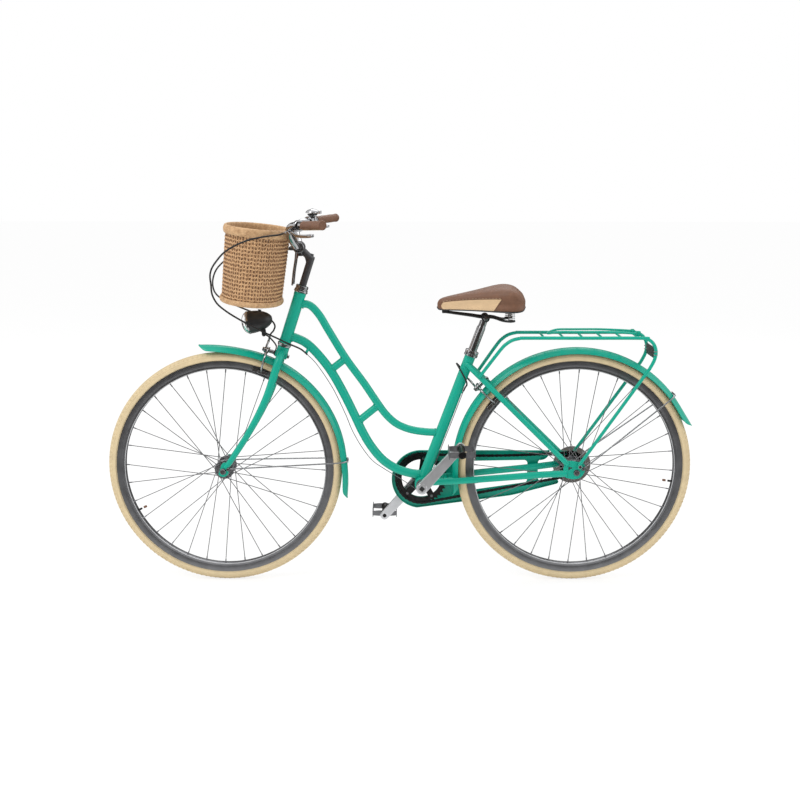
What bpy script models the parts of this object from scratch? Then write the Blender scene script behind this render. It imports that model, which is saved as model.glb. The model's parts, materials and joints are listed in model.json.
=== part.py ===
"""Step-through city bicycle with basket, carrier, mudguards and chain guard.

Metres, +Z up. The front points along -X and the drive side is +Y. The origin is on the
ground, halfway between the axles.
"""
from math import acos, asin, atan2, cos, pi, radians, sin

import bmesh
import bpy
from mathutils import Matrix, Vector

X_AXIS = Vector((1, 0, 0))
Y_AXIS = Vector((0, 1, 0))
Z_AXIS = Vector((0, 0, 1))
SIDES = ((-1, "left"), (1, "right"))

# Room between pieces that touch, and room of a running fit
GAP = 0.0003
RUNNING_GAP = 0.0006

# Wheels, with the room that the mudguards leave over the tyres and between each other
RIM_RADIUS = 0.3265
TYRE_HEIGHT = 0.0225
TYRE_RADIUS = RIM_RADIUS + TYRE_HEIGHT
GUARD_CLEARANCE = 0.0145
GUARD_RADIUS = TYRE_RADIUS + GUARD_CLEARANCE
GUARDS_APART = 0.315
WHEELBASE = 2 * GUARD_RADIUS + GUARDS_APART
TYRE_SECTION = 0.019
TYRE_WALL = 0.003
TUBE_SECTION = 0.008
RIM_DEPTH = 0.028
RIM_HALF_WIDTH = 0.0125
RIM_WALL = 0.0018
RIM_WELL = 0.010
VALVE_RADIUS = 0.003
VALVE_SHOWN = 0.027
FRONT_VALVE_ANGLE = radians(206.6)
REAR_VALVE_ANGLE = radians(-8.2)
WHEEL_SEGMENTS = 32
SPOKE_COUNT = 32
SPOKE_RADIUS = 0.001
SPOKE_CROSS_ANGLE = radians(67.5)
SPOKE_START = radians(20.8)
SPOKE_HOLE_RADIUS = 0.0222
SPOKE_LACE_OFFSET = 0.0013
SPOKE_RIM_OFFSET = 0.003
FLANGE_RADIUS = 0.0285
FLANGE_THICKNESS = 0.0048
FRONT_FLANGE_Y = 0.030
REAR_FLANGE_Y = 0.028
HUB_RADIUS = 0.015
HUB_END_RADIUS = 0.0125
FRONT_HUB_END = 0.0345
REAR_HUB_END = 0.0395
AXLE_RADIUS = 0.005
CONE_RADIUS = 0.0085
AXLE_NUT_RADIUS = 0.0092
AXLE_NUT_WIDTH = 0.008
DROPOUT_THICKNESS = 0.005
FRONT_DROPOUT_Y = 0.050
REAR_DROPOUT_Y = 0.060
PROTECTOR_RADIUS = 0.057
PROTECTOR_Y = 0.034
PROTECTOR_THICKNESS = 0.0015

# Fork and headset
HEAD_ANGLE = radians(72)
FORK_RAKE = 0.059
CROWN_BOSS_RADIUS = 0.0105
CROWN_BOSS_GAP = 0.004
BRAKE_PIVOT_ALONG = GUARD_RADIUS + CROWN_BOSS_GAP + CROWN_BOSS_RADIUS
CROWN_ABOVE_PIVOT = 0.0365
FORK_LENGTH = BRAKE_PIVOT_ALONG + CROWN_ABOVE_PIVOT
HEAD_LENGTH = 0.156
HEAD_TUBE_RADIUS = 0.017
STEERER_RADIUS = 0.013
CUP_RADIUS = 0.0205
CUP_HEIGHT = 0.011
LOCKNUT_HEIGHT = 0.009
CROWN_RADIUS = 0.0175
CROWN_HEIGHT = 0.020
BLADE_RADIUS = 0.0115
BLADE_TIP_RADIUS = 0.008
BLADE_SPREAD = 0.0435
BLADE_BEND_START = 0.28
FRONT_DROPOUT_RADIUS = 0.017
CROWN_BOSS_BACK = 0.018
CROWN_BOSS_FRONT = 0.018

# Frame tubes
TUBE_SLACK = 0.0007
GUARD_TO_CRANKS = 0.0915
CHAIN_STAY_REACH = GUARD_RADIUS + GUARD_TO_CRANKS
BOTTOM_BRACKET_DROP = 0.046
SEAT_ANGLE = radians(69.7)
SEAT_TUBE_LENGTH = 0.424
SEAT_TUBE_RADIUS = 0.016
UPPER_TUBE_RADIUS = 0.01125
LOWER_TUBE_RADIUS = 0.013
STRUT_RADIUS = 0.011
BB_SHELL_RADIUS = 0.0205
BB_SHELL_LENGTH = 0.068
BB_BORE_RADIUS = 0.0172
SEAT_STAY_RADIUS = 0.008
SEAT_STAY_TOP = 0.383
CHAIN_STAY_HALF_WIDTH = 0.0065
CHAIN_STAY_HALF_HEIGHT = 0.010
BRIDGE_RADIUS = 0.007
BRIDGE_GAP = 0.0075
BRIDGE_DISTANCE = GUARD_RADIUS + BRIDGE_GAP + BRIDGE_RADIUS
SEAT_BRIDGE_ANGLE = radians(135.6)
CHAIN_BRIDGE_GAP = 0.0135
CHAIN_BRIDGE_DISTANCE = GUARD_RADIUS + CHAIN_BRIDGE_GAP + BRIDGE_RADIUS
UPPER_TUBE_HEAD_SEAT = 0.119
UPPER_TUBE_SEAT_SEAT = 0.163
LOWER_TUBE_HEAD_SEAT = 0.021
LOWER_TUBE_SEAT_SEAT = 0.025
# Shares of the run between a tube's two ends, along X and along Z
UPPER_TUBE_SHAPE = ((0.083, 0.003), (0.152, 0.078), (0.221, 0.207), (0.335, 0.416), (0.459, 0.607),
                    (0.550, 0.759), (0.615, 0.858), (0.690, 0.932), (0.786, 0.976), (0.894, 0.995))
LOWER_TUBE_SHAPE = ((0.060, 0.012), (0.149, 0.057), (0.248, 0.158), (0.329, 0.268), (0.412, 0.416),
                    (0.485, 0.564), (0.540, 0.680), (0.605, 0.790), (0.690, 0.890), (0.790, 0.955),
                    (0.900, 0.990))
STRUTS = ((0.272, 0.372), (0.555, 0.650))
SEAT_STAY_BRIDGE_Y = 0.040
SEAT_STAY_TOP_Y = 0.014
CHAIN_STAY_BRIDGE_Y = 0.0325
CHAIN_BRIDGE_ANGLE = radians(185.5)
# Shares along a chain stay from the crank end, and its distance out there
CHAIN_STAY_SHAPE = ((0.12, 0.0285), (0.19, 0.0325), (0.26, 0.0375), (0.50, 0.0435), (0.80, 0.0495),
                    (0.87, 0.0530))
GUARD_MOUNT = 4
SEAT_BORE_DEPTH = 0.200
# Corners of the rear dropout, back and up from the axle
DROPOUT_OUTLINE = ((-0.036, -0.014), (-0.012, -0.020), (0.008, -0.018), (0.020, -0.006), (0.027, 0.014),
                   (0.022, 0.026), (0.006, 0.031), (-0.016, 0.036), (-0.034, 0.034), (-0.040, 0.006))
# Bosses that hold the rear brake cable: a share of the lower tube or a height up the seat tube, and
# the way from there to the cable
CABLE_STOP_SHARE = 0.12
CABLE_STOP_REACH = (-0.0100, -0.0204, -0.0182)
CABLE_STOP_ALONG = 0.2998
SEAT_CABLE_STOP_REACH = (0.0164, -0.01145, -0.0061)

# Drive
CRANK_LENGTH = 0.168
CRANK_ANGLE = radians(48)
CRANK_Y = 0.0715
CRANK_THICKNESS = 0.013
CRANK_BOSS_RADIUS = 0.0175
CRANK_EYE_RADIUS = 0.013
SPINDLE_RADIUS = 0.008
CHAIN_PITCH = 0.0127
CHAINRING_TEETH = 38
SPROCKET_TEETH = 18
CHAIN_LINE = 0.0435
CHAIN_HALF_WIDTH = 0.004
CHAIN_HALF_HEIGHT = 0.0034
RING_THICKNESS = 0.003
RING_WIDTH = 0.013
RING_ARC_STEPS = 16
SPROCKET_ARC_STEPS = 10
SPIDER_ARMS = 5
SPIDER_ARM_WIDTH = 0.020
PEDAL_AXLE_RADIUS = 0.006
PEDAL_START_Y = 0.088
PEDAL_WIDTH = 0.090
PEDAL_LENGTH = 0.076
PEDAL_HEIGHT = 0.026
PEDAL_PLATE = 0.0028
PEDAL_BARREL_RADIUS = 0.011

# Mudguards
GUARD_HALF_WIDTH = 0.027
GUARD_DEPTH = 0.0155
GUARD_THICKNESS = 0.0012
# How far a mudguard's ends flare out, and over what turn
FRONT_FLARE = (0.0125, radians(22), 1.6)
REAR_FLARE = (0.0075, radians(12), 2.0)
FRONT_GUARD_START = radians(100.5)
FRONT_GUARD_END = radians(-14.5)
REAR_GUARD_START = radians(20.5)
REAR_GUARD_END = radians(193)
GUARD_STAY_RADIUS = 0.0022
GUARD_STAY_FLAT = 0.030
STAY_SLACK = 0.0002
FRONT_STAY_ANGLE = radians(3.5)
REAR_STAY_ANGLE = radians(37.7)

# Chain guard
CHAIN_GUARD_Y = 0.0605
CHAIN_GUARD_THICKNESS = 0.0012
CHAIN_GUARD_FLANGE = 0.0085
CHAIN_GUARD_RADIUS = 0.090
CHAIN_GUARD_OPENING = 0.062
CHAIN_GUARD_DROP = 0.006
# Corners of the guard's rear branches and of the window between them, from the rear axle
CHAIN_GUARD_TAIL = ((-0.312, -0.1245), (-0.174, -0.1005), (-0.0385, -0.0645), (-0.0350, -0.0570),
                    (-0.0480, -0.0490), (-0.0960, -0.0560), (-0.0990, -0.0500), (-0.0990, 0.0020),
                    (-0.0940, 0.0085), (-0.0780, 0.0120), (-0.0660, 0.0250), (-0.0645, 0.0420))
CHAIN_GUARD_WINDOW = ((-0.335, -0.0880), (-0.290, -0.0855), (-0.134, -0.0625), (-0.131, -0.0560),
                      (-0.131, 0.0010), (-0.137, 0.0075), (-0.335, 0.0040))

# Brakes
BRAKE_PAD_RADIUS = RIM_RADIUS - 0.0125
BRAKE_PAD_CLEARANCE = 0.0025
BRAKE_BOLT_RADIUS = 0.003
BRAKE_ARM_THICKNESS = 0.007
BRAKE_FRONT_OFFSET = 0.038
BRAKE_ARM_RADIUS = 0.0045
BRAKE_PAD_LENGTH = 0.046
ARM_SLACK = 0.0004
BRAKE_PAD_HEIGHT = 0.009
BRAKE_PAD_WIDTH = 0.009
BRAKE_SPACER_START = {"front": 0.0216, "rear": BRIDGE_RADIUS + GAP}
REAR_BRAKE_FIRST_PLANE = 0.022

# Seat
SEAT_POST_RADIUS = 0.0127
SEAT_POST_INSERT = 0.110
SEAT_POST_SHOWN = 0.098
CLAMP_RISE = 0.008
COLLAR_RADIUS = 0.020
COLLAR_HEIGHT = 0.016
CLAMP_RADIUS = 0.012
CLAMP_HALF_WIDTH = 0.026
RAIL_RADIUS = 0.0035
RAIL_SPREAD = 0.020
SADDLE_RISE = 0.03142
SPRING_RADIUS = 0.0095
SPRING_WIRE_RADIUS = 0.0013
SPRING_TURNS = 5
SPRING_SPREAD = 0.045
SPRING_BEHIND = 0.0749
SPRING_HEIGHT = 0.027
SADDLE_PIVOT_AHEAD = 0.1051
# Along the saddle from nose to tail: back from the post's top, half width, and underside and crown
# over the saddle's floor
SADDLE_STATIONS = (
    (-0.1371, 0.006, 0.005, 0.018), (-0.1331, 0.014, 0.001, 0.026), (-0.1231, 0.020, 0.000, 0.033),
    (-0.1021, 0.025, 0.000, 0.039), (-0.0751, 0.030, 0.000, 0.045), (-0.0471, 0.039, 0.000, 0.051),
    (-0.0191, 0.052, 0.000, 0.057), (0.0069, 0.068, 0.000, 0.063), (0.0309, 0.083, 0.000, 0.068),
    (0.0549, 0.094, 0.000, 0.071), (0.0769, 0.099, 0.000, 0.069), (0.0939, 0.095, 0.001, 0.062),
    (0.1059, 0.083, 0.004, 0.051), (0.1129, 0.062, 0.012, 0.037))

# Handlebar and stem
QUILL_RADIUS = 0.0105
QUILL_INSERT = 0.075
STEM_RISE = 0.1175
STEM_ARM_LIFT = 0.006
STEM_REACH = 0.042
STEM_ARM_RADIUS = 0.0105
BAR_RADIUS = 0.0111
BAR_CLAMP_RADIUS = 0.0175
BAR_CLAMP_HALF_WIDTH = 0.016
# Offsets from the clamp's centre to points of the half bar: back, out, up
BAR_SHAPE = ((0.0, 0.0, 0.0), (0.0, 0.018, 0.0), (-0.0004, 0.030, 0.0006), (-0.004, 0.050, 0.006),
             (-0.012, 0.075, 0.022), (-0.0175, 0.098, 0.039), (-0.0155, 0.118, 0.0535),
             (-0.0085, 0.136, 0.0625))
BAR_STRAIGHT = 0.060
BAR_SLACK = 0.0003
GRIP_START = (0.032, 0.205, 0.069)
GRIP_END = (0.0885, 0.308, 0.074)
GRIP_RADIUS = 0.0138
GRIP_WALL_END = 0.004
PERCH_INBOARD = 0.034
PERCH_RADIUS = 0.0155
PERCH_HALF_LENGTH = 0.008
LEVER_AHEAD = 0.028
LEVER_BELOW = 0.026
LEVER_PIVOT_AHEAD = 0.026
LEVER_PIVOT_BELOW = 0.016
LEVER_PIN_RADIUS = 0.002
LEVER_BOSS_RADIUS = 0.0062
LEVER_BOSS_HALF_HEIGHT = 0.004
LEVER_BALL_RADIUS = 0.005
BELL_INBOARD = 0.014
BELL_RADIUS = 0.0205
BELL_BASE_RADIUS = 0.0155
BELL_BASE_HEIGHT = 0.0195
BELL_RIM_HEIGHT = 0.0246
BELL_DOME_HEIGHT = 0.0125
BELL_SHELL = 0.0015

# Basket
BASKET_TILT = radians(6.6)
BASKET_HALF_DEPTH = 0.0915
BASKET_HALF_WIDTH = 0.1765
BASKET_FLOOR_SCALE = 0.928
BASKET_HEIGHT = 0.218
BASKET_WALL = 0.005
BASKET_BAND = 0.005
BASKET_BAND_HEIGHT = 0.024
BASKET_SQUARENESS = 2.1
BASKET_REACH = 0.1155
BASKET_RIM_RISE = 0.0597
BRACKET_ROD_RADIUS = 0.003
BRACKET_SPREAD = 0.023
# The bracket's free tail, from the handlebar's clamp
BRACKET_TAIL = ((-0.007, 0, -0.0125), (-0.0100, 0, -0.0385), (-0.0150, 0, -0.0675), (-0.0195, 0, -0.1060))

# Headlight
LAMP_RADIUS = 0.033
LAMP_LENGTH = 0.071
LAMP_LENS_LENGTH = 0.019
LAMP_SHELL = 0.002
LAMP_DIP = radians(10)
LAMP_KNUCKLE_ALONG = BRAKE_PIVOT_ALONG + 0.0426
LAMP_KNUCKLE_AHEAD = 0.0653
LAMP_FORWARD = 0.0457
LAMP_RISE = 0.0334
LAMP_KNUCKLE_RADIUS = 0.006
LAMP_PIN_RADIUS = 0.0025

# Carrier
CARRIER_TUBE_RADIUS = 0.005
CARRIER_HALF_WIDTH = 0.063
CARRIER_CLEARANCE = 0.0355
CARRIER_HEIGHT = TYRE_RADIUS + GUARD_RADIUS + CARRIER_CLEARANCE
CARRIER_BAR_RADIUS = 0.003
CARRIER_BARS = 5
CARRIER_BAR_AHEAD = 0.104
CARRIER_BAR_STEP = 0.056
CARRIER_PLATE_BEHIND = 0.2165
CARRIER_PLATE_BELOW = 0.045
CLIP_ROD_RADIUS = 0.0025
CLIP_HINGE_BEHIND = 0.169
CLIP_LIFT = 0.0085
CLIP_HALF_WIDTH = 0.034
LUG_THICKNESS = 0.003

# Cables
CABLE_RADIUS = 0.0025
CABLE_SLACK = 0.0009

# Paints: colour, roughness, metallic
GREEN = ((0.010, 0.48, 0.34), 0.28, 0.0)
CREAM_RUBBER = ((0.62, 0.51, 0.33), 0.7, 0.0)
BLACK = ((0.012, 0.012, 0.013), 0.45, 0.0)
CHROME = ((0.62, 0.62, 0.63), 0.12, 1.0)
ALLOY = ((0.46, 0.46, 0.47), 0.35, 1.0)
DARK_STEEL = ((0.05, 0.05, 0.052), 0.4, 0.8)
BROWN_LEATHER = ((0.25, 0.13, 0.08), 0.55, 0.0)
WICKER = ((0.56, 0.38, 0.20), 0.7, 0.0)
CLEAR_LENS = ((0.8, 0.82, 0.84), 0.1, 0.0)
CLEAR_PLASTIC = ((0.7, 0.7, 0.7), 0.3, 0.0)

for old in list(bpy.data.objects):
    bpy.data.objects.remove(old)


def paint(name, finish):
    """A material of one plain finish."""
    material = bpy.data.materials.get(name) or bpy.data.materials.new(name)
    material.use_nodes = True
    shader = material.node_tree.nodes["Principled BSDF"]
    colour, roughness, metallic = finish
    shader.inputs["Base Color"].default_value = (*colour, 1)
    shader.inputs["Roughness"].default_value = roughness
    shader.inputs["Metallic"].default_value = metallic
    return material


PAINTS = {
    "green_paint": paint("green_paint", GREEN),
    "cream_rubber": paint("cream_rubber", CREAM_RUBBER),
    "black_plastic": paint("black_plastic", BLACK),
    "chrome": paint("chrome", CHROME),
    "alloy": paint("alloy", ALLOY),
    "dark_steel": paint("dark_steel", DARK_STEEL),
    "brown_leather": paint("brown_leather", BROWN_LEATHER),
    "wicker": paint("wicker", WICKER),
    "clear_lens": paint("clear_lens", CLEAR_LENS),
    "clear_plastic": paint("clear_plastic", CLEAR_PLASTIC),
}


# Tools that shape a piece

def finish(name, mesh_data, finish_name):
    """Turn a bmesh into an object with faces out, smooth round sides and one material."""
    bmesh.ops.recalc_face_normals(mesh_data, faces=mesh_data.faces)
    mesh = bpy.data.meshes.new(name)
    mesh_data.to_mesh(mesh)
    mesh_data.free()
    mesh.shade_smooth()
    mesh.set_sharp_from_angle(angle=radians(40))
    mesh.materials.append(PAINTS[finish_name])
    piece = bpy.data.objects.new(name, mesh)
    bpy.context.scene.collection.objects.link(piece)
    return piece


def loft(name, rings, finish_name, closed=False):
    """Skin a row of rings of equal point counts; open rows get flat ends."""
    shape = bmesh.new()
    rows = [[shape.verts.new(point) for point in ring] for ring in rings]
    count = len(rows[0])
    pairs = list(zip(rows, rows[1:]))
    if closed:
        pairs.append((rows[-1], rows[0]))
    for row, following in pairs:
        for i in range(count):
            j = (i + 1) % count
            shape.faces.new((row[i], row[j], following[j], following[i]))
    if not closed:
        shape.faces.new(rows[0])
        shape.faces.new(rows[-1])
    return finish(name, shape, finish_name)


def smooth(points, steps):
    """Points along one smooth curve through the given points."""
    knots = [Vector(point) for point in points]
    knots = [2 * knots[0] - knots[1]] + knots + [2 * knots[-1] - knots[-2]]
    path = []
    for a, b, c, d in zip(knots, knots[1:], knots[2:], knots[3:]):
        for i in range(steps):
            t = i / steps
            path.append((2 * b + (c - a) * t + (2 * a - 5 * b + 4 * c - d) * t ** 2
                         + (3 * b - 3 * c + d - a) * t ** 3) / 2)
    path.append(knots[-2])
    return path


def lean(path, slack):
    """Drop the points of a path that a straight run passes closer than the slack."""
    kept, last = [path[0]], 0
    for i in range(2, len(path)):
        start = path[last]
        way = (path[i] - start).normalized()
        between = [point - start for point in path[last + 1:i]]
        if any((run - way * run.dot(way)).length > slack for run in between):
            last = i - 1
            kept.append(path[last])
    return kept + [path[-1]]


def flat_bar(half_width, half_height):
    """The radii that give a four-sided tube these half sizes."""
    return half_width * 2 ** 0.5, half_height * 2 ** 0.5


def tube(name, path, radii, finish_name, sides=8, across=Y_AXIS):
    """A round or oval rod along a path. radii is one radius, or one value or pair per point.

    A pair is the half width towards across and the half width square to it.
    """
    path = [Vector(point) for point in path]
    if isinstance(radii, (int, float)):
        radii = [radii] * len(path)
    rings = []
    for i, point in enumerate(path):
        before = path[max(i - 1, 0)]
        after = path[min(i + 1, len(path) - 1)]
        tangent = (after - before).normalized()
        u = (across - tangent * across.dot(tangent)).normalized()
        v = tangent.cross(u)
        wide, high = radii[i] if isinstance(radii[i], tuple) else (radii[i], radii[i])
        turns = [2 * pi * (k + 0.5) / sides for k in range(sides)]
        rings.append([point + u * wide * cos(t) + v * high * sin(t) for t in turns])
    return loft(name, rings, finish_name)


def turned(name, profile, origin, axis, segments, finish_name, phase=0.0):
    """Turn a profile of (radius, height) pairs about an axis.

    A profile that starts and ends on the axis gives a solid; any other is closed into a ring.
    """
    axis = Vector(axis).normalized()
    helper = X_AXIS if abs(axis.dot(X_AXIS)) < 0.9 else Z_AXIS
    u = (helper - axis * helper.dot(axis)).normalized()
    v = axis.cross(u)
    origin = Vector(origin)
    shape = bmesh.new()
    rows = []
    for radius, height in profile:
        centre = origin + axis * height
        if radius == 0:
            rows.append([shape.verts.new(centre)])
            continue
        turns = [2 * pi * (k + phase) / segments for k in range(segments)]
        rows.append([shape.verts.new(centre + (u * cos(t) + v * sin(t)) * radius) for t in turns])
    pairs = list(zip(rows, rows[1:]))
    if profile[0][0] != 0:
        pairs.append((rows[-1], rows[0]))
    for row, following in pairs:
        for k in range(segments):
            m = (k + 1) % segments
            if len(row) == 1:
                shape.faces.new((row[0], following[m], following[k]))
            elif len(following) == 1:
                shape.faces.new((row[k], row[m], following[0]))
            else:
                shape.faces.new((row[k], row[m], following[m], following[k]))
    return finish(name, shape, finish_name)


def rod(name, start, end, radius, finish_name, sides=8):
    """A straight round bar between two points."""
    start = Vector(start)
    reach = Vector(end) - start
    profile = [(0, 0), (radius, 0), (radius, reach.length), (0, reach.length)]
    return turned(name, profile, start, reach, sides, finish_name)


def plate(name, outline, origin, u, v, thickness, finish_name):
    """Extrude an outline of (u, v) pairs both ways from its plane."""
    origin, u, v = Vector(origin), Vector(u), Vector(v)
    normal = u.cross(v).normalized()
    rings = [[origin + u * a + v * b + normal * offset for a, b in outline]
             for offset in (-thickness / 2, thickness / 2)]
    return loft(name, rings, finish_name)


def block(name, centre, size, u, v, finish_name):
    """A box with its sides along u, v and their normal."""
    a, b = size[0] / 2, size[1] / 2
    return plate(name, ((-a, -b), (a, -b), (a, b), (-a, b)), centre, u, v, size[2], finish_name)


def join(base, *pieces, operation="UNION"):
    """Join or cut pieces with Booleans; the pieces stay hidden guides."""
    for piece in pieces:
        change = base.modifiers.new(piece.name, "BOOLEAN")
        change.operation = operation
        change.object = piece
        piece.hide_render = True
        piece.display_type = "WIRE"
    return base


def gather(name, pieces):
    """One object of several pieces that don't touch."""
    shape = bmesh.new()
    for piece in pieces:
        shape.from_mesh(piece.data)
        bpy.data.objects.remove(piece)
    return finish(name, shape, "green_paint")


def cut(base, *pieces):
    """Cut pieces that don't touch each other out of a base, in one step."""
    return join(base, gather(base.name + "_cuts", pieces), operation="DIFFERENCE")


def bore(radius, sides, room=GAP):
    """The radius of a faceted hole that a round bar of this radius clears."""
    return (radius + room) / cos(pi / sides)


def body(name, place):
    """An empty on a joint's axis, for the pieces that move with it."""
    holder = bpy.data.objects.new(name, None)
    holder.location = place
    bpy.context.scene.collection.objects.link(holder)
    return holder


def carry(holder, *pieces):
    """Parent pieces to an empty and leave them where they are."""
    for piece in pieces:
        piece.parent = holder
        piece.matrix_parent_inverse = Matrix.Translation(-holder.location)


# Places that the pieces share

front_axle = Vector((-WHEELBASE / 2, 0, TYRE_RADIUS))
rear_axle = Vector((WHEELBASE / 2, 0, TYRE_RADIUS))
steer_up = Vector((cos(HEAD_ANGLE), 0, sin(HEAD_ANGLE)))
steer_ahead = Vector((-sin(HEAD_ANGLE), 0, cos(HEAD_ANGLE)))
steer_foot = front_axle - steer_ahead * FORK_RAKE
rear_brake_ahead = Vector((-sin(SEAT_BRIDGE_ANGLE), 0, cos(SEAT_BRIDGE_ANGLE)))
head_top = FORK_LENGTH + HEAD_LENGTH
bottom_bracket = rear_axle + Vector((-CHAIN_STAY_REACH, 0, -BOTTOM_BRACKET_DROP))
seat_up = Vector((cos(SEAT_ANGLE), 0, sin(SEAT_ANGLE)))
chain_stay_start = bottom_bracket + Vector((0.008, 0, 0.004))
chain_stay_foot = rear_axle + Vector((-0.028, 0, -0.003))


def steer(along, ahead=0.0, side=0.0):
    """A point by its distance up the steering axis, ahead of it and to the right."""
    return steer_foot + steer_up * along + steer_ahead * ahead + Y_AXIS * side


def seat(along, side=0.0):
    """A point up the seat tube's axis."""
    return bottom_bracket + seat_up * along + Y_AXIS * side


def around(centre, radius, angle, side=0.0):
    """A point at a radius and an angle from +X in a wheel's plane."""
    return centre + Vector((radius * cos(angle), side, radius * sin(angle)))


post_top = seat(SEAT_TUBE_LENGTH + SEAT_POST_SHOWN)
saddle_floor = post_top.z + SADDLE_RISE
saddle_pivot_x = post_top.x - SADDLE_PIVOT_AHEAD
spring_x = post_top.x + SPRING_BEHIND
spring_foot = saddle_floor - SPRING_HEIGHT


def span(start, end, shape):
    """A tube's path: its ends and the shares of the run between them."""
    run = end - start
    between = [start + Vector((run.x * along, 0, run.z * up)) for along, up in shape]
    return [start, *between, end]


def at_share(path, share):
    """The point at a share of a path's length."""
    lengths = [(b - a).length for a, b in zip(path, path[1:])]
    left = share * sum(lengths)
    for a, b, length in zip(path, path[1:], lengths):
        if left <= length:
            return a.lerp(b, left / length)
        left -= length
    return path[-1]


# Frame

def dropout(name, side, outline, thickness, centre, inner):
    """A plate that carries an axle."""
    place = centre + Y_AXIS * side * (inner + thickness / 2)
    return plate(name, outline, place, X_AXIS, Z_AXIS, thickness, "green_paint")


def frame():
    """The welded frame: head, main and seat tubes, struts, stays and dropouts."""
    head = turned("frame", [(0, 0), (HEAD_TUBE_RADIUS, 0), (HEAD_TUBE_RADIUS, HEAD_LENGTH),
                            (0, HEAD_LENGTH)], steer(FORK_LENGTH), steer_up, 12, "green_paint")
    upper = span(steer(FORK_LENGTH + UPPER_TUBE_HEAD_SEAT), seat(UPPER_TUBE_SEAT_SEAT), UPPER_TUBE_SHAPE)
    lower = span(steer(FORK_LENGTH + LOWER_TUBE_HEAD_SEAT), seat(LOWER_TUBE_SEAT_SEAT), LOWER_TUBE_SHAPE)
    upper, lower = lean(smooth(upper, 2), TUBE_SLACK), lean(smooth(lower, 2), TUBE_SLACK)
    parts = [tube("upper_tube", upper, UPPER_TUBE_RADIUS, "green_paint", 8),
             tube("lower_tube", lower, LOWER_TUBE_RADIUS, "green_paint", 8),
             rod("seat_tube", seat(0), seat(SEAT_TUBE_LENGTH), SEAT_TUBE_RADIUS, "green_paint", 12),
             rod("bb_shell", bottom_bracket - Y_AXIS * BB_SHELL_LENGTH / 2,
                 bottom_bracket + Y_AXIS * BB_SHELL_LENGTH / 2, BB_SHELL_RADIUS, "green_paint", 12)]
    for number, (low, high) in enumerate(STRUTS):
        parts.append(rod("strut_%d" % number, at_share(lower, low), at_share(upper, high),
                         STRUT_RADIUS, "green_paint", 8))
    for side, tag in SIDES:
        parts += [seat_stay(side, tag), chain_stay(side, tag), rear_dropout(side, tag)]
    bridge_side = SEAT_STAY_BRIDGE_Y
    seat_bridge = around(rear_axle, BRIDGE_DISTANCE, SEAT_BRIDGE_ANGLE)
    parts.append(rod("seat_bridge", seat_bridge - Y_AXIS * bridge_side,
                     seat_bridge + Y_AXIS * bridge_side, BRIDGE_RADIUS, "green_paint"))
    chain_bridge = around(rear_axle, CHAIN_BRIDGE_DISTANCE, CHAIN_BRIDGE_ANGLE)
    parts.append(rod("chain_bridge", chain_bridge - Y_AXIS * CHAIN_STAY_BRIDGE_Y,
                     chain_bridge + Y_AXIS * CHAIN_STAY_BRIDGE_Y, BRIDGE_RADIUS, "green_paint"))
    parts += cable_stops(lower)
    join(head, *parts)
    over = 0.01
    cutters = [rod("head_bore", steer(FORK_LENGTH - over), steer(head_top + over),
                   bore(STEERER_RADIUS, 12, RUNNING_GAP), "green_paint", 12),
               rod("seat_bore", seat(SEAT_TUBE_LENGTH - SEAT_BORE_DEPTH), seat(SEAT_TUBE_LENGTH + over),
                   bore(SEAT_POST_RADIUS, 12), "green_paint", 12),
               rod("bb_bore", bottom_bracket - Y_AXIS * BB_SHELL_LENGTH,
                   bottom_bracket + Y_AXIS * BB_SHELL_LENGTH, BB_BORE_RADIUS, "green_paint", 12),
               rod("axle_hole", rear_axle - Y_AXIS * 2 * REAR_DROPOUT_Y,
                   rear_axle + Y_AXIS * 2 * REAR_DROPOUT_Y, bore(AXLE_RADIUS, 8), "green_paint", 8),
               rod("rear_brake_hole", seat_bridge - rear_brake_ahead * 0.02,
                   seat_bridge + rear_brake_ahead * 0.02, bore(BRAKE_BOLT_RADIUS, 8),
                   "green_paint", 8)]
    return cut(head, *cutters)


def seat_stay(side, tag):
    """One seat stay, from the seat tube past the bridge to the dropout."""
    top = seat(SEAT_STAY_TOP, side * SEAT_STAY_TOP_Y)
    bridge = around(rear_axle, BRIDGE_DISTANCE, SEAT_BRIDGE_ANGLE, side * SEAT_STAY_BRIDGE_Y)
    foot = rear_axle + Vector((-0.026, side * (REAR_DROPOUT_Y + DROPOUT_THICKNESS / 2), 0.024))
    middle = bridge.lerp(foot, 0.35) + Y_AXIS * side * 0.004
    path = lean(smooth([top, bridge, middle, foot], 2), TUBE_SLACK)
    return tube("seat_stay_" + tag, path, SEAT_STAY_RADIUS, "green_paint", 8)


def chain_stay(side, tag):
    """One oval chain stay, kept narrow between the chainring and the tyre."""
    foot_y = REAR_DROPOUT_Y + DROPOUT_THICKNESS / 2
    start = chain_stay_start + Y_AXIS * side * 0.024
    foot = chain_stay_foot + Y_AXIS * side * foot_y
    run = foot - start
    path = [start]
    for share, out in CHAIN_STAY_SHAPE:
        path.append(Vector((start.x + run.x * share, side * out, start.z + run.z * share)))
    path = lean(path + [foot], TUBE_SLACK)
    size = (CHAIN_STAY_HALF_WIDTH, CHAIN_STAY_HALF_HEIGHT)
    return tube("chain_stay_" + tag, path, [size] * len(path), "green_paint", 8)


def rear_dropout(side, tag):
    """The plate at the rear axle."""
    return dropout("rear_dropout_" + tag, side, DROPOUT_OUTLINE, DROPOUT_THICKNESS, rear_axle,
                   REAR_DROPOUT_Y)


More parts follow.
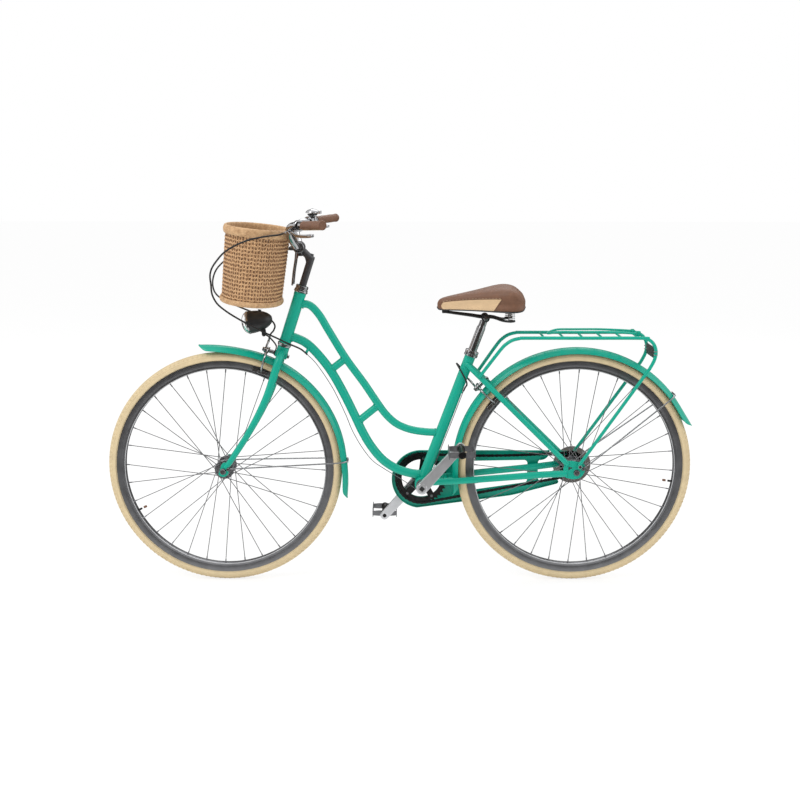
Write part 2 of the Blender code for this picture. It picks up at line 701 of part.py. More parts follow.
def cable_stops(lower):
    """Small bosses on the lower and seat tubes that the rear brake cable lies against."""
    stops = []
    for i, (foot, reach) in enumerate(((at_share(lower, CABLE_STOP_SHARE), CABLE_STOP_REACH),
                                       (seat(CABLE_STOP_ALONG), SEAT_CABLE_STOP_REACH))):
        reach = Vector(reach)
        tip = foot + reach - reach.normalized() * (CABLE_RADIUS + GAP)
        stops.append(rod("cable_stop_%d" % i, foot, tip, 0.004, "green_paint", 6))
    return stops


# Wheels

def wheel(tag, centre, hub_end, flange_y, valve_angle):
    """Tyre, inner tube with valve, rim, and hub laced with its spokes."""
    middle = TYRE_RADIUS - TYRE_SECTION
    over_rim = RIM_RADIUS + 2 * GAP
    well = RIM_RADIUS - RIM_WELL
    seat_y = RIM_HALF_WIDTH - RIM_WALL - GAP
    low = asin((over_rim - middle) / TYRE_SECTION)
    outer_turns = [low + (pi - 2 * low) * i / 4 for i in range(5)]
    inner_turns = [radians(155 - 65 * i) for i in range(3)]
    inner = TYRE_SECTION - TYRE_WALL
    bead = [(over_rim, seat_y), (well + 0.002, seat_y - 0.001), (over_rim + 0.002, seat_y - 0.0029)]
    profile = [(middle + TYRE_SECTION * sin(t), TYRE_SECTION * cos(t)) for t in outer_turns]
    profile += [(radius, -y) for radius, y in bead]
    profile += [(middle + inner * sin(t), inner * cos(t)) for t in inner_turns]
    profile += bead[::-1]
    tyre = turned(tag + "_tyre", profile, centre, Y_AXIS, WHEEL_SEGMENTS, "cream_rubber")

    tube_middle = middle + inner - TUBE_SECTION - GAP
    turns = [2 * pi * i / 4 for i in range(4)]
    profile = [(tube_middle + TUBE_SECTION * cos(t), TUBE_SECTION * sin(t)) for t in turns]
    inner_tube = turned(tag + "_inner_tube", profile, centre, Y_AXIS, WHEEL_SEGMENTS, "black_plastic")
    valve_end = RIM_RADIUS - RIM_DEPTH - VALVE_SHOWN
    join(inner_tube, rod(tag + "_valve", around(centre, tube_middle, valve_angle),
                         around(centre, valve_end, valve_angle), VALVE_RADIUS, "black_plastic", 6))

    half, wall_y, foot = RIM_HALF_WIDTH, RIM_HALF_WIDTH - RIM_WALL, RIM_RADIUS - RIM_DEPTH
    profile = [(RIM_RADIUS, half), (RIM_RADIUS, wall_y), (well, wall_y), (well, -wall_y),
               (RIM_RADIUS, -wall_y), (RIM_RADIUS, -half), (foot, -0.8 * half), (foot, 0.8 * half)]
    rim = turned(tag + "_rim", profile, centre, Y_AXIS, WHEEL_SEGMENTS, "alloy")
    cut(rim, rod(tag + "_valve_hole", around(centre, middle, valve_angle),
                 around(centre, valve_end, valve_angle), bore(VALVE_RADIUS, 8), "alloy", 8))

    hub = hub_with_spokes(tag, centre, hub_end, flange_y)
    return [tyre, inner_tube, rim, hub]


def hub_with_spokes(tag, centre, hub_end, flange_y):
    """A hub shell and its laced spokes as one body."""
    hole, flange = bore(AXLE_RADIUS, 12), FLANGE_THICKNESS / 2
    half = [(HUB_END_RADIUS, hub_end), (HUB_END_RADIUS, flange_y + flange),
            (FLANGE_RADIUS, flange_y + flange), (FLANGE_RADIUS, flange_y - flange),
            (HUB_RADIUS, flange_y - flange)]
    profile = [(hole, hub_end)] + half
    profile += [(radius, -y) for radius, y in reversed(half)] + [(hole, -hub_end)]
    hub = turned(tag + "_hub_and_spokes", profile, centre, Y_AXIS, 10, "alloy")
    spokes = []
    end_radius = (RIM_RADIUS - RIM_DEPTH) * cos(pi / WHEEL_SEGMENTS) - GAP
    spacing = 2 * pi / SPOKE_COUNT
    for i in range(SPOKE_COUNT):
        side = 1 if i % 2 else -1
        lead = 1 if (i // 2) % 2 else -1
        angle = SPOKE_START + spacing * i
        lace = SPOKE_LACE_OFFSET * lead
        start = around(centre, SPOKE_HOLE_RADIUS, angle + lead * SPOKE_CROSS_ANGLE, side * flange_y + lace)
        end = around(centre, end_radius, angle, side * SPOKE_RIM_OFFSET + lace)
        spokes.append(tube("spoke", (start, end), SPOKE_RADIUS, "alloy", 3))
    return join(hub, gather(tag + "_spokes", spokes))


def axle(tag, centre, cones, dropout_y):
    """A wheel axle with its cones, and its nuts outside the dropouts."""
    nut = dropout_y + DROPOUT_THICKNESS + GAP
    end = nut + AXLE_NUT_WIDTH
    left, right = cones
    profile = [(0, -end), (AXLE_NUT_RADIUS, -end), (AXLE_NUT_RADIUS, -nut), (AXLE_RADIUS, -nut),
               (AXLE_RADIUS, GAP - dropout_y), (CONE_RADIUS, GAP - dropout_y), (CONE_RADIUS, -left),
               (AXLE_RADIUS, -left), (AXLE_RADIUS, right), (CONE_RADIUS, right),
               (CONE_RADIUS, dropout_y - GAP), (AXLE_RADIUS, dropout_y - GAP), (AXLE_RADIUS, nut),
               (AXLE_NUT_RADIUS, nut), (AXLE_NUT_RADIUS, end), (0, end)]
    return turned(tag + "_axle", profile, centre, Y_AXIS, 8, "dark_steel", phase=0.5)


def spoke_protector():
    """The clear disc between the sprocket and the spokes."""
    hole = bore(HUB_END_RADIUS, 12)
    profile = [(hole, 0), (PROTECTOR_RADIUS, 0), (PROTECTOR_RADIUS, PROTECTOR_THICKNESS),
               (hole, PROTECTOR_THICKNESS)]
    return turned("spoke_protector", profile, rear_axle + Y_AXIS * PROTECTOR_Y, Y_AXIS, 16,
                  "clear_plastic")


# Fork and headset

def fork():
    """Steerer, crown, two raked blades and the front dropouts."""
    crown_low = FORK_LENGTH - CUP_HEIGHT - GAP - CROWN_HEIGHT
    top = head_top + CUP_HEIGHT + 2 * GAP + LOCKNUT_HEIGHT - crown_low
    hole = bore(QUILL_RADIUS, 12)
    depth = top - QUILL_INSERT - 0.01
    profile = [(0, 0), (CROWN_RADIUS, 0), (CROWN_RADIUS, CROWN_HEIGHT), (STEERER_RADIUS, CROWN_HEIGHT),
               (STEERER_RADIUS, top), (hole, top), (hole, depth), (0, depth)]
    steerer = turned("fork", profile, steer(crown_low), steer_up, 12, "green_paint")
    parts = [rod("brake_boss", steer(BRAKE_PIVOT_ALONG, -CROWN_BOSS_BACK),
                 steer(BRAKE_PIVOT_ALONG, CROWN_BOSS_FRONT), CROWN_BOSS_RADIUS, "green_paint", 8)]
    for side, tag in SIDES:
        parts.append(blade(side, tag))
        plate_centre = front_axle + Y_AXIS * side * (FRONT_DROPOUT_Y + DROPOUT_THICKNESS / 2)
        half = Y_AXIS * DROPOUT_THICKNESS / 2
        parts.append(rod("front_dropout_" + tag, plate_centre - half, plate_centre + half,
                         FRONT_DROPOUT_RADIUS, "green_paint", 10))
    join(steerer, *parts)
    wide = Y_AXIS * 2 * FRONT_DROPOUT_Y
    return cut(steerer, rod("front_axle_hole", front_axle - wide, front_axle + wide,
                            bore(AXLE_RADIUS, 8), "green_paint", 8),
               rod("front_brake_hole", steer(BRAKE_PIVOT_ALONG, -0.03), steer(BRAKE_PIVOT_ALONG, 0.03),
                   bore(BRAKE_BOLT_RADIUS, 8), "green_paint", 8))


def blade(side, tag):
    """One fork blade: out of the crown, down, then forward along the rake."""
    crown = BRAKE_PIVOT_ALONG + 0.012
    foot_side = FRONT_DROPOUT_Y + DROPOUT_THICKNESS / 2
    path = [steer(crown, 0, side * 0.006), steer(crown - 0.004, 0, side * 0.020),
            steer(crown - 0.016, 0, side * 0.034), steer(crown - 0.036, 0, side * (BLADE_SPREAD - 0.001)),
            steer(crown - 0.062, 0, side * BLADE_SPREAD), steer(BLADE_BEND_START, 0, side * BLADE_SPREAD)]
    radii = [BLADE_RADIUS] * len(path)
    steps = 5
    for i in range(1, steps + 1):
        share = i / steps * 0.955
        ahead = FORK_RAKE * share ** 1.6
        out = BLADE_SPREAD + (foot_side - BLADE_SPREAD) * share
        path.append(steer(BLADE_BEND_START * (1 - share), ahead, side * out))
        radii.append(BLADE_RADIUS + (BLADE_TIP_RADIUS - BLADE_RADIUS) * share)
    return tube("blade_" + tag, path, radii, "green_paint", 8)


def headset():
    """Upper and lower cups on the head tube, and the locknut on the steerer."""
    hole = bore(STEERER_RADIUS, 12, RUNNING_GAP)
    ring = [(hole, 0), (CUP_RADIUS, 0), (CUP_RADIUS - 0.0015, CUP_HEIGHT - GAP), (hole, CUP_HEIGHT - GAP)]
    upper = turned("headset_upper_cup", ring, steer(head_top + GAP), steer_up, 12, "chrome")
    lower = turned("headset_lower_cup", ring, steer(FORK_LENGTH - GAP), -steer_up, 12, "chrome")
    ring = [(hole, 0), (CUP_RADIUS - 0.002, 0), (CUP_RADIUS - 0.002, LOCKNUT_HEIGHT), (hole, LOCKNUT_HEIGHT)]
    locknut = turned("headset_locknut", ring, steer(head_top + CUP_HEIGHT + 2 * GAP), steer_up, 12,
                     "chrome")
    return upper, lower, locknut


# Mudguards

def guard(name, centre, start, end, flares, steps, bosses):
    """A mudguard blade from one angle to another, with bosses that reach its bridges."""
    rings = []
    reach, turn, power = flares
    for i in range(steps + 1):
        angle = start + (end - start) * i / steps
        edge = min(abs(angle - start), abs(end - angle))
        flare = reach * max(0, 1 - edge / turn) ** power
        outer, inner = [], []
        for k in range(-2, 3):
            drop = GUARD_DEPTH * (0, 0.24, 1)[abs(k)]
            y = GUARD_HALF_WIDTH * (0, 0.58, 1)[abs(k)] * (1 if k > 0 else -1)
            radius = GUARD_RADIUS + flare - drop
            outer.append(around(centre, radius, angle, y))
            if abs(k) < 2:
                inner.append(around(centre, radius - GUARD_THICKNESS, angle,
                                    y * (1 - GUARD_THICKNESS / GUARD_HALF_WIDTH)))
        rings.append(outer + inner[::-1])
    blade_piece = loft(name, rings, "green_paint")
    return join(blade_piece, *bosses)


def guard_boss(name, centre, target, reach):
    """A boss from a mudguard's crown towards a bridge."""
    direction = (target - centre).normalized()
    start = centre + direction * (GUARD_RADIUS - 1.35 * GUARD_THICKNESS)
    return rod(name, start, centre + direction * reach, 0.004, "green_paint", 8)


def guard_stay(name, centre, foot, foot_y, angle):
    """A wire stay from one dropout over the mudguard to the other."""
    over = GUARD_RADIUS + GUARD_STAY_RADIUS + 2 * GAP
    half = [centre + Vector((foot[0], foot_y, foot[1])),
            around(centre, GUARD_RADIUS - 0.030, angle, GUARD_HALF_WIDTH + 0.0070),
            around(centre, GUARD_RADIUS - 0.014, angle, GUARD_HALF_WIDTH + 0.0045),
            around(centre, GUARD_RADIUS - 0.005, angle, GUARD_HALF_WIDTH + 0.0005),
            around(centre, over, angle, 0.016)]
    mirrored = [Vector((p.x, -p.y, p.z)) for p in reversed(half)]
    crown = around(centre, over, angle)
    beside = half[0] + around(Vector(), GUARD_STAY_FLAT, angle)
    path = [half[0], beside] + lean(smooth(half[1:] + [crown] + mirrored[:-1], 2), STAY_SLACK)
    path += [Vector((beside.x, -beside.y, beside.z)), mirrored[-1]]
    return tube(name, path, GUARD_STAY_RADIUS, "alloy", 5, across=Vector((cos(angle), 0, sin(angle))))


def mudguards():
    """Both mudguards with their wire stays."""
    crown = steer(BRAKE_PIVOT_ALONG)
    front_reach = (crown - front_axle).length - CROWN_BOSS_RADIUS - 4 * GAP
    bosses = [guard_boss("front_guard_boss", front_axle, crown, front_reach)]
    front = guard("front_mudguard", front_axle, FRONT_GUARD_START, FRONT_GUARD_END,
                  FRONT_FLARE, 15, bosses)
    foot_y = FRONT_DROPOUT_Y + DROPOUT_THICKNESS + GUARD_STAY_RADIUS + GAP
    front_stay = guard_stay("front_mudguard_stay", front_axle, (0.0160, 0.008), foot_y,
                            FRONT_STAY_ANGLE)
    bosses = []
    for tag, distance, angle in (("seat", BRIDGE_DISTANCE, SEAT_BRIDGE_ANGLE),
                                 ("chain", CHAIN_BRIDGE_DISTANCE, CHAIN_BRIDGE_ANGLE)):
        bosses.append(guard_boss(tag + "_guard_boss", rear_axle, around(rear_axle, 1, angle),
                                 distance - BRIDGE_RADIUS - GAP))
    rear = guard("rear_mudguard", rear_axle, REAR_GUARD_START, REAR_GUARD_END, REAR_FLARE, 22,
                 bosses)
    foot_y = REAR_DROPOUT_Y + DROPOUT_THICKNESS + GUARD_STAY_RADIUS + GAP
    rear_stay = guard_stay("rear_mudguard_stay", rear_axle, (0.0190, 0.0130), foot_y, REAR_STAY_ANGLE)
    return front, front_stay, rear, rear_stay


# Drive

def pitch_radius(teeth):
    """The radius of a chain's pins round a sprocket."""
    return CHAIN_PITCH / (2 * sin(pi / teeth))


def chain_loop():
    """Centres and directions along the chain's pins, as (point, outward normal) pairs."""
    big, small = pitch_radius(CHAINRING_TEETH), pitch_radius(SPROCKET_TEETH)
    line = rear_axle - bottom_bracket
    tilt = atan2(line.z, line.x)
    contact = acos((big - small) / line.length)
    loop = []
    for centre, radius, start, end, steps in (
            (bottom_bracket, big, tilt + contact, tilt - contact + 2 * pi, RING_ARC_STEPS),
            (rear_axle, small, tilt - contact, tilt + contact, SPROCKET_ARC_STEPS)):
        for i in range(steps + 1):
            angle = start + (end - start) * i / steps
            normal = Vector((cos(angle), 0, sin(angle)))
            loop.append((centre + normal * radius, normal))
    return loop


def wheel_under_chain(teeth, arc_steps, arc):
    """The largest plain disc that fits inside the chain's facets."""
    return (pitch_radius(teeth) - CHAIN_HALF_HEIGHT) * cos(arc / arc_steps / 2) - GAP


def chain():
    """The chain as one band round the chainring and the sprocket."""
    corners = ((-1, -1), (1, -1), (1, 1), (-1, 1))
    rings = [[point + normal * CHAIN_HALF_HEIGHT * a + Y_AXIS * (CHAIN_LINE + CHAIN_HALF_WIDTH * b)
              for a, b in corners] for point, normal in chain_loop()]
    return loft("chain", rings, "dark_steel", closed=True)


def ring_arc():
    """The turn of the chainring and of the sprocket that the chain wraps."""
    line = rear_axle - bottom_bracket
    contact = acos((pitch_radius(CHAINRING_TEETH) - pitch_radius(SPROCKET_TEETH)) / line.length)
    return 2 * pi - 2 * contact, 2 * contact


def rear_sprocket():
    """The sprocket and its freewheel boss."""
    outer = wheel_under_chain(SPROCKET_TEETH, SPROCKET_ARC_STEPS, ring_arc()[1])
    hole = bore(CONE_RADIUS, 16, RUNNING_GAP)
    low, high = CHAIN_LINE - RING_THICKNESS / 2, CHAIN_LINE + RING_THICKNESS / 2
    inner_end = REAR_HUB_END + GAP
    profile = [(hole, inner_end), (0.016, inner_end), (0.016, low), (outer, low), (outer, high),
               (0.016, high), (0.016, high + 0.005), (hole, high + 0.005)]
    return turned("rear_sprocket", profile, rear_axle, Y_AXIS, 16, "dark_steel")


def crank_arm(name, side):
    """One crank arm with its pedal axle."""
    angle = CRANK_ANGLE + (pi if side > 0 else 0)
    along = Vector((cos(angle), 0, sin(angle)))
    across = Vector((-sin(angle), 0, cos(angle)))
    boss = [(CRANK_BOSS_RADIUS * cos(t), CRANK_BOSS_RADIUS * sin(t))
            for t in (radians(100 + 32 * i) for i in range(6))]
    eye = [(CRANK_LENGTH + CRANK_EYE_RADIUS * cos(t), CRANK_EYE_RADIUS * sin(t))
           for t in (radians(-80 + 32 * i) for i in range(6))]
    centre = bottom_bracket + Y_AXIS * side * CRANK_Y
    arm = plate(name, boss + eye, centre, along, across, CRANK_THICKNESS, "alloy")
    pin = bottom_bracket + along * CRANK_LENGTH
    axle_end = side * (PEDAL_START_Y + PEDAL_WIDTH - 0.004)
    axle_rod = rod(name + "_pedal_axle", pin + Y_AXIS * side * (CRANK_Y - 0.004), pin + Y_AXIS * axle_end,
                   PEDAL_AXLE_RADIUS, "alloy", 8)
    return join(arm, axle_rod), pin


def spindle_hole(name):
    """The cutter for the spindle."""
    wide = Y_AXIS * 2 * CRANK_Y
    return rod(name, bottom_bracket - wide, bottom_bracket + wide, bore(SPINDLE_RADIUS, 12), "alloy", 12)


def crankset():
    """Cartridge, spindle, both cranks and the chainring with its spider."""
    outer = BB_BORE_RADIUS * cos(pi / 12) - GAP
    hole = bore(SPINDLE_RADIUS, 12, RUNNING_GAP)
    half = BB_SHELL_LENGTH / 2 + 0.002
    cartridge = turned("bottom_bracket_cartridge", [(hole, -half), (outer, -half), (outer, half),
                                                    (hole, half)], bottom_bracket, Y_AXIS, 12, "alloy")
    end = CRANK_Y + CRANK_THICKNESS / 2 - 0.001
    spindle = rod("crank_spindle", bottom_bracket - Y_AXIS * end, bottom_bracket + Y_AXIS * end,
                  SPINDLE_RADIUS, "dark_steel", 12)
    left, left_pin = crank_arm("crank_left", -1)
    cut(left, spindle_hole("left_spindle_hole"))
    right, right_pin = crank_arm("crank_right", 1)
    ring_outer = wheel_under_chain(CHAINRING_TEETH, RING_ARC_STEPS, ring_arc()[0])
    ring_inner = ring_outer - RING_WIDTH
    ring_centre = bottom_bracket + Y_AXIS * CHAIN_LINE
    low, high = -RING_THICKNESS / 2, RING_THICKNESS / 2
    ring = turned("chainring", [(ring_inner, low), (ring_outer, low), (ring_outer, high),
                                (ring_inner, high)], ring_centre, Y_AXIS, 20, "dark_steel")
    boss = rod("chainring_boss", ring_centre + Y_AXIS * low, bottom_bracket + Y_AXIS * CRANK_Y,
               CRANK_BOSS_RADIUS - 0.001, "dark_steel", 12)
    arms = []
    reach = ring_inner + 0.004
    for i in range(SPIDER_ARMS):
        angle = CRANK_ANGLE + pi + 2 * pi * i / SPIDER_ARMS
        along = Vector((cos(angle), 0, sin(angle)))
        across = Vector((-sin(angle), 0, cos(angle)))
        arms.append(block("spider_arm_%d" % i, ring_centre + along * reach / 2,
                          (reach, SPIDER_ARM_WIDTH, RING_THICKNESS * 0.8), along, across, "dark_steel"))
    join(right, boss, ring, *arms)
    cut(right, spindle_hole("right_spindle_hole"))
    return cartridge, [spindle, left, right], left_pin, right_pin


def pedal(side, tag, pin):
    """A cage pedal: barrel, two end plates and two tread plates."""
    start, end = side * PEDAL_START_Y, side * (PEDAL_START_Y + PEDAL_WIDTH)
    barrel = rod("pedal_" + tag, pin + Y_AXIS * start, pin + Y_AXIS * end, PEDAL_BARREL_RADIUS,
                 "dark_steel", 8)
    plates = []
    for i, y in enumerate((start + side * 0.004, end - side * 0.006)):
        plates.append(block("pedal_%s_end_%d" % (tag, i), pin + Y_AXIS * y,
                            (PEDAL_LENGTH, 0.014, PEDAL_PLATE), X_AXIS, Z_AXIS, "dark_steel"))
    for i, x in enumerate((-1, 1)):
        centre = pin + Vector((x * (PEDAL_LENGTH - PEDAL_PLATE) / 2, (start + end) / 2, 0))
        plates.append(block("pedal_%s_tread_%d" % (tag, i), centre,
                            (PEDAL_WIDTH - 0.006, PEDAL_HEIGHT, PEDAL_PLATE), Y_AXIS, Z_AXIS,
                            "dark_steel"))
    join(barrel, *plates)
    hole = rod("pedal_%s_hole" % tag, pin + Y_AXIS * side * 0.08, pin + Y_AXIS * (end - side * 0.002),
               bore(PEDAL_AXLE_RADIUS, 8), "dark_steel", 8)
    return cut(barrel, hole)


def inset(outline, amount):
    """Move each corner of a convex-ish outline inwards by an amount."""
    corners = [Vector((a, b)) for a, b in outline]
    result = []
    for i, corner in enumerate(corners):
        before = (corner - corners[i - 1]).normalized()
        after = (corners[(i + 1) % len(corners)] - corner).normalized()
        normal = Vector((-before.y - after.y, before.x + after.x)).normalized()
        stretch = amount / max(0.5, normal.dot(Vector((-before.y, before.x))))
        moved = corner + normal * stretch
        result.append((moved.x, moved.y))
    return result


def chain_guard():
    """A tray round the chain's outer side, open at the cranks and between its branches."""
    ring_centre = Vector((bottom_bracket.x, bottom_bracket.z - CHAIN_GUARD_DROP))
    arc = [(ring_centre.x + CHAIN_GUARD_RADIUS * cos(t), ring_centre.y + CHAIN_GUARD_RADIUS * sin(t))
           for t in (radians(92 + 16.5 * i) for i in range(11))]
    tail = [(rear_axle.x + dx, rear_axle.z + dz) for dx, dz in CHAIN_GUARD_TAIL]
    outline = arc + tail
    thickness = CHAIN_GUARD_FLANGE + CHAIN_GUARD_THICKNESS
    middle = CHAIN_GUARD_Y + CHAIN_GUARD_THICKNESS - thickness / 2
    tray = plate("chain_guard", outline, Y_AXIS * middle, X_AXIS, Z_AXIS, thickness, "green_paint")
    deep = CHAIN_GUARD_FLANGE + 0.01
    pocket = plate("guard_pocket", inset(outline, CHAIN_GUARD_THICKNESS),
                   Y_AXIS * (CHAIN_GUARD_Y - deep / 2), X_AXIS, Z_AXIS, deep, "green_paint")
    join(tray, pocket, operation="DIFFERENCE")
    window = plate("guard_window", [(rear_axle.x + dx, rear_axle.z + dz) for dx, dz in
                                    CHAIN_GUARD_WINDOW], Y_AXIS * CHAIN_GUARD_Y, X_AXIS, Z_AXIS,
                   0.03, "green_paint")
    opening_low = bottom_bracket + Y_AXIS * (CHAIN_GUARD_Y - 0.02)
    opening = rod("guard_opening", opening_low, opening_low + Y_AXIS * 0.04, CHAIN_GUARD_OPENING,
                  "green_paint", 24)
    stay_room = block("guard_stay_room", Vector((rear_axle.x - 0.072, CHAIN_GUARD_Y - 0.02,
                                                 rear_axle.z - 0.0195)),
                      (0.150, 0.056, 0.04), X_AXIS, Z_AXIS, "green_paint")
    join(tray, gather("chain_guard_cuts", [window, opening]), operation="DIFFERENCE")
    join(tray, stay_room, operation="DIFFERENCE")
    share, stay_y = CHAIN_STAY_SHAPE[GUARD_MOUNT]
    mount = chain_stay_start.lerp(chain_stay_foot, share)
    face = stay_y + CHAIN_STAY_HALF_WIDTH + GAP
    boss = rod("guard_boss", mount + Y_AXIS * face,
               mount + Y_AXIS * (CHAIN_GUARD_Y + CHAIN_GUARD_THICKNESS / 2), 0.006, "green_paint", 8)
    return join(tray, boss)


# Brakes

def caliper(tag, pivot, up, ahead, first_plane, boss_back, reach):
    """The pivot bolt and the two arms of a side-pull brake, whose pads lie a reach below it."""
    arms = []
    for side, name in SIDES:
        plane = first_plane + (BRAKE_ARM_THICKNESS + RUNNING_GAP) * (1 if side > 0 else 0)
        arms.append(brake_arm("%s_brake_arm_%s" % (tag, name), pivot, up, ahead, side, plane,
                              first_plane, reach))
    last = first_plane + 2 * BRAKE_ARM_THICKNESS + RUNNING_GAP
    nut, head, shaft, spacer = 0.006, 0.005, BRAKE_BOLT_RADIUS, 0.006
    spacer_start = BRAKE_SPACER_START[tag]
    profile = [(0, -boss_back - GAP - nut), (nut, -boss_back - GAP - nut), (nut, -boss_back - GAP),
               (shaft, -boss_back - GAP), (shaft, spacer_start), (spacer, spacer_start),
               (spacer, first_plane - GAP), (shaft, first_plane - GAP), (shaft, last + GAP),
               (nut, last + GAP), (nut, last + GAP + head), (0, last + GAP + head)]
    bolt = turned(tag + "_brake_bolt", profile, pivot, ahead, 6, "chrome")
    return bolt, arms


def brake_arm(name, pivot, up, ahead, side, plane, first_plane, reach):
    """One curved arm with its pad; the right arm has the upper horn."""
    def at(high, out, depth=0.0):
        return pivot + up * high + Y_AXIS * side * out + ahead * (plane + depth)
    half = BRAKE_ARM_THICKNESS / 2
    middle = half
    boss = turned(name, [(0, 0), (0.0085, 0), (0.0085, BRAKE_ARM_THICKNESS), (0, BRAKE_ARM_THICKNESS)],
                  at(0, 0), ahead, 8, "chrome")
    path = smooth([at(0, 0.002, middle), at(-0.003, 0.014, middle), at(-0.007, 0.027, middle),
                   at(-0.018, 0.0365, middle), at(0.030 - reach, 0.037, middle),
                   at(0.016 - reach, 0.0325, middle), at(0.001 - reach, 0.0225, middle)], 1)
    path = lean(path, ARM_SLACK)
    size = [(half - 0.0002, BRAKE_ARM_RADIUS)] * len(path)
    limb = tube(name + "_limb", path, size, "chrome", 6, across=ahead)
    out = RIM_HALF_WIDTH + BRAKE_PAD_CLEARANCE + BRAKE_PAD_WIDTH / 2
    pad_depth = first_plane + BRAKE_ARM_THICKNESS - plane
    pad = block(name + "_pad", at(-reach, out, pad_depth),
                (BRAKE_PAD_LENGTH, BRAKE_PAD_HEIGHT, BRAKE_PAD_WIDTH), ahead, up, "black_plastic")
    if side > 0:
        horn = [at(0, 0.002, middle), at(0.010, 0.013, middle), at(0.021, 0.027, middle)]
    else:
        horn = [at(0, -0.002, middle), at(0.002, -0.014, middle), at(0.002, -0.027, middle)]
    horn_piece = tube(name + "_horn", horn, [(half - 0.0002, 0.0035)] * 3, "chrome", 6, across=ahead)
    join(boss, limb, pad, horn_piece)
    hole = rod(name + "_hole", pivot + ahead * (plane - 0.01), pivot + ahead * (plane + 0.02),
               bore(BRAKE_BOLT_RADIUS, 6), "chrome", 6)
    return cut(boss, hole)


# Seat

def seat_parts():
    """Collar, post, saddle frame, springs and cushion."""
    top = SEAT_TUBE_LENGTH
    square = Vector((sin(SEAT_ANGLE), 0, -cos(SEAT_ANGLE)))
    lip = bore(SEAT_POST_RADIUS, 10)
    inner = bore(SEAT_TUBE_RADIUS, 10)
    profile = [(inner, GAP - COLLAR_HEIGHT), (COLLAR_RADIUS, GAP - COLLAR_HEIGHT),
               (COLLAR_RADIUS, 0.0025), (lip, 0.0025), (lip, 2 * GAP), (inner, 2 * GAP)]
    collar = turned("seat_post_collar", profile, seat(top), seat_up, 10, "chrome")
    ear_centre = seat(top - COLLAR_HEIGHT / 2, -COLLAR_RADIUS - 0.002)
    ear = block("collar_ear", ear_centre, (0.011, 0.010, 0.008), square, seat_up, "chrome")
    bolt = turned("collar_bolt", [(0, -0.019), (0.0055, -0.019), (0.0055, -0.014), (0.0025, -0.014),
                                  (0.0025, 0.014), (0.0055, 0.014), (0.0055, 0.018), (0, 0.018)],
                  ear_centre, square, 6, "chrome")
    join(collar, ear, bolt)

    post = rod("seat_post", seat(top - SEAT_POST_INSERT), seat(top + SEAT_POST_SHOWN), SEAT_POST_RADIUS,
               "chrome", 12)
    clamp = seat(top + SEAT_POST_SHOWN + CLAMP_RISE)
    wide = Y_AXIS * 0.03
    join(post, rod("post_cradle", clamp - wide, clamp + wide, bore(CLAMP_RADIUS, 12), "chrome", 12),
         operation="DIFFERENCE")
    saddle_frame = saddle_rails(clamp)
    springs = [saddle_spring(side, tag) for side, tag in SIDES]
    return collar, post, saddle_frame, springs, cushion(), clamp


def saddle_rails(clamp):
    """Clamp barrel, two rails, nose bracket and spring seats."""
    wide = Y_AXIS * CLAMP_HALF_WIDTH
    barrel = rod("saddle_frame", clamp - wide, clamp + wide, CLAMP_RADIUS, "black_plastic", 12)
    parts = [block("nose_bracket", (saddle_pivot_x - 0.009, 0, saddle_floor - GAP - 0.005),
                   (0.018, 0.026, 0.010), X_AXIS, Y_AXIS, "black_plastic")]
    seat_z = spring_foot - GAP
    for side, tag in SIDES:
        path = smooth([(saddle_pivot_x - 0.008, side * 0.008, saddle_floor - 0.007),
                       (saddle_pivot_x + 0.022, side * 0.011, saddle_floor - 0.011),
                       (clamp.x - 0.040, side * 0.017, clamp.z + 0.007),
                       (clamp.x - 0.014, side * RAIL_SPREAD, clamp.z + 0.003),
                       (clamp.x + 0.020, side * RAIL_SPREAD, clamp.z + 0.002),
                       (clamp.x + 0.050, side * 0.028, seat_z - 0.003),
                       (spring_x, side * SPRING_SPREAD, seat_z - 0.0036)], 1)
        parts.append(tube("rail_" + tag, path, RAIL_RADIUS, "black_plastic", 6))
        foot = Vector((spring_x, side * SPRING_SPREAD, 0))
        parts.append(rod("spring_seat_" + tag, foot + Z_AXIS * (seat_z - 0.005), foot + Z_AXIS * seat_z,
                         SPRING_RADIUS + SPRING_WIRE_RADIUS + 0.001, "black_plastic", 8))
    return join(barrel, *parts)


def saddle_spring(side, tag):
    """One coil spring between the saddle frame and the saddle."""
    low = spring_foot + SPRING_WIRE_RADIUS
    high = saddle_floor - GAP - SPRING_WIRE_RADIUS
    per_turn = 8
    count = SPRING_TURNS * per_turn
    points = []
    for i in range(count + 1):
        turn = 2 * pi * i / per_turn
        points.append(Vector((spring_x + SPRING_RADIUS * cos(turn),
                              side * (SPRING_SPREAD + SPRING_RADIUS * sin(turn)),
                              low + (high - low) * i / count)))
    gap = (high - low) / SPRING_TURNS - 2 * SPRING_WIRE_RADIUS
    measured = min((a - b).length for i, a in enumerate(points)
                   for b in points[i + per_turn - 2:i + per_turn + 3]) - 2 * SPRING_WIRE_RADIUS
    print("saddle_spring_%s: least gap to itself %.2f mm, by pitch %.2f mm" % (
        tag, measured * 1000, gap * 1000))
    return curve_tube("saddle_spring_" + tag, points, SPRING_WIRE_RADIUS, 0, "chrome")


def curve_tube(name, points, radius, resolution, finish_name):
    """A bevelled curve with filled ends along points."""
    data = bpy.data.curves.new(name, "CURVE")
    data.dimensions = "3D"
    data.bevel_depth = radius
    data.bevel_resolution = resolution
    data.use_fill_caps = True
    spline = data.splines.new("POLY")
    spline.points.add(len(points) - 1)
    for target, point in zip(spline.points, points):
        target.co = (*point, 1)
    data.materials.append(PAINTS[finish_name])
    piece = bpy.data.objects.new(name, data)
    bpy.context.scene.collection.objects.link(piece)
    return piece


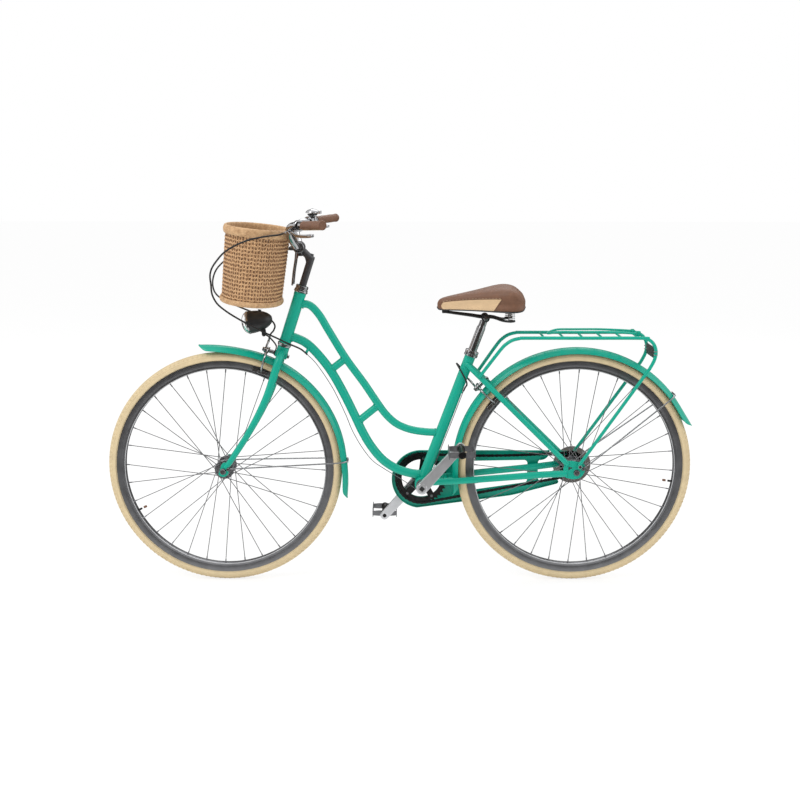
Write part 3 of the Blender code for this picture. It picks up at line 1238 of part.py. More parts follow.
def cushion():
    """The padded saddle top: crowned, with sides drawn in under the crown and a soft dip."""
    rings = []
    for x, half, low, high in SADDLE_STATIONS:
        height = high - low
        dip = 0.004 * min(1, half / 0.08)
        section = ((0.0, 0.0), (0.55, 0.0), (0.88, 0.0), (0.955, 0.10), (0.93, 0.34), (0.985, 0.58),
                   (0.94, 0.78), (0.76, 0.92), (0.50, 0.985), (0.22, 0.99))
        base = Vector((post_top.x + x, 0, saddle_floor + low))
        points = [base + Vector((0, half * a, height * b)) for a, b in section]
        crown = base + Z_AXIS * (height - dip)
        mirrored = [Vector((p.x, -p.y, p.z)) for p in reversed(points[1:])]
        rings.append(points + [crown] + mirrored)
    return loft("saddle_cushion", rings, "brown_leather")


# Stem, handlebar, grips, levers and bell

elbow = steer(head_top + STEM_RISE)
bar_centre = steer(head_top + STEM_RISE + STEM_ARM_LIFT, STEM_REACH)


def bar_point(offset, side):
    """A point of the handlebar from its offset to the clamp."""
    return bar_centre + Vector((offset[0], side * offset[1], offset[2]))


def straight(side, distance):
    """A point on the straight end of the bar, by its distance out from the grip's start."""
    start, end = bar_point(GRIP_START, side), bar_point(GRIP_END, side)
    return start + (end - start).normalized() * distance


def bar_axes(side):
    """Outward, forward and upward directions at the bar's straight end."""
    outward = (straight(side, 1) - straight(side, 0)).normalized()
    forward = Vector((-abs(outward.y), side * outward.x, 0)).normalized()
    upward = side * outward.cross(forward)
    return outward, forward, upward


def stem():
    """A quill stem with its clamp."""
    steerer_top = head_top + CUP_HEIGHT + 2 * GAP + LOCKNUT_HEIGHT
    quill = rod("stem", steer(steerer_top - QUILL_INSERT), steer(head_top + STEM_RISE + 0.009),
                QUILL_RADIUS, "alloy", 12)
    arm = rod("stem_arm", steer(head_top + STEM_RISE, -0.0085), bar_centre, STEM_ARM_RADIUS, "alloy", 8)
    wide = Y_AXIS * BAR_CLAMP_HALF_WIDTH
    clamp = rod("stem_clamp", bar_centre - wide, bar_centre + wide, BAR_CLAMP_RADIUS, "alloy", 12)
    join(quill, arm, clamp)
    return cut(quill, rod("stem_bore", bar_centre - 2 * wide, bar_centre + 2 * wide, bore(BAR_RADIUS, 12),
                          "alloy", 12))


def grip_length():
    """The length of bar inside a grip."""
    return (bar_point(GRIP_END, 1) - bar_point(GRIP_START, 1)).length


def handlebar():
    """The swept-back bar."""
    halves = []
    for side, _ in SIDES:
        knots = [bar_point(p, side) for p in BAR_SHAPE]
        curve = lean(smooth(knots + [straight(side, -BAR_STRAIGHT), straight(side, 0)], 2), BAR_SLACK)
        halves.append(curve[:-1] + [straight(side, grip_length())])
    left, right = halves
    return tube("handlebar", left[::-1] + right[1:], BAR_RADIUS, "chrome", 8, across=Z_AXIS)


def grip(side, tag):
    """A leather sleeve, closed at its outer end."""
    outward, _, _ = bar_axes(side)
    length = grip_length()
    hole = bore(BAR_RADIUS, 10)
    profile = [(0, length + GAP), (hole, length + GAP), (hole, 0), (GRIP_RADIUS, 0),
               (GRIP_RADIUS, length), (GRIP_RADIUS - 0.002, length + GRIP_WALL_END),
               (0, length + GRIP_WALL_END)]
    return turned("grip_" + tag, profile, straight(side, GAP), outward, 10, "brown_leather")


def lever_axis(side):
    """The direction of a brake lever's pivot; a positive turn closes the lever."""
    outward, forward, upward = bar_axes(side)
    closing = (upward * LEVER_BELOW - forward * LEVER_AHEAD).normalized()
    return outward.cross(closing).normalized()


def lever_pivot(side):
    """The centre of a brake lever's pin."""
    _, forward, upward = bar_axes(side)
    return straight(side, -PERCH_INBOARD) + forward * LEVER_PIVOT_AHEAD - upward * LEVER_PIVOT_BELOW


def brake_perch(side, tag):
    """The clamp, fork, pin and cable barrel that carry a brake lever."""
    outward, forward, upward = bar_axes(side)
    centre, pivot, axis = straight(side, -PERCH_INBOARD), lever_pivot(side), lever_axis(side)
    ring = rod("brake_perch_" + tag, centre - outward * PERCH_HALF_LENGTH,
               centre + outward * PERCH_HALF_LENGTH, PERCH_RADIUS, "chrome", 12)
    reach = pivot - centre
    along = reach.normalized()
    across = axis.cross(along).normalized()
    nose = block("perch_nose_" + tag, centre + along * (reach.length + 0.008) / 2,
                 (reach.length - 0.008, 0.009, 0.0160), along, across, "chrome")
    ears = rod("perch_ears_" + tag, pivot - axis * 0.008, pivot + axis * 0.008, 0.0062, "chrome", 10)
    barrel_start = centre + forward * 0.019 - upward * 0.010
    barrel_end = barrel_start - outward * 0.026 + forward * 0.006 - upward * 0.006
    barrel = rod("perch_barrel_" + tag, barrel_start, barrel_end, 0.0042, "chrome", 8)
    join(ring, nose, ears, barrel)
    slot = rod("perch_slot_" + tag, pivot - axis * (LEVER_BOSS_HALF_HEIGHT + GAP),
               pivot + axis * (LEVER_BOSS_HALF_HEIGHT + GAP), 0.0095, "chrome", 12)
    hole = rod("perch_bore_" + tag, centre - outward * 0.03, centre + outward * 0.03,
               bore(BAR_RADIUS, 12, RUNNING_GAP), "chrome", 12)
    cut(ring, slot, hole)
    return join(ring, rod("perch_pin_" + tag, pivot - axis * 0.007, pivot + axis * 0.007,
                          LEVER_PIN_RADIUS, "chrome", 6))


def brake_lever(side, tag):
    """A lever blade with its ball end."""
    outward, forward, upward = bar_axes(side)
    pivot, axis = lever_pivot(side), lever_axis(side)
    away = (forward * LEVER_AHEAD - upward * LEVER_BELOW).normalized()
    ball = straight(side, grip_length() - 0.002) + forward * LEVER_AHEAD - upward * LEVER_BELOW
    boss = rod("brake_lever_" + tag, pivot - axis * LEVER_BOSS_HALF_HEIGHT,
               pivot + axis * LEVER_BOSS_HALF_HEIGHT, LEVER_BOSS_RADIUS, "chrome", 8)
    knots = [pivot, pivot + outward * 0.020 + away * 0.003, pivot.lerp(ball, 0.40) + away * 0.009,
             pivot.lerp(ball, 0.75) + away * 0.006, ball]
    curve = smooth(knots, 2)
    blade_piece = tube("lever_blade_" + tag, curve, [(0.0036, 0.0030)] * 2 + [(0.0055, 0.0028)] *
                       (len(curve) - 2), "chrome", 6, across=axis)
    ring = [(0, -LEVER_BALL_RADIUS)] + [(LEVER_BALL_RADIUS * cos(t), LEVER_BALL_RADIUS * sin(t))
                                        for t in (radians(a) for a in (-50, 0, 50))]
    end = turned("lever_ball_" + tag, ring + [(0, LEVER_BALL_RADIUS)], ball, outward, 6, "chrome")
    join(boss, blade_piece, end)
    return cut(boss, rod("lever_hole_" + tag, pivot - axis * 0.012, pivot + axis * 0.012,
                         bore(LEVER_PIN_RADIUS, 6), "chrome", 6))


def bell():
    """A bell on the right end of the bar, with its striker lever."""
    outward, forward, upward = bar_axes(1)
    centre = straight(1, -BELL_INBOARD)
    ring = rod("bell", centre - outward * 0.006, centre + outward * 0.006, 0.0145, "chrome", 12)
    post = rod("bell_post", centre + upward * 0.010,
               centre + upward * (BELL_RIM_HEIGHT + BELL_DOME_HEIGHT - 0.001), 0.004, "chrome", 8)
    base = rod("bell_base", centre + upward * BELL_BASE_HEIGHT, centre + upward * (BELL_BASE_HEIGHT + 0.002),
               BELL_BASE_RADIUS, "chrome", 12)
    outer = [(BELL_RADIUS * cos(t), BELL_RIM_HEIGHT + BELL_DOME_HEIGHT * sin(t))
             for t in (radians(a) for a in (0, 34, 68))]
    inner = [((BELL_RADIUS - BELL_SHELL) * cos(t),
              BELL_RIM_HEIGHT + (BELL_DOME_HEIGHT - BELL_SHELL) * sin(t))
             for t in (radians(a) for a in (68, 34, 0))]
    profile = [(0, BELL_RIM_HEIGHT + BELL_DOME_HEIGHT)] + outer[::-1] + inner[::-1]
    profile.append((0, BELL_RIM_HEIGHT + BELL_DOME_HEIGHT - BELL_SHELL))
    dome = turned("bell_dome", profile, centre, upward, 12, "chrome")
    pivot = centre - forward * 0.0105
    pin_low = centre + upward * (BELL_BASE_HEIGHT + 0.001) - forward * 0.0105
    pin = rod("bell_pin", pin_low, pin_low + upward * 0.0032, 0.0013, "chrome", 6)
    join(ring, post, base, dome, pin)
    cut(ring, rod("bell_bore", centre - outward * 0.03, centre + outward * 0.03,
                  bore(BAR_RADIUS, 12, RUNNING_GAP), "chrome", 12))
    low = BELL_BASE_HEIGHT + 0.002 + GAP
    thick = BELL_RIM_HEIGHT - GAP - low
    level = pivot + upward * (low + thick / 2)
    striker = block("bell_striker", level - forward * 0.008, (0.022, 0.005, thick), forward, outward,
                    "chrome")
    tab = block("striker_tab", level - forward * 0.0185 + upward * 0.003, (0.0025, 0.010, 0.009),
                forward, outward, "chrome")
    join(striker, tab)
    cut(striker, rod("striker_hole", level - upward * 0.01, level + upward * 0.01, bore(0.0013, 6),
                     "chrome", 6))
    return ring, striker, pivot


# Basket and its bracket

basket_down = Vector((-sin(BASKET_TILT), 0, -cos(BASKET_TILT)))
basket_back = Vector((cos(BASKET_TILT), 0, -sin(BASKET_TILT)))
basket_top = bar_centre + Vector((-BASKET_REACH, 0, BASKET_RIM_RISE))


def in_basket(back, side, down):
    """A point by its distance back, right and down from the middle of the rim."""
    return basket_top + basket_back * back + Y_AXIS * side + basket_down * down


def basket_scale(down):
    """How far the basket has tapered at a depth."""
    return 1 - (1 - BASKET_FLOOR_SCALE) * down / BASKET_HEIGHT


def basket():
    """An open basket with rolled bands at the rim and the foot."""
    rings = []
    foot_band = 0.016
    levels = ((BASKET_HEIGHT, 0.001), (BASKET_HEIGHT - 0.003, BASKET_BAND),
              (BASKET_HEIGHT - foot_band, BASKET_BAND), (BASKET_HEIGHT - foot_band - 0.002, 0.0),
              (BASKET_BAND_HEIGHT + 0.002, 0.0), (BASKET_BAND_HEIGHT, BASKET_BAND),
              (0.004, BASKET_BAND), (0.0, 0.002), (0.0, -BASKET_WALL + 0.002),
              (BASKET_HEIGHT - 0.008, -BASKET_WALL))
    count = 24
    for down, grow in levels:
        depth = BASKET_HALF_DEPTH * basket_scale(down) + grow
        width = BASKET_HALF_WIDTH * basket_scale(down) + grow
        ring = []
        for k in range(count):
            t = 2 * pi * (k + 0.5) / count
            c, s = cos(t), sin(t)
            power = 2 / BASKET_SQUARENESS
            ring.append(in_basket(depth * abs(c) ** power * (1 if c > 0 else -1),
                                  width * abs(s) ** power * (1 if s > 0 else -1), down))
        rings.append(ring)
    return loft("basket", rings, "wicker")


def basket_bracket():
    """Two hooks round the handlebar, with the plate that the basket's back hangs on."""
    wall = BASKET_HALF_DEPTH * basket_scale(0.05) + GAP
    plate_back, hook_back = 0.1030, 0.1093
    base = block("basket_bracket", in_basket((wall + plate_back) / 2, 0, 0.052),
                 (plate_back - wall, 0.009, 2 * BRACKET_SPREAD + 0.006), basket_back, basket_down,
                 "chrome")
    parts = []
    for side, tag in SIDES:
        centre = bar_centre + Y_AXIS * side * BRACKET_SPREAD
        parts.append(rod("hook_" + tag, centre - Y_AXIS * 0.0035, centre + Y_AXIS * 0.0035,
                         BAR_RADIUS + 0.0045, "chrome", 10))
        reach = in_basket(plate_back, side * BRACKET_SPREAD, 0.052)
        parts.append(block("hook_arm_" + tag, reach, (2 * (hook_back - plate_back), 0.008, 0.005),
                           basket_back, basket_down, "chrome"))
        path = [centre + Vector(offset) for offset in BRACKET_TAIL]
        parts.append(tube("hanger_" + tag, path, BRACKET_ROD_RADIUS, "chrome", 5))
    join(base, *parts)
    return cut(base, rod("bracket_bore", bar_centre - Y_AXIS * 0.05, bar_centre + Y_AXIS * 0.05,
                         bore(BAR_RADIUS, 10, RUNNING_GAP), "chrome", 10))


# Headlight

def headlight():
    """Bracket with its pin, hollow housing with two ears, and lens."""
    knuckle = steer(LAMP_KNUCKLE_ALONG, LAMP_KNUCKLE_AHEAD)
    face = knuckle + Vector((-LAMP_FORWARD, 0, LAMP_RISE))
    forward = Vector((-cos(LAMP_DIP), 0, -sin(LAMP_DIP)))
    r, back = LAMP_RADIUS, LAMP_LENGTH
    profile = [(0, -back), (0.34 * r, -0.95 * back), (0.66 * r, -0.78 * back), (0.88 * r, -0.52 * back),
               (0.98 * r, -0.25 * back), (r, 0), (r - LAMP_SHELL, 0), (0.81 * r, -0.50 * back),
               (0, -0.93 * back)]
    housing = turned("headlight_housing", profile, face, forward, 12, "black_plastic")
    to_lamp = face - forward * 0.039 - knuckle
    ear_axis = to_lamp.normalized()
    ear_across = Y_AXIS.cross(ear_axis)
    ears = []
    ear_length = to_lamp.length - 0.79 * r
    for side, tag in SIDES:
        y = side * 0.0083
        ears.append(rod("lamp_ear_" + tag, knuckle + Y_AXIS * (y - 0.0014), knuckle + Y_AXIS * (y + 0.0014),
                        0.0062, "black_plastic", 8))
        ears.append(block("lamp_web_" + tag, knuckle + ear_axis * ear_length / 2 + Y_AXIS * y,
                          (ear_length, 0.011, 0.0028), ear_axis, ear_across, "black_plastic"))
    join(housing, *ears)
    cut(housing, rod("lamp_pin_hole", knuckle - Y_AXIS * 0.02, knuckle + Y_AXIS * 0.02,
                     bore(LAMP_PIN_RADIUS, 6), "black_plastic", 6))

    depth = LAMP_LENS_LENGTH
    profile = [(0, depth), (0.62 * r, 0.90 * depth), (0.92 * r, 0.60 * depth), (r, GAP),
               (r - 0.003, GAP), (0.78 * r, 0.60 * depth), (0, 0.84 * depth)]
    lens = turned("headlight_lens", profile, face, forward, 12, "clear_lens")

    eye_start = CROWN_BOSS_FRONT + GAP
    bracket = turned("headlight_bracket", [(0, eye_start), (0.0085, eye_start), (0.0085, eye_start + 0.003),
                                           (0, eye_start + 0.003)], steer(BRAKE_PIVOT_ALONG), steer_ahead,
                     10, "black_plastic")
    strip_ahead = eye_start + 0.0018
    path = smooth([steer(BRAKE_PIVOT_ALONG + 0.005, strip_ahead),
                   steer(BRAKE_PIVOT_ALONG + 0.015, strip_ahead),
                   steer(BRAKE_PIVOT_ALONG + 0.023, strip_ahead + 0.004),
                   steer(BRAKE_PIVOT_ALONG + 0.033, strip_ahead + 0.018),
                   steer(LAMP_KNUCKLE_ALONG - 0.003, LAMP_KNUCKLE_AHEAD - 0.014),
                   steer(LAMP_KNUCKLE_ALONG, LAMP_KNUCKLE_AHEAD)], 2)
    path = lean(path, STAY_SLACK)
    strip = tube("lamp_strip", path, [flat_bar(0.0058, 0.0013)] * len(path), "black_plastic", 4)
    barrel = rod("lamp_barrel", knuckle - Y_AXIS * 0.0064, knuckle + Y_AXIS * 0.0064,
                 LAMP_KNUCKLE_RADIUS, "black_plastic", 8)
    pin = rod("lamp_pin", knuckle - Y_AXIS * 0.0115, knuckle + Y_AXIS * 0.0115, LAMP_PIN_RADIUS,
              "black_plastic", 6)
    join(bracket, strip, barrel, pin)
    cut(bracket, rod("lamp_eye_hole", steer(BRAKE_PIVOT_ALONG, 0.008), steer(BRAKE_PIVOT_ALONG, 0.03),
                     bore(BRAKE_BOLT_RADIUS, 8), "black_plastic", 8))
    return bracket, housing, lens, knuckle


# Carrier

def carrier():
    """Two bent rails, crossbars, the clip's lugs and the light bracket plate."""
    rails = [carrier_rail(side, tag) for side, tag in SIDES]
    first = rear_axle.x - CARRIER_BAR_AHEAD
    places = [first + CARRIER_BAR_STEP * i for i in range(CARRIER_BARS)]
    places.append(rear_axle.x + CLIP_HINGE_BEHIND)
    parts = [rod("carrier_bar_%d" % i, (x, -CARRIER_HALF_WIDTH, CARRIER_HEIGHT),
                 (x, CARRIER_HALF_WIDTH, CARRIER_HEIGHT), CARRIER_BAR_RADIUS, "green_paint", 5)
             for i, x in enumerate(places)]
    lug_y = CLIP_HALF_WIDTH + 0.008
    for side, tag in SIDES:
        parts.append(block("clip_lug_" + tag, (places[-1], side * lug_y, CARRIER_HEIGHT + 0.006),
                           (0.010, 0.014, LUG_THICKNESS), X_AXIS, Z_AXIS, "green_paint"))
    parts.append(block("light_plate", (rear_axle.x + CARRIER_PLATE_BEHIND, 0,
                                       CARRIER_HEIGHT - CARRIER_PLATE_BELOW),
                       (0.002, 2 * CARRIER_HALF_WIDTH, 0.032), X_AXIS, Y_AXIS, "alloy"))
    base = join(rails[0], rails[1], *parts)
    hinge = Vector((places[-1], 0, CARRIER_HEIGHT + CLIP_LIFT))
    return cut(base, rod("clip_hole", hinge - Y_AXIS * 0.05, hinge + Y_AXIS * 0.05,
                         bore(CLIP_ROD_RADIUS, 8), "green_paint", 8)), hinge


def carrier_rail(side, tag):
    """One rail, from the seat stay over the wheel and down to the dropout."""
    top = seat(SEAT_STAY_TOP, side * SEAT_STAY_TOP_Y)
    bridge = around(rear_axle, BRIDGE_DISTANCE, SEAT_BRIDGE_ANGLE, side * SEAT_STAY_BRIDGE_Y)
    foot = top.lerp(bridge, 0.64) + Y_AXIS * side * (1.2 * SEAT_STAY_RADIUS + CARRIER_TUBE_RADIUS + GAP)
    wide, high = side * CARRIER_HALF_WIDTH, CARRIER_HEIGHT
    tail = rear_axle + Vector((0.006, side * (REAR_DROPOUT_Y + DROPOUT_THICKNESS + CARRIER_TUBE_RADIUS
                                              + GAP), 0.024))
    bends = ((-0.231, 0.93, -0.0365), (-0.212, 0.96, -0.0165), (-0.196, 0.98, -0.0065),
             (-0.176, 1, -0.0012), (-0.156, 1, 0), (0.179, 1, 0), (0.195, 1, -0.004), (0.208, 1, -0.014),
             (0.216, 1, -0.029), (0.218, 1, -0.046), (0.2135, 1, -0.066), (0.2025, 1, -0.0885))
    path = [foot] + [Vector((rear_axle.x + x, wide * out, high + up)) for x, out, up in bends] + [tail]
    return tube("carrier" if side < 0 else "carrier_rail_right", path, CARRIER_TUBE_RADIUS,
                "green_paint", 6)


def carrier_clip(hinge):
    """The spring clip: a bent rod that turns in the carrier's lugs."""
    half = []
    for x, y, z in ((0.0, 0.0455, 0.0), (0.0, CLIP_HALF_WIDTH + 0.003, 0.0), (-0.003, CLIP_HALF_WIDTH, 0.0),
                    (-0.045, CLIP_HALF_WIDTH, 0.003), (-0.105, CLIP_HALF_WIDTH, 0.005),
                    (-0.180, 0.033, 0.002), (-0.225, 0.029, 0.0), (-0.247, 0.019, 0.0),
                    (-0.256, 0.007, 0.0)):
        half.append(hinge + Vector((x, y, z)))
    mirrored = [Vector((p.x, -p.y, p.z)) for p in reversed(half)]
    return tube("carrier_clip", half + mirrored, CLIP_ROD_RADIUS, "green_paint", 5, across=Z_AXIS)


# Cables

REAR_CABLE_ROUTE = (
    (-0.3091, -0.1645, 1.0541), (-0.3200, -0.1555, 1.0495), (-0.3330, -0.1535, 1.0460),
    (-0.3480, -0.161, 1.0443), (-0.3610, -0.176, 1.0433), (-0.3790, -0.194, 1.0410),
    (-0.4072, -0.207, 1.0350), (-0.4425, -0.207, 1.0211), (-0.4755, -0.200, 1.0016),
    (-0.4988, -0.188, 0.9782), (-0.5157, -0.173, 0.9560), (-0.5240, -0.157, 0.9339),
    (-0.5250, -0.140, 0.9074), (-0.5255, -0.123, 0.8790), (-0.5140, -0.107, 0.8505),
    (-0.4894, -0.093, 0.8264), (-0.4630, -0.079, 0.8066), (-0.4323, -0.066, 0.7866),
    (-0.3978, -0.054, 0.7664), (-0.3626, -0.043, 0.7481), (-0.3237, -0.034, 0.7275),
    (-0.2900, -0.026, 0.7110), (-0.2700, -0.0190, 0.6930), (-0.2420, -0.013, 0.6620),
    (-0.2030, -0.007, 0.6010), (-0.1800, -0.006, 0.5560), (-0.1590, -0.006, 0.5090),
    (-0.1410, -0.006, 0.4640), (-0.1150, -0.006, 0.4160), (-0.0820, -0.006, 0.3720),
    (-0.0450, -0.006, 0.3450), (-0.0080, -0.006, 0.3220), (0.0250, -0.006, 0.3000),
    (0.0439, -0.006, 0.2870), (0.0533, -0.006, 0.2790), (0.0660, -0.006, 0.2765),
    (0.0788, -0.006, 0.2800), (0.0885, -0.007, 0.2900), (0.0925, -0.008, 0.3040),
    (0.1032, -0.0105, 0.3532), (0.1518, -0.0105, 0.4845), (0.1882, -0.0115, 0.5830),
    (0.1975, -0.021, 0.6060), (0.1870, -0.026, 0.6320),
    (0.1720, -0.019, 0.6580), (0.1680, 0.000, 0.6640), (0.1760, 0.020, 0.6540),
    (0.1860, 0.0265, 0.6390), (0.1940, 0.0265, 0.6240), (0.2105, 0.0262, 0.6068))
FRONT_CABLE_ROUTE = (
    (-0.3091, 0.1645, 1.0541), (-0.3200, 0.1555, 1.0495), (-0.3330, 0.1535, 1.0460),
    (-0.3480, 0.161, 1.0443), (-0.3610, 0.176, 1.0433), (-0.3790, 0.194, 1.0410),
    (-0.4100, 0.209, 1.0330), (-0.4500, 0.210, 1.0150), (-0.4900, 0.203, 0.9880),
    (-0.5260, 0.188, 0.9600), (-0.5560, 0.165, 0.9300), (-0.5660, 0.140, 0.8980),
    (-0.5600, 0.117, 0.8680), (-0.5400, 0.100, 0.8480), (-0.5050, 0.086, 0.8320),
    (-0.4600, 0.073, 0.8150), (-0.4200, 0.062, 0.8010), (-0.3850, 0.050, 0.7880),
    (-0.3700, 0.040, 0.7720), (-0.3730, 0.032, 0.7570), (-0.3812, 0.0262, 0.7470),
    (-0.3873, 0.0262, 0.7285))


def cable(name, route):
    """A housed cable through the points of its route."""
    points = lean([Vector(point) for point in route], CABLE_SLACK)
    return curve_tube(name, points, CABLE_RADIUS, 1, "black_plastic")


# Assembly

def assemble():
    """Build every piece and hang the moving ones on their joints' axes."""
    frame_piece = frame()
    upper_cup, lower_cup, locknut = headset()
    fork_piece = fork()
    front_guard, front_stay, rear_guard, rear_stay = mudguards()
    cartridge, crank_pieces, left_pin, right_pin = crankset()
    carrier_piece, clip_hinge = carrier()
    collar, post, saddle_frame, springs, cushion_piece, clamp = seat_parts()
    front_bolt, front_arms = caliper("front", steer(BRAKE_PIVOT_ALONG), steer_up, steer_ahead,
                                     BRAKE_FRONT_OFFSET, CROWN_BOSS_BACK,
                                     BRAKE_PIVOT_ALONG - BRAKE_PAD_RADIUS)
    rear_pivot = around(rear_axle, BRIDGE_DISTANCE, SEAT_BRIDGE_ANGLE)
    rear_up = Vector((cos(SEAT_BRIDGE_ANGLE), 0, sin(SEAT_BRIDGE_ANGLE)))
    rear_bolt, rear_arms = caliper("rear", rear_pivot, rear_up, rear_brake_ahead,
                                   REAR_BRAKE_FIRST_PLANE, BRIDGE_RADIUS,
                                   BRIDGE_DISTANCE - BRAKE_PAD_RADIUS)
    bracket, housing, lens, knuckle = headlight()
    bell_piece, striker, striker_pivot = bell()

    steering = body("steering", steer(FORK_LENGTH))
    carry(steering, fork_piece, locknut, front_guard, front_stay, front_bolt, bracket, stem(),
          handlebar(), bell_piece, basket(), basket_bracket(),
          axle("front", front_axle, (FRONT_HUB_END + GAP, FRONT_HUB_END + GAP), FRONT_DROPOUT_Y),
          cable("front_brake_cable", FRONT_CABLE_ROUTE))
    carry(body("headlight", knuckle), housing, lens)
    carry(body("bell_striker_pivot", striker_pivot), striker)
    carry(body("front_wheel", front_axle), *wheel("front", front_axle, FRONT_HUB_END, FRONT_FLANGE_Y,
                                                  FRONT_VALVE_ANGLE))
    carry(body("rear_wheel", rear_axle), spoke_protector(),
          *wheel("rear", rear_axle, REAR_HUB_END, REAR_FLANGE_Y, REAR_VALVE_ANGLE))
    carry(body("sprocket", rear_axle), rear_sprocket())
    carry(body("cranks", bottom_bracket), *crank_pieces)
    for (side, tag), pin in zip(SIDES, (left_pin, right_pin)):
        carry(body("pedal_pivot_" + tag, pin), pedal(side, tag, pin))
        carry(steering, grip(side, tag), brake_perch(side, tag))
        carry(body("lever_pivot_" + tag, lever_pivot(side)), brake_lever(side, tag))
    for arm in front_arms:
        carry(body(arm.name + "_pivot", steer(BRAKE_PIVOT_ALONG)), arm)
    for arm in rear_arms:
        carry(body(arm.name + "_pivot", rear_pivot), arm)
    carry(body("seat_height", seat(SEAT_TUBE_LENGTH)), post)
    carry(body("saddle_tilt", clamp), saddle_frame, *springs)
    carry(body("saddle_flex", Vector((saddle_pivot_x, 0, saddle_floor))), cushion_piece)
    carry(body("clip_hinge", clip_hinge), carrier_clip(clip_hinge))
    carry(body("frame_origin", Vector((0, 0, 0))), frame_piece, upper_cup, lower_cup, rear_guard,
          rear_stay, cartridge, carrier_piece, collar, rear_bolt, chain_guard(), chain(),
          axle("rear", rear_axle, (REAR_HUB_END + GAP, REAR_HUB_END + GAP), REAR_DROPOUT_Y),
          cable("rear_brake_cable", REAR_CABLE_ROUTE))


assemble()
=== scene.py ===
"""Looks of the step-through city bicycle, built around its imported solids.

Metres, +Z up. The front points along -X, the drive side is +Y, and the origin is on the ground
halfway between the axles. Each piece stands for one or more nodes and rides on their body.
"""
import json
from math import acos, atan2, cos, pi, radians, sin

import bpy
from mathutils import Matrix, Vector

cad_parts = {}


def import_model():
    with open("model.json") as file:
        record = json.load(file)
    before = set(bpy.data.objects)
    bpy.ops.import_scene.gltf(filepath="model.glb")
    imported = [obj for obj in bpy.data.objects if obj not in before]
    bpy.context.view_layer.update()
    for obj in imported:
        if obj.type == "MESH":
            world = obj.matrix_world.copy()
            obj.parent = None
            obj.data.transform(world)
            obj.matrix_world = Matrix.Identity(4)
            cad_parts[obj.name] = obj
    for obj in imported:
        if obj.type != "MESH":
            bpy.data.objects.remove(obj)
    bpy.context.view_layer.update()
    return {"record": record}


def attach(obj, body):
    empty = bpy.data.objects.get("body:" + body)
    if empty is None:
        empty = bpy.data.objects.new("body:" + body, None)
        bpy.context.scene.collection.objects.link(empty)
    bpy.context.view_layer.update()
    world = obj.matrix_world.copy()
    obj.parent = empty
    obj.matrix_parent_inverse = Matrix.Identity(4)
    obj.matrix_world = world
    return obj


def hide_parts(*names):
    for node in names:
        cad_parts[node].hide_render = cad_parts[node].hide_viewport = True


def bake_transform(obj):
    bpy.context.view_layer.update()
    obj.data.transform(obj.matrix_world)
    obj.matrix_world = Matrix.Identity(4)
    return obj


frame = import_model()
BODY_OF = {node: body for body, nodes in frame["record"]["behaviour"]["bodies"].items() for node in nodes}

X_AXIS = Vector((1, 0, 0))
Y_AXIS = Vector((0, 1, 0))
Z_AXIS = Vector((0, 0, 1))
SIDES = ((-1, "left"), (1, "right"))
# Room between neighbouring pieces, and between a bore and what runs in it
GAP = 0.0003
BORE_ROOM = 0.0006

# Camera of the photograph
CAMERA_LENS = 50.8
CAMERA_PLACE = (0.0054, -3.2841, 1.1949)
CAMERA_TURN = (radians(78.96), -0.0005, 0.0014)

# Studio: the floor's white and its share of glow, and the background's strength as a light
FLOOR_REACH = 30
FLOOR_WHITE = 0.97
FLOOR_GLOW = 0.78
WORLD_LIGHT = 0.95
CARD_HALF_WIDTH = 4.2
CARD_COLOUR = (0.055, 0.048, 0.042)
# Each card's name and its two edges, as pairs of Y and Z
CARDS = (("dark_card_front", (-4.4, 0.1), (-4.4, 3.7)), ("dark_card_front_floor", (-0.8, 0.004), (-4.4, 0.1)),
         ("dark_card_back", (4.4, 0.1), (4.4, 3.7)), ("dark_card_back_floor", (0.8, 0.004), (4.4, 0.1)))
# Each lamp's name, its place, the point it faces, its side and its power
LAMPS = (("key", (-2.4, -2.2, 4.2), (0, 0, 0.4), 2.6, 95), ("fill", (4.2, -1.2, 2.2), (0, 0, 0.5), 2.0, 22),
         ("rim", (0.5, 3.0, 3.8), (0, 0, 0.6), 3.0, 50))

# Wheels
WHEELBASE = 1.042
TYRE_RADIUS = 0.349
TYRE_SECTION = 0.019
RIM_RADIUS = 0.3265
RIM_LIP_RADIUS = 0.3055
RIM_FOOT_RADIUS = 0.2985
RIM_HALF_WIDTH = 0.0125
VALVE_RADIUS = 0.003
VALVE_ANGLES = {"front": radians(206.6), "rear": radians(-8.2)}
VALVE_END = 0.2715
SPOKE_COUNT = 32
SPOKE_RADIUS = 0.0012
SPOKE_CROSS_ANGLE = radians(67.5)
SPOKE_START = radians(20.8)
SPOKE_HOLE_RADIUS = 0.0222
SPOKE_LACE_OFFSET = 0.0013
LACE_AT_HUB = 2.2
SPOKE_RIM_OFFSET = 0.003
# A thin black disc on a flange's face, painted as the shade inside a spoke hole
SPOKE_HOLE_SHADE_PROFILE = ((0, 0), (0.0016, 0), (0.0016, 0.00012), (0, 0.00012))
NIPPLE_LENGTH = 0.013
NIPPLE_PROFILE = ((0, 0), (0.0014, 0), (0.0019, 0.0006), (0.0019, 0.0085), (0.0024, 0.0095),
                  (0.0024, NIPPLE_LENGTH), (0, NIPPLE_LENGTH))
FLANGE_RADIUS = 0.0285
FLANGE_HALF = 0.0024
HUB_RADIUS = 0.015
HUB_END_RADIUS = 0.0125
HUB_END = {"front": 0.0345, "rear": 0.0395}
FLANGE_Y = {"front": 0.030, "rear": 0.028}
AXLE_RADIUS = 0.005
CONE_RADIUS = 0.0085
AXLE_NUT_RADIUS = 0.0092
AXLE_NUT_WIDTH = 0.008
DROPOUT_THICKNESS = 0.005
FRONT_DROPOUT_Y = 0.050
REAR_DROPOUT_Y = 0.060
TREAD_BARS = 150
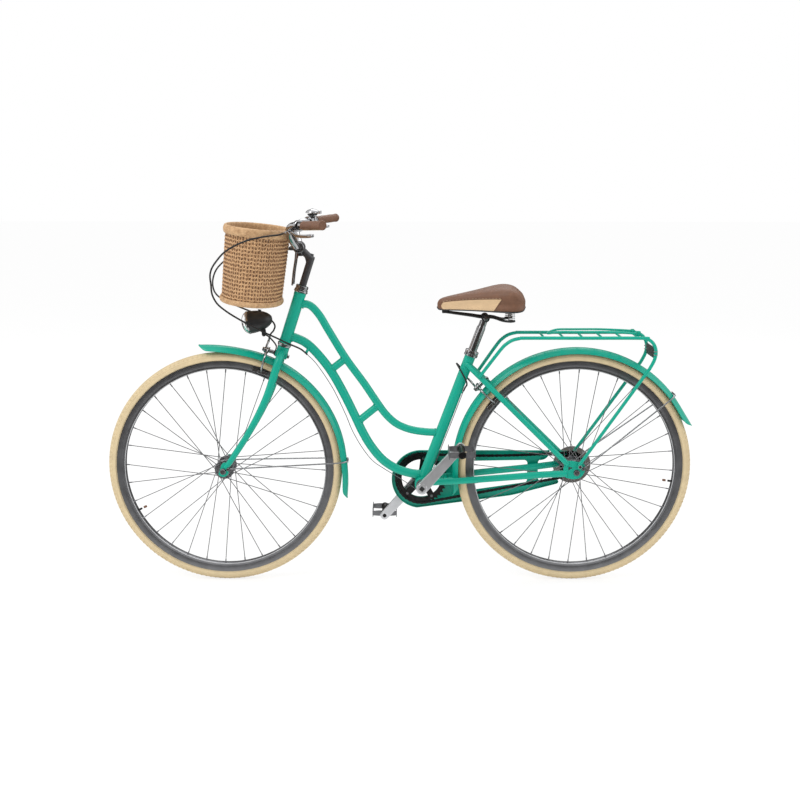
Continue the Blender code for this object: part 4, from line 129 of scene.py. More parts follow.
# The tread's ribs by their distance from the middle, and a bar's points by lean in degrees and turn
TREAD_RIBS = (-0.0045, -0.0015, 0.0015, 0.0045)
TREAD_BAR_SHAPE = ((24, 0), (38, 0.004), (52, 0.008))
WHEEL_STEPS = 160

# Fork and headset
HEAD_ANGLE = radians(72)
FORK_RAKE = 0.059
FORK_LENGTH = 0.4145
HEAD_LENGTH = 0.156
HEAD_TUBE_RADIUS = 0.017
STEERER_RADIUS = 0.013
CUP_RADIUS = 0.0205
CUP_HEIGHT = 0.011
LOCKNUT_HEIGHT = 0.009
CROWN_RADIUS = 0.0175
CROWN_HEIGHT = 0.020
BLADE_RADIUS = 0.0115
BLADE_TIP_RADIUS = 0.008
BLADE_SPREAD = 0.0435
BLADE_BEND_START = 0.28
BRAKE_PIVOT_ALONG = 0.378

# Frame tubes
CHAIN_STAY_REACH = 0.455
BOTTOM_BRACKET_DROP = 0.046
SEAT_ANGLE = radians(69.7)
SEAT_TUBE_LENGTH = 0.424
SEAT_TUBE_RADIUS = 0.016
UPPER_TUBE_RADIUS = 0.01125
LOWER_TUBE_RADIUS = 0.013
STRUT_RADIUS = 0.011
STRUT_WELD_REACH = 0.0108
BB_SHELL_RADIUS = 0.0205
BB_SHELL_LENGTH = 0.068
SEAT_STAY_RADIUS = 0.008
SEAT_STAY_TOP = 0.383
SEAT_STAY_TOP_Y = 0.014
SEAT_STAY_BRIDGE_Y = 0.040
CHAIN_STAY_SIZE = (0.0065, 0.010)
CHAIN_STAY_BRIDGE_Y = 0.0325
BRIDGE_RADIUS = 0.007
BRIDGE_DISTANCE = 0.378
SEAT_BRIDGE_ANGLE = radians(135.6)
CHAIN_BRIDGE_DISTANCE = 0.384
CHAIN_BRIDGE_ANGLE = radians(185.5)
UPPER_TUBE_SEATS = (0.119, 0.163)
LOWER_TUBE_SEATS = (0.021, 0.025)
# Shares of the run between a tube's two ends, along X and along Z
UPPER_TUBE_SHAPE = ((0.083, 0.003), (0.152, 0.078), (0.221, 0.207), (0.335, 0.416), (0.459, 0.607),
                    (0.550, 0.759), (0.615, 0.858), (0.690, 0.932), (0.786, 0.976), (0.894, 0.995))
LOWER_TUBE_SHAPE = ((0.060, 0.012), (0.149, 0.057), (0.248, 0.158), (0.329, 0.268), (0.412, 0.416),
                    (0.485, 0.564), (0.540, 0.680), (0.605, 0.790), (0.690, 0.890), (0.790, 0.955),
                    (0.900, 0.990))
STRUTS = ((0.272, 0.372), (0.555, 0.650))
# Shares along a chain stay from the crank end, and its distance out there
CHAIN_STAY_SHAPE = ((0.12, 0.0285), (0.19, 0.0325), (0.26, 0.0375), (0.50, 0.0435), (0.80, 0.0495),
                    (0.87, 0.0530))
# Corners of the rear dropout, back and up from the axle
DROPOUT_OUTLINE = ((-0.036, -0.014), (-0.012, -0.020), (0.008, -0.018), (0.020, -0.006), (0.027, 0.014),
                   (0.022, 0.026), (0.006, 0.031), (-0.016, 0.036), (-0.034, 0.034), (-0.040, 0.006))
DROPOUT_WINDOW = ((-0.0250, 0.0190), (-0.0250, 0.0055), (-0.0100, 0.0150))
CABLE_STOPS = (((-0.2640, -0.0020, 0.7150), (-0.2741, -0.0204, 0.6967)),
               ((0.1700, 0.0, 0.5842), (0.1864, -0.01145, 0.5781)))

# Drive
CRANK_LENGTH = 0.168
CRANK_ANGLE = radians(48)
CRANK_Y = 0.0715
CRANK_THICKNESS = 0.013
CRANK_BOSS_RADIUS = 0.0175
CRANK_EYE_RADIUS = 0.013
CHAIN_PITCH = 0.0127
CHAINRING_TEETH = 38
SPROCKET_TEETH = 18
CHAIN_LINE = 0.0435
CHAIN_SAG = 0.0085
RING_THICKNESS = 0.003
SPIDER_ARMS = 5
RING_BOLT_PROFILE = ((0, 0), (0.0042, 0), (0.0042, 0.0006), (0.0036, 0.0012), (0.0018, 0.0012),
                     (0.0016, 0.0005), (0, 0.0005))
PEDAL_AXLE_RADIUS = 0.006
PEDAL_START_Y = 0.088
PEDAL_WIDTH = 0.090
PEDAL_LENGTH = 0.076
PEDAL_HEIGHT = 0.026
PEDAL_PLATE = 0.0028
PROTECTOR_RADIUS = 0.057
PROTECTOR_Y = 0.034

# Mudguards
GUARD_RADIUS = 0.3635
GUARD_HALF_WIDTH = 0.027
GUARD_DEPTH = 0.0155
GUARD_THICKNESS = 0.0012
FRONT_FLARE = (0.0125, radians(22), 1.6)
REAR_FLARE = (0.0075, radians(12), 2.0)
FRONT_GUARD_SPAN = (radians(100.5), radians(-14.5))
REAR_GUARD_SPAN = (radians(20.5), radians(193))
# How far a guard's side edges stop short of its crown, and over what turn
GUARD_TONGUE = 0.033
GUARD_TONGUE_FADE = 0.105
GUARD_TONGUE_POWER = 2.5
GUARD_CROWN_POWER = 2.6
GUARD_TIP_TURN = radians(4.0)
GUARD_TIP_NARROWING = 0.22
GUARD_STAY_RADIUS = 0.0022
FRONT_STAY_ANGLE = radians(3.5)
REAR_STAY_ANGLE = radians(37.7)

# Chain guard
CHAIN_GUARD_Y = 0.0605
CHAIN_GUARD_THICKNESS = 0.0012
CHAIN_GUARD_FLANGE = 0.0085
CHAIN_GUARD_RADIUS = 0.090
CHAIN_GUARD_ARC = (92, 262)
CHAIN_GUARD_OPENING = 0.062
CHAIN_GUARD_DROP = 0.006
CHAIN_GUARD_TAIL = ((-0.312, -0.1245), (-0.174, -0.1005), (-0.0385, -0.0645), (-0.0350, -0.0570),
                    (-0.0480, -0.0490), (-0.0960, -0.0560), (-0.0990, -0.0500), (-0.0990, 0.0020),
                    (-0.0940, 0.0085), (-0.0780, 0.0120), (-0.0660, 0.0250), (-0.0645, 0.0420))
CHAIN_GUARD_WINDOW = ((-0.335, -0.0880), (-0.290, -0.0855), (-0.134, -0.0625), (-0.131, -0.0560),
                      (-0.131, 0.0010), (-0.137, 0.0075), (-0.335, 0.0040))
# Where the edge isn't turned in: along X and then Z, the middle from the rear axle and the reach
CHAIN_GUARD_OPEN_END = ((-0.072, 0.075), (-0.0195, 0.028))

# Brakes
BRAKE_REACH = 0.064
# How far ahead of its pivot each caliper's first arm starts, and what stands between at the front
FRONT_BRAKE_PLANE = 0.038
REAR_BRAKE_PLANE = 0.022
FRONT_BRAKE_BOSS = 0.018
FRONT_BRAKE_SPACER = 0.0216
BRAKE_ARM_THICKNESS = 0.007
BRAKE_ARM_ROOM = 0.0006
BRAKE_PAD_CLEARANCE = 0.0025
BRAKE_PAD_SIZE = (0.046, 0.009, 0.009)
# A brake arm's limb, up and out from the pivot
BRAKE_LIMB = ((0, 0.002), (-0.003, 0.014), (-0.007, 0.027), (-0.018, 0.0365), (-0.034, 0.037),
              (-0.048, 0.0325), (0.001 - BRAKE_REACH, 0.0225))

# Seat
SEAT_POST_RADIUS = 0.0127
SEAT_POST_SHOWN = 0.098
CLAMP_RISE = 0.008
COLLAR_RADIUS = 0.020
COLLAR_HEIGHT = 0.016
SADDLE_FLOOR = 0.824
SPRING_RADIUS = 0.0095
SPRING_WIRE_RADIUS = 0.0013
SPRING_TURNS = 5
SPRING_SPREAD = 0.045
SPRING_X = 0.322
SPRING_FOOT = 0.797
SADDLE_PIVOT_X = 0.142
RAIL_RADIUS = 0.0035
# Front end of the pale side panel, and its rear end at the floor and at the top seam
PANEL_SPAN = (0.120, 0.268, 0.291)
# The panel's top as a share of the cushion's height, which falls from the nose to the back
PANEL_TOP = 0.66
PANEL_TOP_FALL = 0.16
SADDLE_NOSE = 0.117
SADDLE_SLOPE_RUN = 0.216
# Along the saddle from nose to tail: x, half width, underside, crown
SADDLE_STATIONS = ((0.110, 0.006, 0.829, 0.842), (0.114, 0.014, 0.825, 0.850), (0.124, 0.020, 0.824, 0.857),
                   (0.145, 0.025, 0.824, 0.863), (0.172, 0.030, 0.824, 0.869), (0.200, 0.039, 0.824, 0.875),
                   (0.228, 0.052, 0.824, 0.881), (0.254, 0.068, 0.824, 0.887), (0.278, 0.083, 0.824, 0.892),
                   (0.302, 0.094, 0.824, 0.895), (0.324, 0.099, 0.824, 0.893), (0.341, 0.095, 0.825, 0.886),
                   (0.353, 0.083, 0.828, 0.875), (0.360, 0.062, 0.836, 0.861))
# Half section of the cushion from the middle of its floor: shares of half width and of height
SADDLE_SECTION = ((0.0, 0.0), (0.55, 0.0), (0.88, 0.0), (0.955, 0.10), (0.93, 0.34), (0.985, 0.58),
                  (0.94, 0.78), (0.76, 0.92), (0.50, 0.985), (0.22, 0.99))

# Handlebar, stem and what sits on them
STEM_RISE = 0.1175
ELBOW_DROP = 0.015
STEM_ARM_LIFT = 0.006
STEM_REACH = 0.042
STEM_RADIUS = 0.0105
STEM_WEB_REACH = 0.043
BAR_RADIUS = 0.0111
BAR_CLAMP_RADIUS = 0.0175
BAR_CLAMP_HALF_WIDTH = 0.016
BAR_SHAPE = ((0.0, 0.0, 0.0), (0.0, 0.018, 0.0), (-0.0004, 0.030, 0.0006), (-0.004, 0.050, 0.006),
             (-0.012, 0.075, 0.022), (-0.0175, 0.098, 0.039), (-0.0155, 0.118, 0.0535),
             (-0.0085, 0.136, 0.0625))
BAR_STRAIGHT = 0.060
GRIP_START = (0.032, 0.205, 0.069)
GRIP_END = (0.0885, 0.308, 0.074)
GRIP_RADIUS = 0.0127
GRIP_WALL_END = 0.0037
PERCH_INBOARD = 0.034
PERCH_RADIUS = 0.0155
PERCH_HALF_WIDTH = 0.008
LEVER_AHEAD = 0.028
LEVER_BELOW = 0.026
LEVER_PIVOT_AHEAD = 0.026
LEVER_PIVOT_BELOW = 0.016
LEVER_BALL_RADIUS = 0.0047
BELL_INBOARD = 0.014
BELL_RADIUS = 0.0205
BELL_BASE_HEIGHT = 0.0195
BELL_RIM_HEIGHT = 0.0246
BELL_DOME_HEIGHT = 0.0109

# Basket
BASKET_TILT = radians(6.6)
BASKET_HALF_DEPTH = 0.0915
BASKET_HALF_WIDTH = 0.1765
BASKET_FLOOR_SCALE = 0.928
BASKET_HEIGHT = 0.218
BASKET_WALL = 0.005
BASKET_BAND_HEIGHT = 0.024
BASKET_FOOT_HEIGHT = 0.016
BASKET_SQUARENESS = 2.1
BASKET_REACH = 0.1155
BASKET_RIM_RISE = 0.0597
BASKET_STAKES = 88
BASKET_ROWS = 33
# How far a strand passes in front of a stake, waves up and down, and strays; its half thickness and height
WEAVE_DEPTH = 0.0020
WEAVE_CHEVRON = 0.0042
WEAVE_SCATTER = 0.0005
STRAND_SIZE = (0.0011, 0.0020)
CANE_THICKNESS = 0.0030
# A band's half height, half thickness, number of canes and turns, for the rim and the foot
RIM_BAND = (BASKET_BAND_HEIGHT / 2 + 0.001, 0.0058, 16, 3)
FOOT_BAND = (BASKET_FOOT_HEIGHT / 2 + 0.0005, 0.0052, 9, 6)
BRACKET_SPREAD = 0.023
BRACKET_TAIL = ((-0.007, 0, -0.0125), (-0.0100, 0, -0.0385), (-0.0150, 0, -0.0675), (-0.0195, 0, -0.1060))

# Headlight
LAMP_RADIUS = 0.033
LAMP_LENGTH = 0.071
LAMP_LENS_LENGTH = 0.019
# The housing's outline: shares of its radius and of its length
LAMP_SHAPE = ((0.0, -1.0), (0.18, -0.992), (0.36, -0.95), (0.66, -0.78), (0.88, -0.52), (0.98, -0.25))
LAMP_DIP = radians(10)
LAMP_KNUCKLE_ALONG = 0.4206
LAMP_KNUCKLE_AHEAD = 0.0653
LAMP_FORWARD = 0.0457
LAMP_RISE = 0.0334

# Carrier
CARRIER_TUBE_RADIUS = 0.005
CARRIER_HALF_WIDTH = 0.063
CARRIER_HEIGHT = 0.748
CARRIER_BAR_RADIUS = 0.003
# Where a rail starts, as a share of the seat stay from its top to the bridge
CARRIER_FOOT_SHARE = 0.64
# A rail's points: X, share of the half width, and how far below the top
CARRIER_RAIL = ((0.290, 0.93, 0.0365), (0.309, 0.96, 0.0165), (0.325, 0.98, 0.0065), (0.345, 1, 0.0012),
                (0.365, 1, 0), (0.530, 1, 0), (0.700, 1, 0), (0.716, 1, 0.004), (0.729, 1, 0.014),
                (0.737, 1, 0.029), (0.739, 1, 0.046), (0.7345, 1, 0.066), (0.7235, 1, 0.0885))
CARRIER_BARS = [0.417 + 0.056 * i for i in range(5)]
CARRIER_PLATE_X = 0.7375
CARRIER_PLATE_Z = 0.703
CLIP_ROD_RADIUS = 0.0031
CLIP_HINGE_X = 0.690
CLIP_LIFT = 0.0085
CLIP_HALF_WIDTH = 0.034
# Half of the clip's rod from its hinge end to its tip, along X, out and up from the hinge
CLIP_SHAPE = ((0.0, 0.0455, 0.0), (0.0, 0.040, 0.0), (-0.002, 0.0355, 0.0), (-0.009, 0.034, 0.001),
              (-0.045, 0.034, 0.003), (-0.105, 0.034, 0.005), (-0.180, 0.033, 0.005), (-0.221, 0.030, 0.005),
              (-0.240, 0.023, 0.002), (-0.254, 0.012, -0.0015), (-0.258, 0.004, -0.002))

# Cables
CABLE_RADIUS = 0.0025
WIRE_RADIUS = 0.0011
REAR_CABLE_ROUTE = (
    (-0.3091, -0.1645, 1.0541), (-0.3200, -0.1555, 1.0495), (-0.3330, -0.1535, 1.0460),
    (-0.3480, -0.161, 1.0443), (-0.3610, -0.176, 1.0433), (-0.3790, -0.194, 1.0410),
    (-0.4072, -0.207, 1.0350), (-0.4425, -0.207, 1.0211), (-0.4755, -0.200, 1.0016),
    (-0.4988, -0.188, 0.9782), (-0.5157, -0.173, 0.9560), (-0.5240, -0.157, 0.9339),
    (-0.5250, -0.140, 0.9074), (-0.5255, -0.123, 0.8790), (-0.5140, -0.107, 0.8505),
    (-0.4894, -0.093, 0.8264), (-0.4630, -0.079, 0.8066), (-0.4323, -0.066, 0.7866),
    (-0.3978, -0.054, 0.7664), (-0.3626, -0.043, 0.7481), (-0.3237, -0.034, 0.7275),
    (-0.2900, -0.026, 0.7110), (-0.2700, -0.0190, 0.6930), (-0.2420, -0.013, 0.6620),
    (-0.2030, -0.007, 0.6010), (-0.1800, -0.006, 0.5560), (-0.1590, -0.006, 0.5090),
    (-0.1410, -0.006, 0.4640), (-0.1150, -0.006, 0.4160), (-0.0820, -0.006, 0.3720),
    (-0.0450, -0.006, 0.3450), (-0.0080, -0.006, 0.3220), (0.0250, -0.006, 0.3000),
    (0.0439, -0.006, 0.2870), (0.0533, -0.006, 0.2790), (0.0660, -0.006, 0.2765),
    (0.0788, -0.006, 0.2800), (0.0885, -0.007, 0.2900), (0.0925, -0.008, 0.3040),
    (0.1032, -0.0105, 0.3532), (0.1518, -0.0105, 0.4845), (0.1882, -0.0115, 0.5830),
    (0.1975, -0.021, 0.6060), (0.1870, -0.026, 0.6320),
    (0.1720, -0.019, 0.6580), (0.1680, 0.000, 0.6640), (0.1760, 0.020, 0.6540),
    (0.1860, 0.0265, 0.6390), (0.1940, 0.0265, 0.6240), (0.2105, 0.0262, 0.6068))
# Points of the rear route between which the cable runs as bare wire
BARE_WIRE = (22, 41)
FRONT_CABLE_ROUTE = (
    (-0.3091, 0.1645, 1.0541), (-0.3200, 0.1555, 1.0495), (-0.3330, 0.1535, 1.0460),
    (-0.3480, 0.161, 1.0443), (-0.3610, 0.176, 1.0433), (-0.3790, 0.194, 1.0410),
    (-0.4100, 0.209, 1.0330), (-0.4500, 0.210, 1.0150), (-0.4900, 0.203, 0.9880),
    (-0.5260, 0.188, 0.9600), (-0.5560, 0.165, 0.9300), (-0.5660, 0.140, 0.8980),
    (-0.5600, 0.117, 0.8680), (-0.5400, 0.100, 0.8480), (-0.5050, 0.086, 0.8320),
    (-0.4600, 0.073, 0.8150), (-0.4200, 0.062, 0.8010), (-0.3850, 0.050, 0.7880),
    (-0.3700, 0.040, 0.7720), (-0.3730, 0.032, 0.7570), (-0.3812, 0.0262, 0.7470),
    (-0.3873, 0.0262, 0.7285))


# Camera, light and floor

def linear(red, green, blue):
    """A colour's linear values from its screen values of 0 to 255."""
    return tuple(c / 255 / 12.92 if c / 255 <= 0.04045 else ((c / 255 + 0.055) / 1.055) ** 2.4
                 for c in (red, green, blue))


def camera():
    """The photograph's camera."""
    data = bpy.data.cameras.new("camera")
    data.lens = CAMERA_LENS
    holder = bpy.data.objects.new("camera", data)
    holder.location = CAMERA_PLACE
    holder.rotation_euler = CAMERA_TURN
    bpy.context.scene.collection.objects.link(holder)
    bpy.context.scene.camera = holder


def lamp(name, place, target, size, power):
    """A soft square lamp that faces a point."""
    data = bpy.data.lights.new(name, "AREA")
    data.size = size
    data.energy = power
    holder = bpy.data.objects.new(name, data)
    holder.location = place
    holder.rotation_euler = (Vector(target) - Vector(place)).to_track_quat("-Z", "Y").to_euler()
    bpy.context.scene.collection.objects.link(holder)


def backdrop_share(tree):
    """One for the rays that see the background, and none for the rays that light the object."""
    path = tree.nodes.new("ShaderNodeLightPath")
    first, second = tree.nodes.new("ShaderNodeMath"), tree.nodes.new("ShaderNodeMath")
    for node in (first, second):
        node.operation = "MAXIMUM"
    tree.links.new(path.outputs["Is Camera Ray"], first.inputs[0])
    tree.links.new(path.outputs["Is Glossy Ray"], first.inputs[1])
    tree.links.new(first.outputs[0], second.inputs[0])
    tree.links.new(path.outputs["Is Transmission Ray"], second.inputs[1])
    return second.outputs[0]


def world():
    """White to the eye and in reflections, and softer as a light."""
    place = bpy.data.worlds.new("studio")
    bpy.context.scene.world = place
    place.use_nodes = True
    tree = place.node_tree
    background = tree.nodes["Background"]
    background.inputs["Color"].default_value = (1, 1, 1, 1)
    strength = tree.nodes.new("ShaderNodeMapRange")
    strength.inputs["To Min"].default_value = WORLD_LIGHT
    strength.inputs["To Max"].default_value = 1.0
    tree.links.new(backdrop_share(tree), strength.inputs["Value"])
    tree.links.new(strength.outputs["Result"], background.inputs["Strength"])


def new_paint(name):
    """A new material with its node tree and its shader."""
    paint = bpy.data.materials.new(name)
    paint.use_nodes = True
    return paint, paint.node_tree, paint.node_tree.nodes["Principled BSDF"]


def studio_sheet(name, corners, paint):
    """A flat sheet that belongs to the studio and not to the bicycle."""
    mesh = bpy.data.meshes.new(name)
    mesh.from_pydata(corners, [], [(0, 1, 2, 3)])
    mesh.materials.append(paint)
    sheet = bpy.data.objects.new(name, mesh)
    bpy.context.scene.collection.objects.link(sheet)
    return sheet


def floor():
    """A plain white floor that keeps the soft shadows."""
    paint, tree, shader = new_paint("floor_white")
    shader.inputs["Base Color"].default_value = (FLOOR_WHITE, FLOOR_WHITE, FLOOR_WHITE, 1)
    shader.inputs["Roughness"].default_value = 1.0
    shader.inputs["Specular IOR Level"].default_value = 0.0
    glow = tree.nodes.new("ShaderNodeEmission")
    glow.inputs["Color"].default_value = (1, 1, 1, 1)
    share = tree.nodes.new("ShaderNodeMath")
    share.operation = "MULTIPLY"
    share.inputs[1].default_value = FLOOR_GLOW
    tree.links.new(backdrop_share(tree), share.inputs[0])
    blend = tree.nodes.new("ShaderNodeMixShader")
    for source, socket in zip((share, shader, glow), blend.inputs):
        tree.links.new(source.outputs[0], socket)
    tree.links.new(blend.outputs[0], tree.nodes["Material Output"].inputs["Surface"])
    low, high = -FLOOR_REACH, FLOOR_REACH
    sheet = studio_sheet("floor", [(low, low, 0), (high, low, 0), (high, high, 0), (low, high, 0)], paint)


def dark_card(name, near, far):
    """A dark studio card between two edges, each a (y, z) pair, that only shiny surfaces see."""
    paint, _, shader = new_paint(name)
    shader.inputs["Base Color"].default_value = (*CARD_COLOUR, 1)
    shader.inputs["Roughness"].default_value = 1.0
    left, right = -CARD_HALF_WIDTH, CARD_HALF_WIDTH
    sheet = studio_sheet(name, [(left, *near), (right, *near), (right, *far), (left, *far)], paint)
    sheet.visible_camera = False
    sheet.visible_diffuse = False
    sheet.visible_shadow = False


camera()
world()
floor()
for card in CARDS:
    dark_card(*card)
for light in LAMPS:
    lamp(*light)
bpy.context.scene.view_settings.view_transform = "Standard"


# Materials

def texture(tree, kind, scale, **settings):
    """A texture node on the object's own coordinates."""
    node = tree.nodes.new("ShaderNodeTex" + kind)
    coords = tree.nodes.get("coords") or tree.nodes.new("ShaderNodeTexCoord")
    coords.name = "coords"
    tree.links.new(coords.outputs["Object"], node.inputs["Vector"])
    node.inputs["Scale"].default_value = scale
    for key, value in settings.items():
        node.inputs[key.replace("_", " ").title()].default_value = value
    return node


def ramp(tree, source, low, high, start=0.35, end=0.65):
    """Colours from low to high along a texture's value."""
    node = tree.nodes.new("ShaderNodeValToRGB")
    node.color_ramp.elements[0].position = start
    node.color_ramp.elements[0].color = (*low, 1)
    node.color_ramp.elements[1].position = end
    node.color_ramp.elements[1].color = (*high, 1)
    tree.links.new(source, node.inputs["Fac"])
    return node.outputs["Color"]


def relief(tree, source, strength, distance):
    """Bumps that follow a texture's value."""
    bump = tree.nodes.new("ShaderNodeBump")
    bump.inputs["Strength"].default_value = strength
    bump.inputs["Distance"].default_value = distance
    tree.links.new(source, bump.inputs["Height"])
    tree.links.new(bump.outputs["Normal"], tree.nodes["Principled BSDF"].inputs["Normal"])


def material(name, colour, roughness, metallic=0.0, tint=0.06, patch=30, grain=900, depth=0.05,
             rough_spread=0.06, coat=0.0, **sockets):
    """A surface whose colour, gloss and relief all vary a little with fine noise."""
    paint, tree, shader = new_paint(name)
    patches = texture(tree, "Noise", patch, detail=4.0)
    low = tuple(c * (1 - tint) for c in colour)
    high = tuple(min(1, c * (1 + tint)) for c in colour)
    tree.links.new(ramp(tree, patches.outputs["Fac"], low, high), shader.inputs["Base Color"])
    spread = tree.nodes.new("ShaderNodeMapRange")
    spread.inputs["To Min"].default_value = max(0.02, roughness - rough_spread)
    spread.inputs["To Max"].default_value = roughness + rough_spread
    tree.links.new(patches.outputs["Fac"], spread.inputs["Value"])
    tree.links.new(spread.outputs["Result"], shader.inputs["Roughness"])
    shader.inputs["Metallic"].default_value = metallic
    shader.inputs["Coat Weight"].default_value = coat
    shader.inputs["Coat Roughness"].default_value = 0.06
    for key, value in sockets.items():
        socket = key.replace("_", " ").title().replace("Ior", "IOR")
        shader.inputs[socket].default_value = value
    fine = texture(tree, "Noise", grain, detail=3.0)
    relief(tree, fine.outputs["Fac"], depth, 0.0005)
    return paint


def leather(name, colour, roughness, tint):
    """Hide: broad patches, fine pebbled cells and small creases."""
    paint = material(name, colour, roughness, tint=tint, patch=55, grain=1500, depth=0.12)
    tree = paint.node_tree
    cells = texture(tree, "Voronoi", 900)
    creases = texture(tree, "Noise", 160, detail=6.0, distortion=1.2)
    total = tree.nodes.new("ShaderNodeMath")
    total.operation = "ADD"
    tree.links.new(cells.outputs["Distance"], total.inputs[0])
    tree.links.new(creases.outputs["Fac"], total.inputs[1])
    relief(tree, total.outputs[0], 0.35, 0.0006)
    return paint


def cane(name, light, dark):
    """Dyed cane: streaks along each strand, darker in the hollows and matt."""
    paint = material(name, light, 0.6, tint=0.02, depth=0.3, grain=700)
    tree = paint.node_tree
    shader = tree.nodes["Principled BSDF"]
    streaks = texture(tree, "Noise", 95, detail=8.0, roughness=0.75)
    tree.links.new(ramp(tree, streaks.outputs["Fac"], dark, light, 0.34, 0.58), shader.inputs["Base Color"])
    return paint


PAINTS = {
    "green_paint": material("green_enamel", linear(0, 156, 132), 0.34, tint=0.02, patch=12, grain=60,
                            depth=0.008, rough_spread=0.02, coat=0.12, specular_ior_level=0.3),
    "cream_rubber": material("cream_rubber", linear(200, 181, 144), 0.68, tint=0.05, patch=45, depth=0.15),
    "black_plastic": material("black_plastic", linear(38, 38, 39), 0.42, depth=0.12, tint=0.15),
    "black_rubber": material("black_rubber", linear(30, 30, 31), 0.65, depth=0.3, tint=0.2),
    "chrome": material("chrome", linear(176, 176, 178), 0.13, 1.0, tint=0.03, rough_spread=0.03, depth=0.01),
    "alloy": material("satin_alloy", linear(158, 159, 162), 0.36, 1.0, grain=1400, depth=0.08),
    "rim_alloy": material("rim_alloy", linear(136, 137, 140), 0.42, 1.0, grain=1300, depth=0.10, tint=0.08),
    "cast_alloy": material("cast_alloy", linear(92, 92, 94), 0.48, 0.75, grain=500, depth=0.06),
    # Light, barely metallic grey for the rim's lips: a painted highlight for the bright line they reflect
    "lip_painted_highlight": material("lip_painted_highlight", linear(186, 187, 189), 0.5, 0.3, grain=1200, depth=0.04),
    "crank_alloy": material("crank_alloy", linear(222, 223, 226), 0.34, 0.85, grain=1200, depth=0.04),
    "dark_steel": material("dark_steel", linear(46, 45, 46), 0.36, 0.85, tint=0.25, patch=90, depth=0.08),
    "pedal_steel": material("pedal_steel", linear(128, 128, 131), 0.42, 0.7, tint=0.1, patch=60, depth=0.06),
    "bolt_steel": material("bolt_steel", linear(132, 132, 135), 0.34, 1.0, tint=0.1, patch=120, depth=0.05),
    "spoke_steel": material("spoke_steel", linear(120, 120, 122), 0.5, 0.6, tint=0.05, depth=0.03),
    "brown_leather": leather("brown_leather", linear(108, 73, 52), 0.55, 0.10),
    "cream_leather": leather("cream_leather", linear(200, 170, 132), 0.58, 0.04),
    "thread": material("waxed_thread", linear(205, 186, 152), 0.7, tint=0.1, depth=0.3),
    "wicker": cane("woven_cane", linear(204, 164, 120), linear(152, 112, 76)),
    "cane_band": cane("cane_band", linear(200, 164, 122), linear(160, 122, 84)),
    # Darker cane for the stakes and the bands' cores: painted shade that shows in the gaps between the
    # strands
    "cane_painted_shade": cane("cane_painted_shade", linear(128, 90, 58), linear(88, 58, 36)),
    "clear_lens": material("lens_glass", (0.95, 0.96, 0.97), 0.06, rough_spread=0.02, transmission_weight=1.0,
                           ior=1.45, depth=0.02, tint=0.0),
    "reflector": material("lamp_reflector", linear(232, 226, 216), 0.12, 1.0, depth=0.02),
    "clear_plastic": material("clear_plastic", (0.97, 0.97, 0.96), 0.05, transmission_weight=1.0, ior=1.08,
                              tint=0.0, depth=0.02),
    "bulb": material("bulb_glass", linear(250, 214, 160), 0.15, tint=0.02),
}


# Shapes: each function returns the points and faces of one closed shape

def loft(rings, closed=False):
    """Skin a row of rings of equal point counts; open rows get flat ends."""
    count = len(rings[0])
    points = [Vector(p) for ring in rings for p in ring]
    faces = []
    rows = len(rings)
    for r in range(rows if closed else rows - 1):
        a, b = r * count, (r + 1) % rows * count
        faces += [(a + k, a + (k + 1) % count, b + (k + 1) % count, b + k) for k in range(count)]
    if not closed:
        faces.append(tuple(range(count))[::-1])
        faces.append(tuple(range((rows - 1) * count, rows * count)))
    return points, faces


def smooth(points, steps, closed=False):
    """Points along one smooth curve through the given points."""
    knots = [Vector(point) for point in points]
    if closed:
        knots = [knots[-1]] + knots + knots[:2]
    else:
        knots = [2 * knots[0] - knots[1]] + knots + [2 * knots[-1] - knots[-2]]
    path = []
    for a, b, c, d in zip(knots, knots[1:], knots[2:], knots[3:]):
        for i in range(steps):
            t = i / steps
            path.append((2 * b + (c - a) * t + (2 * a - 5 * b + 4 * c - d) * t ** 2
                         + (3 * b - 3 * c + d - a) * t ** 3) / 2)
    return path if closed else path + [knots[-2]]


def sweep(path, radii, sides=20, across=None, closed=False, phase=0.5):
    """A round or oval rod along a path. A pair of radii is towards across and square to it.

    Without across, each ring turns as little as it can from the one before it.
    """
    path = [Vector(point) for point in path]
    count = len(path)
    if isinstance(radii, (int, float)):
        radii = [radii] * count
    rings = []
    u = None
    for i, point in enumerate(path):
        before = path[i - 1] if closed or i else point
        after = path[(i + 1) % count] if closed or i < count - 1 else point
        tangent = (after - before).normalized()
        guide = across or u or (Y_AXIS if abs(tangent.y) < 0.9 else Z_AXIS)
        u = (guide - tangent * guide.dot(tangent)).normalized()
        v = tangent.cross(u)
        wide, high = radii[i] if isinstance(radii[i], tuple) else (radii[i], radii[i])
        turns = [2 * pi * (k + phase) / sides for k in range(sides)]
        rings.append([point + u * wide * cos(t) + v * high * sin(t) for t in turns])
    return loft(rings, closed)


def turned(profile, origin, axis, segments=48, start=0.0):
    """Turn a profile of (radius, height) pairs; one that leaves the axis is closed into a ring."""
    axis = Vector(axis).normalized()
    helper = X_AXIS if abs(axis.dot(X_AXIS)) < 0.9 else Z_AXIS
    u = (helper - axis * helper.dot(axis)).normalized()
    v = axis.cross(u)
    origin = Vector(origin)
    points, rows, faces = [], [], []
    for radius, height in profile:
        centre = origin + axis * height
        if radius == 0:
            rows.append([len(points)])
            points.append(centre)
            continue
        rows.append(list(range(len(points), len(points) + segments)))
        turns = [2 * pi * (k + start) / segments for k in range(segments)]
        points += [centre + (u * cos(t) + v * sin(t)) * radius for t in turns]
    pairs = list(zip(rows, rows[1:]))
    if profile[0][0] != 0:
        pairs.append((rows[-1], rows[0]))
    for row, after in pairs:
        for k in range(segments):
            m = (k + 1) % segments
            if len(row) == 1 and len(after) > 1:
                faces.append((row[0], after[m], after[k]))
            elif len(after) == 1 and len(row) > 1:
                faces.append((row[k], row[m], after[0]))
            elif len(row) > 1:
                faces.append((row[k], row[m], after[m], after[k]))
    return points, faces


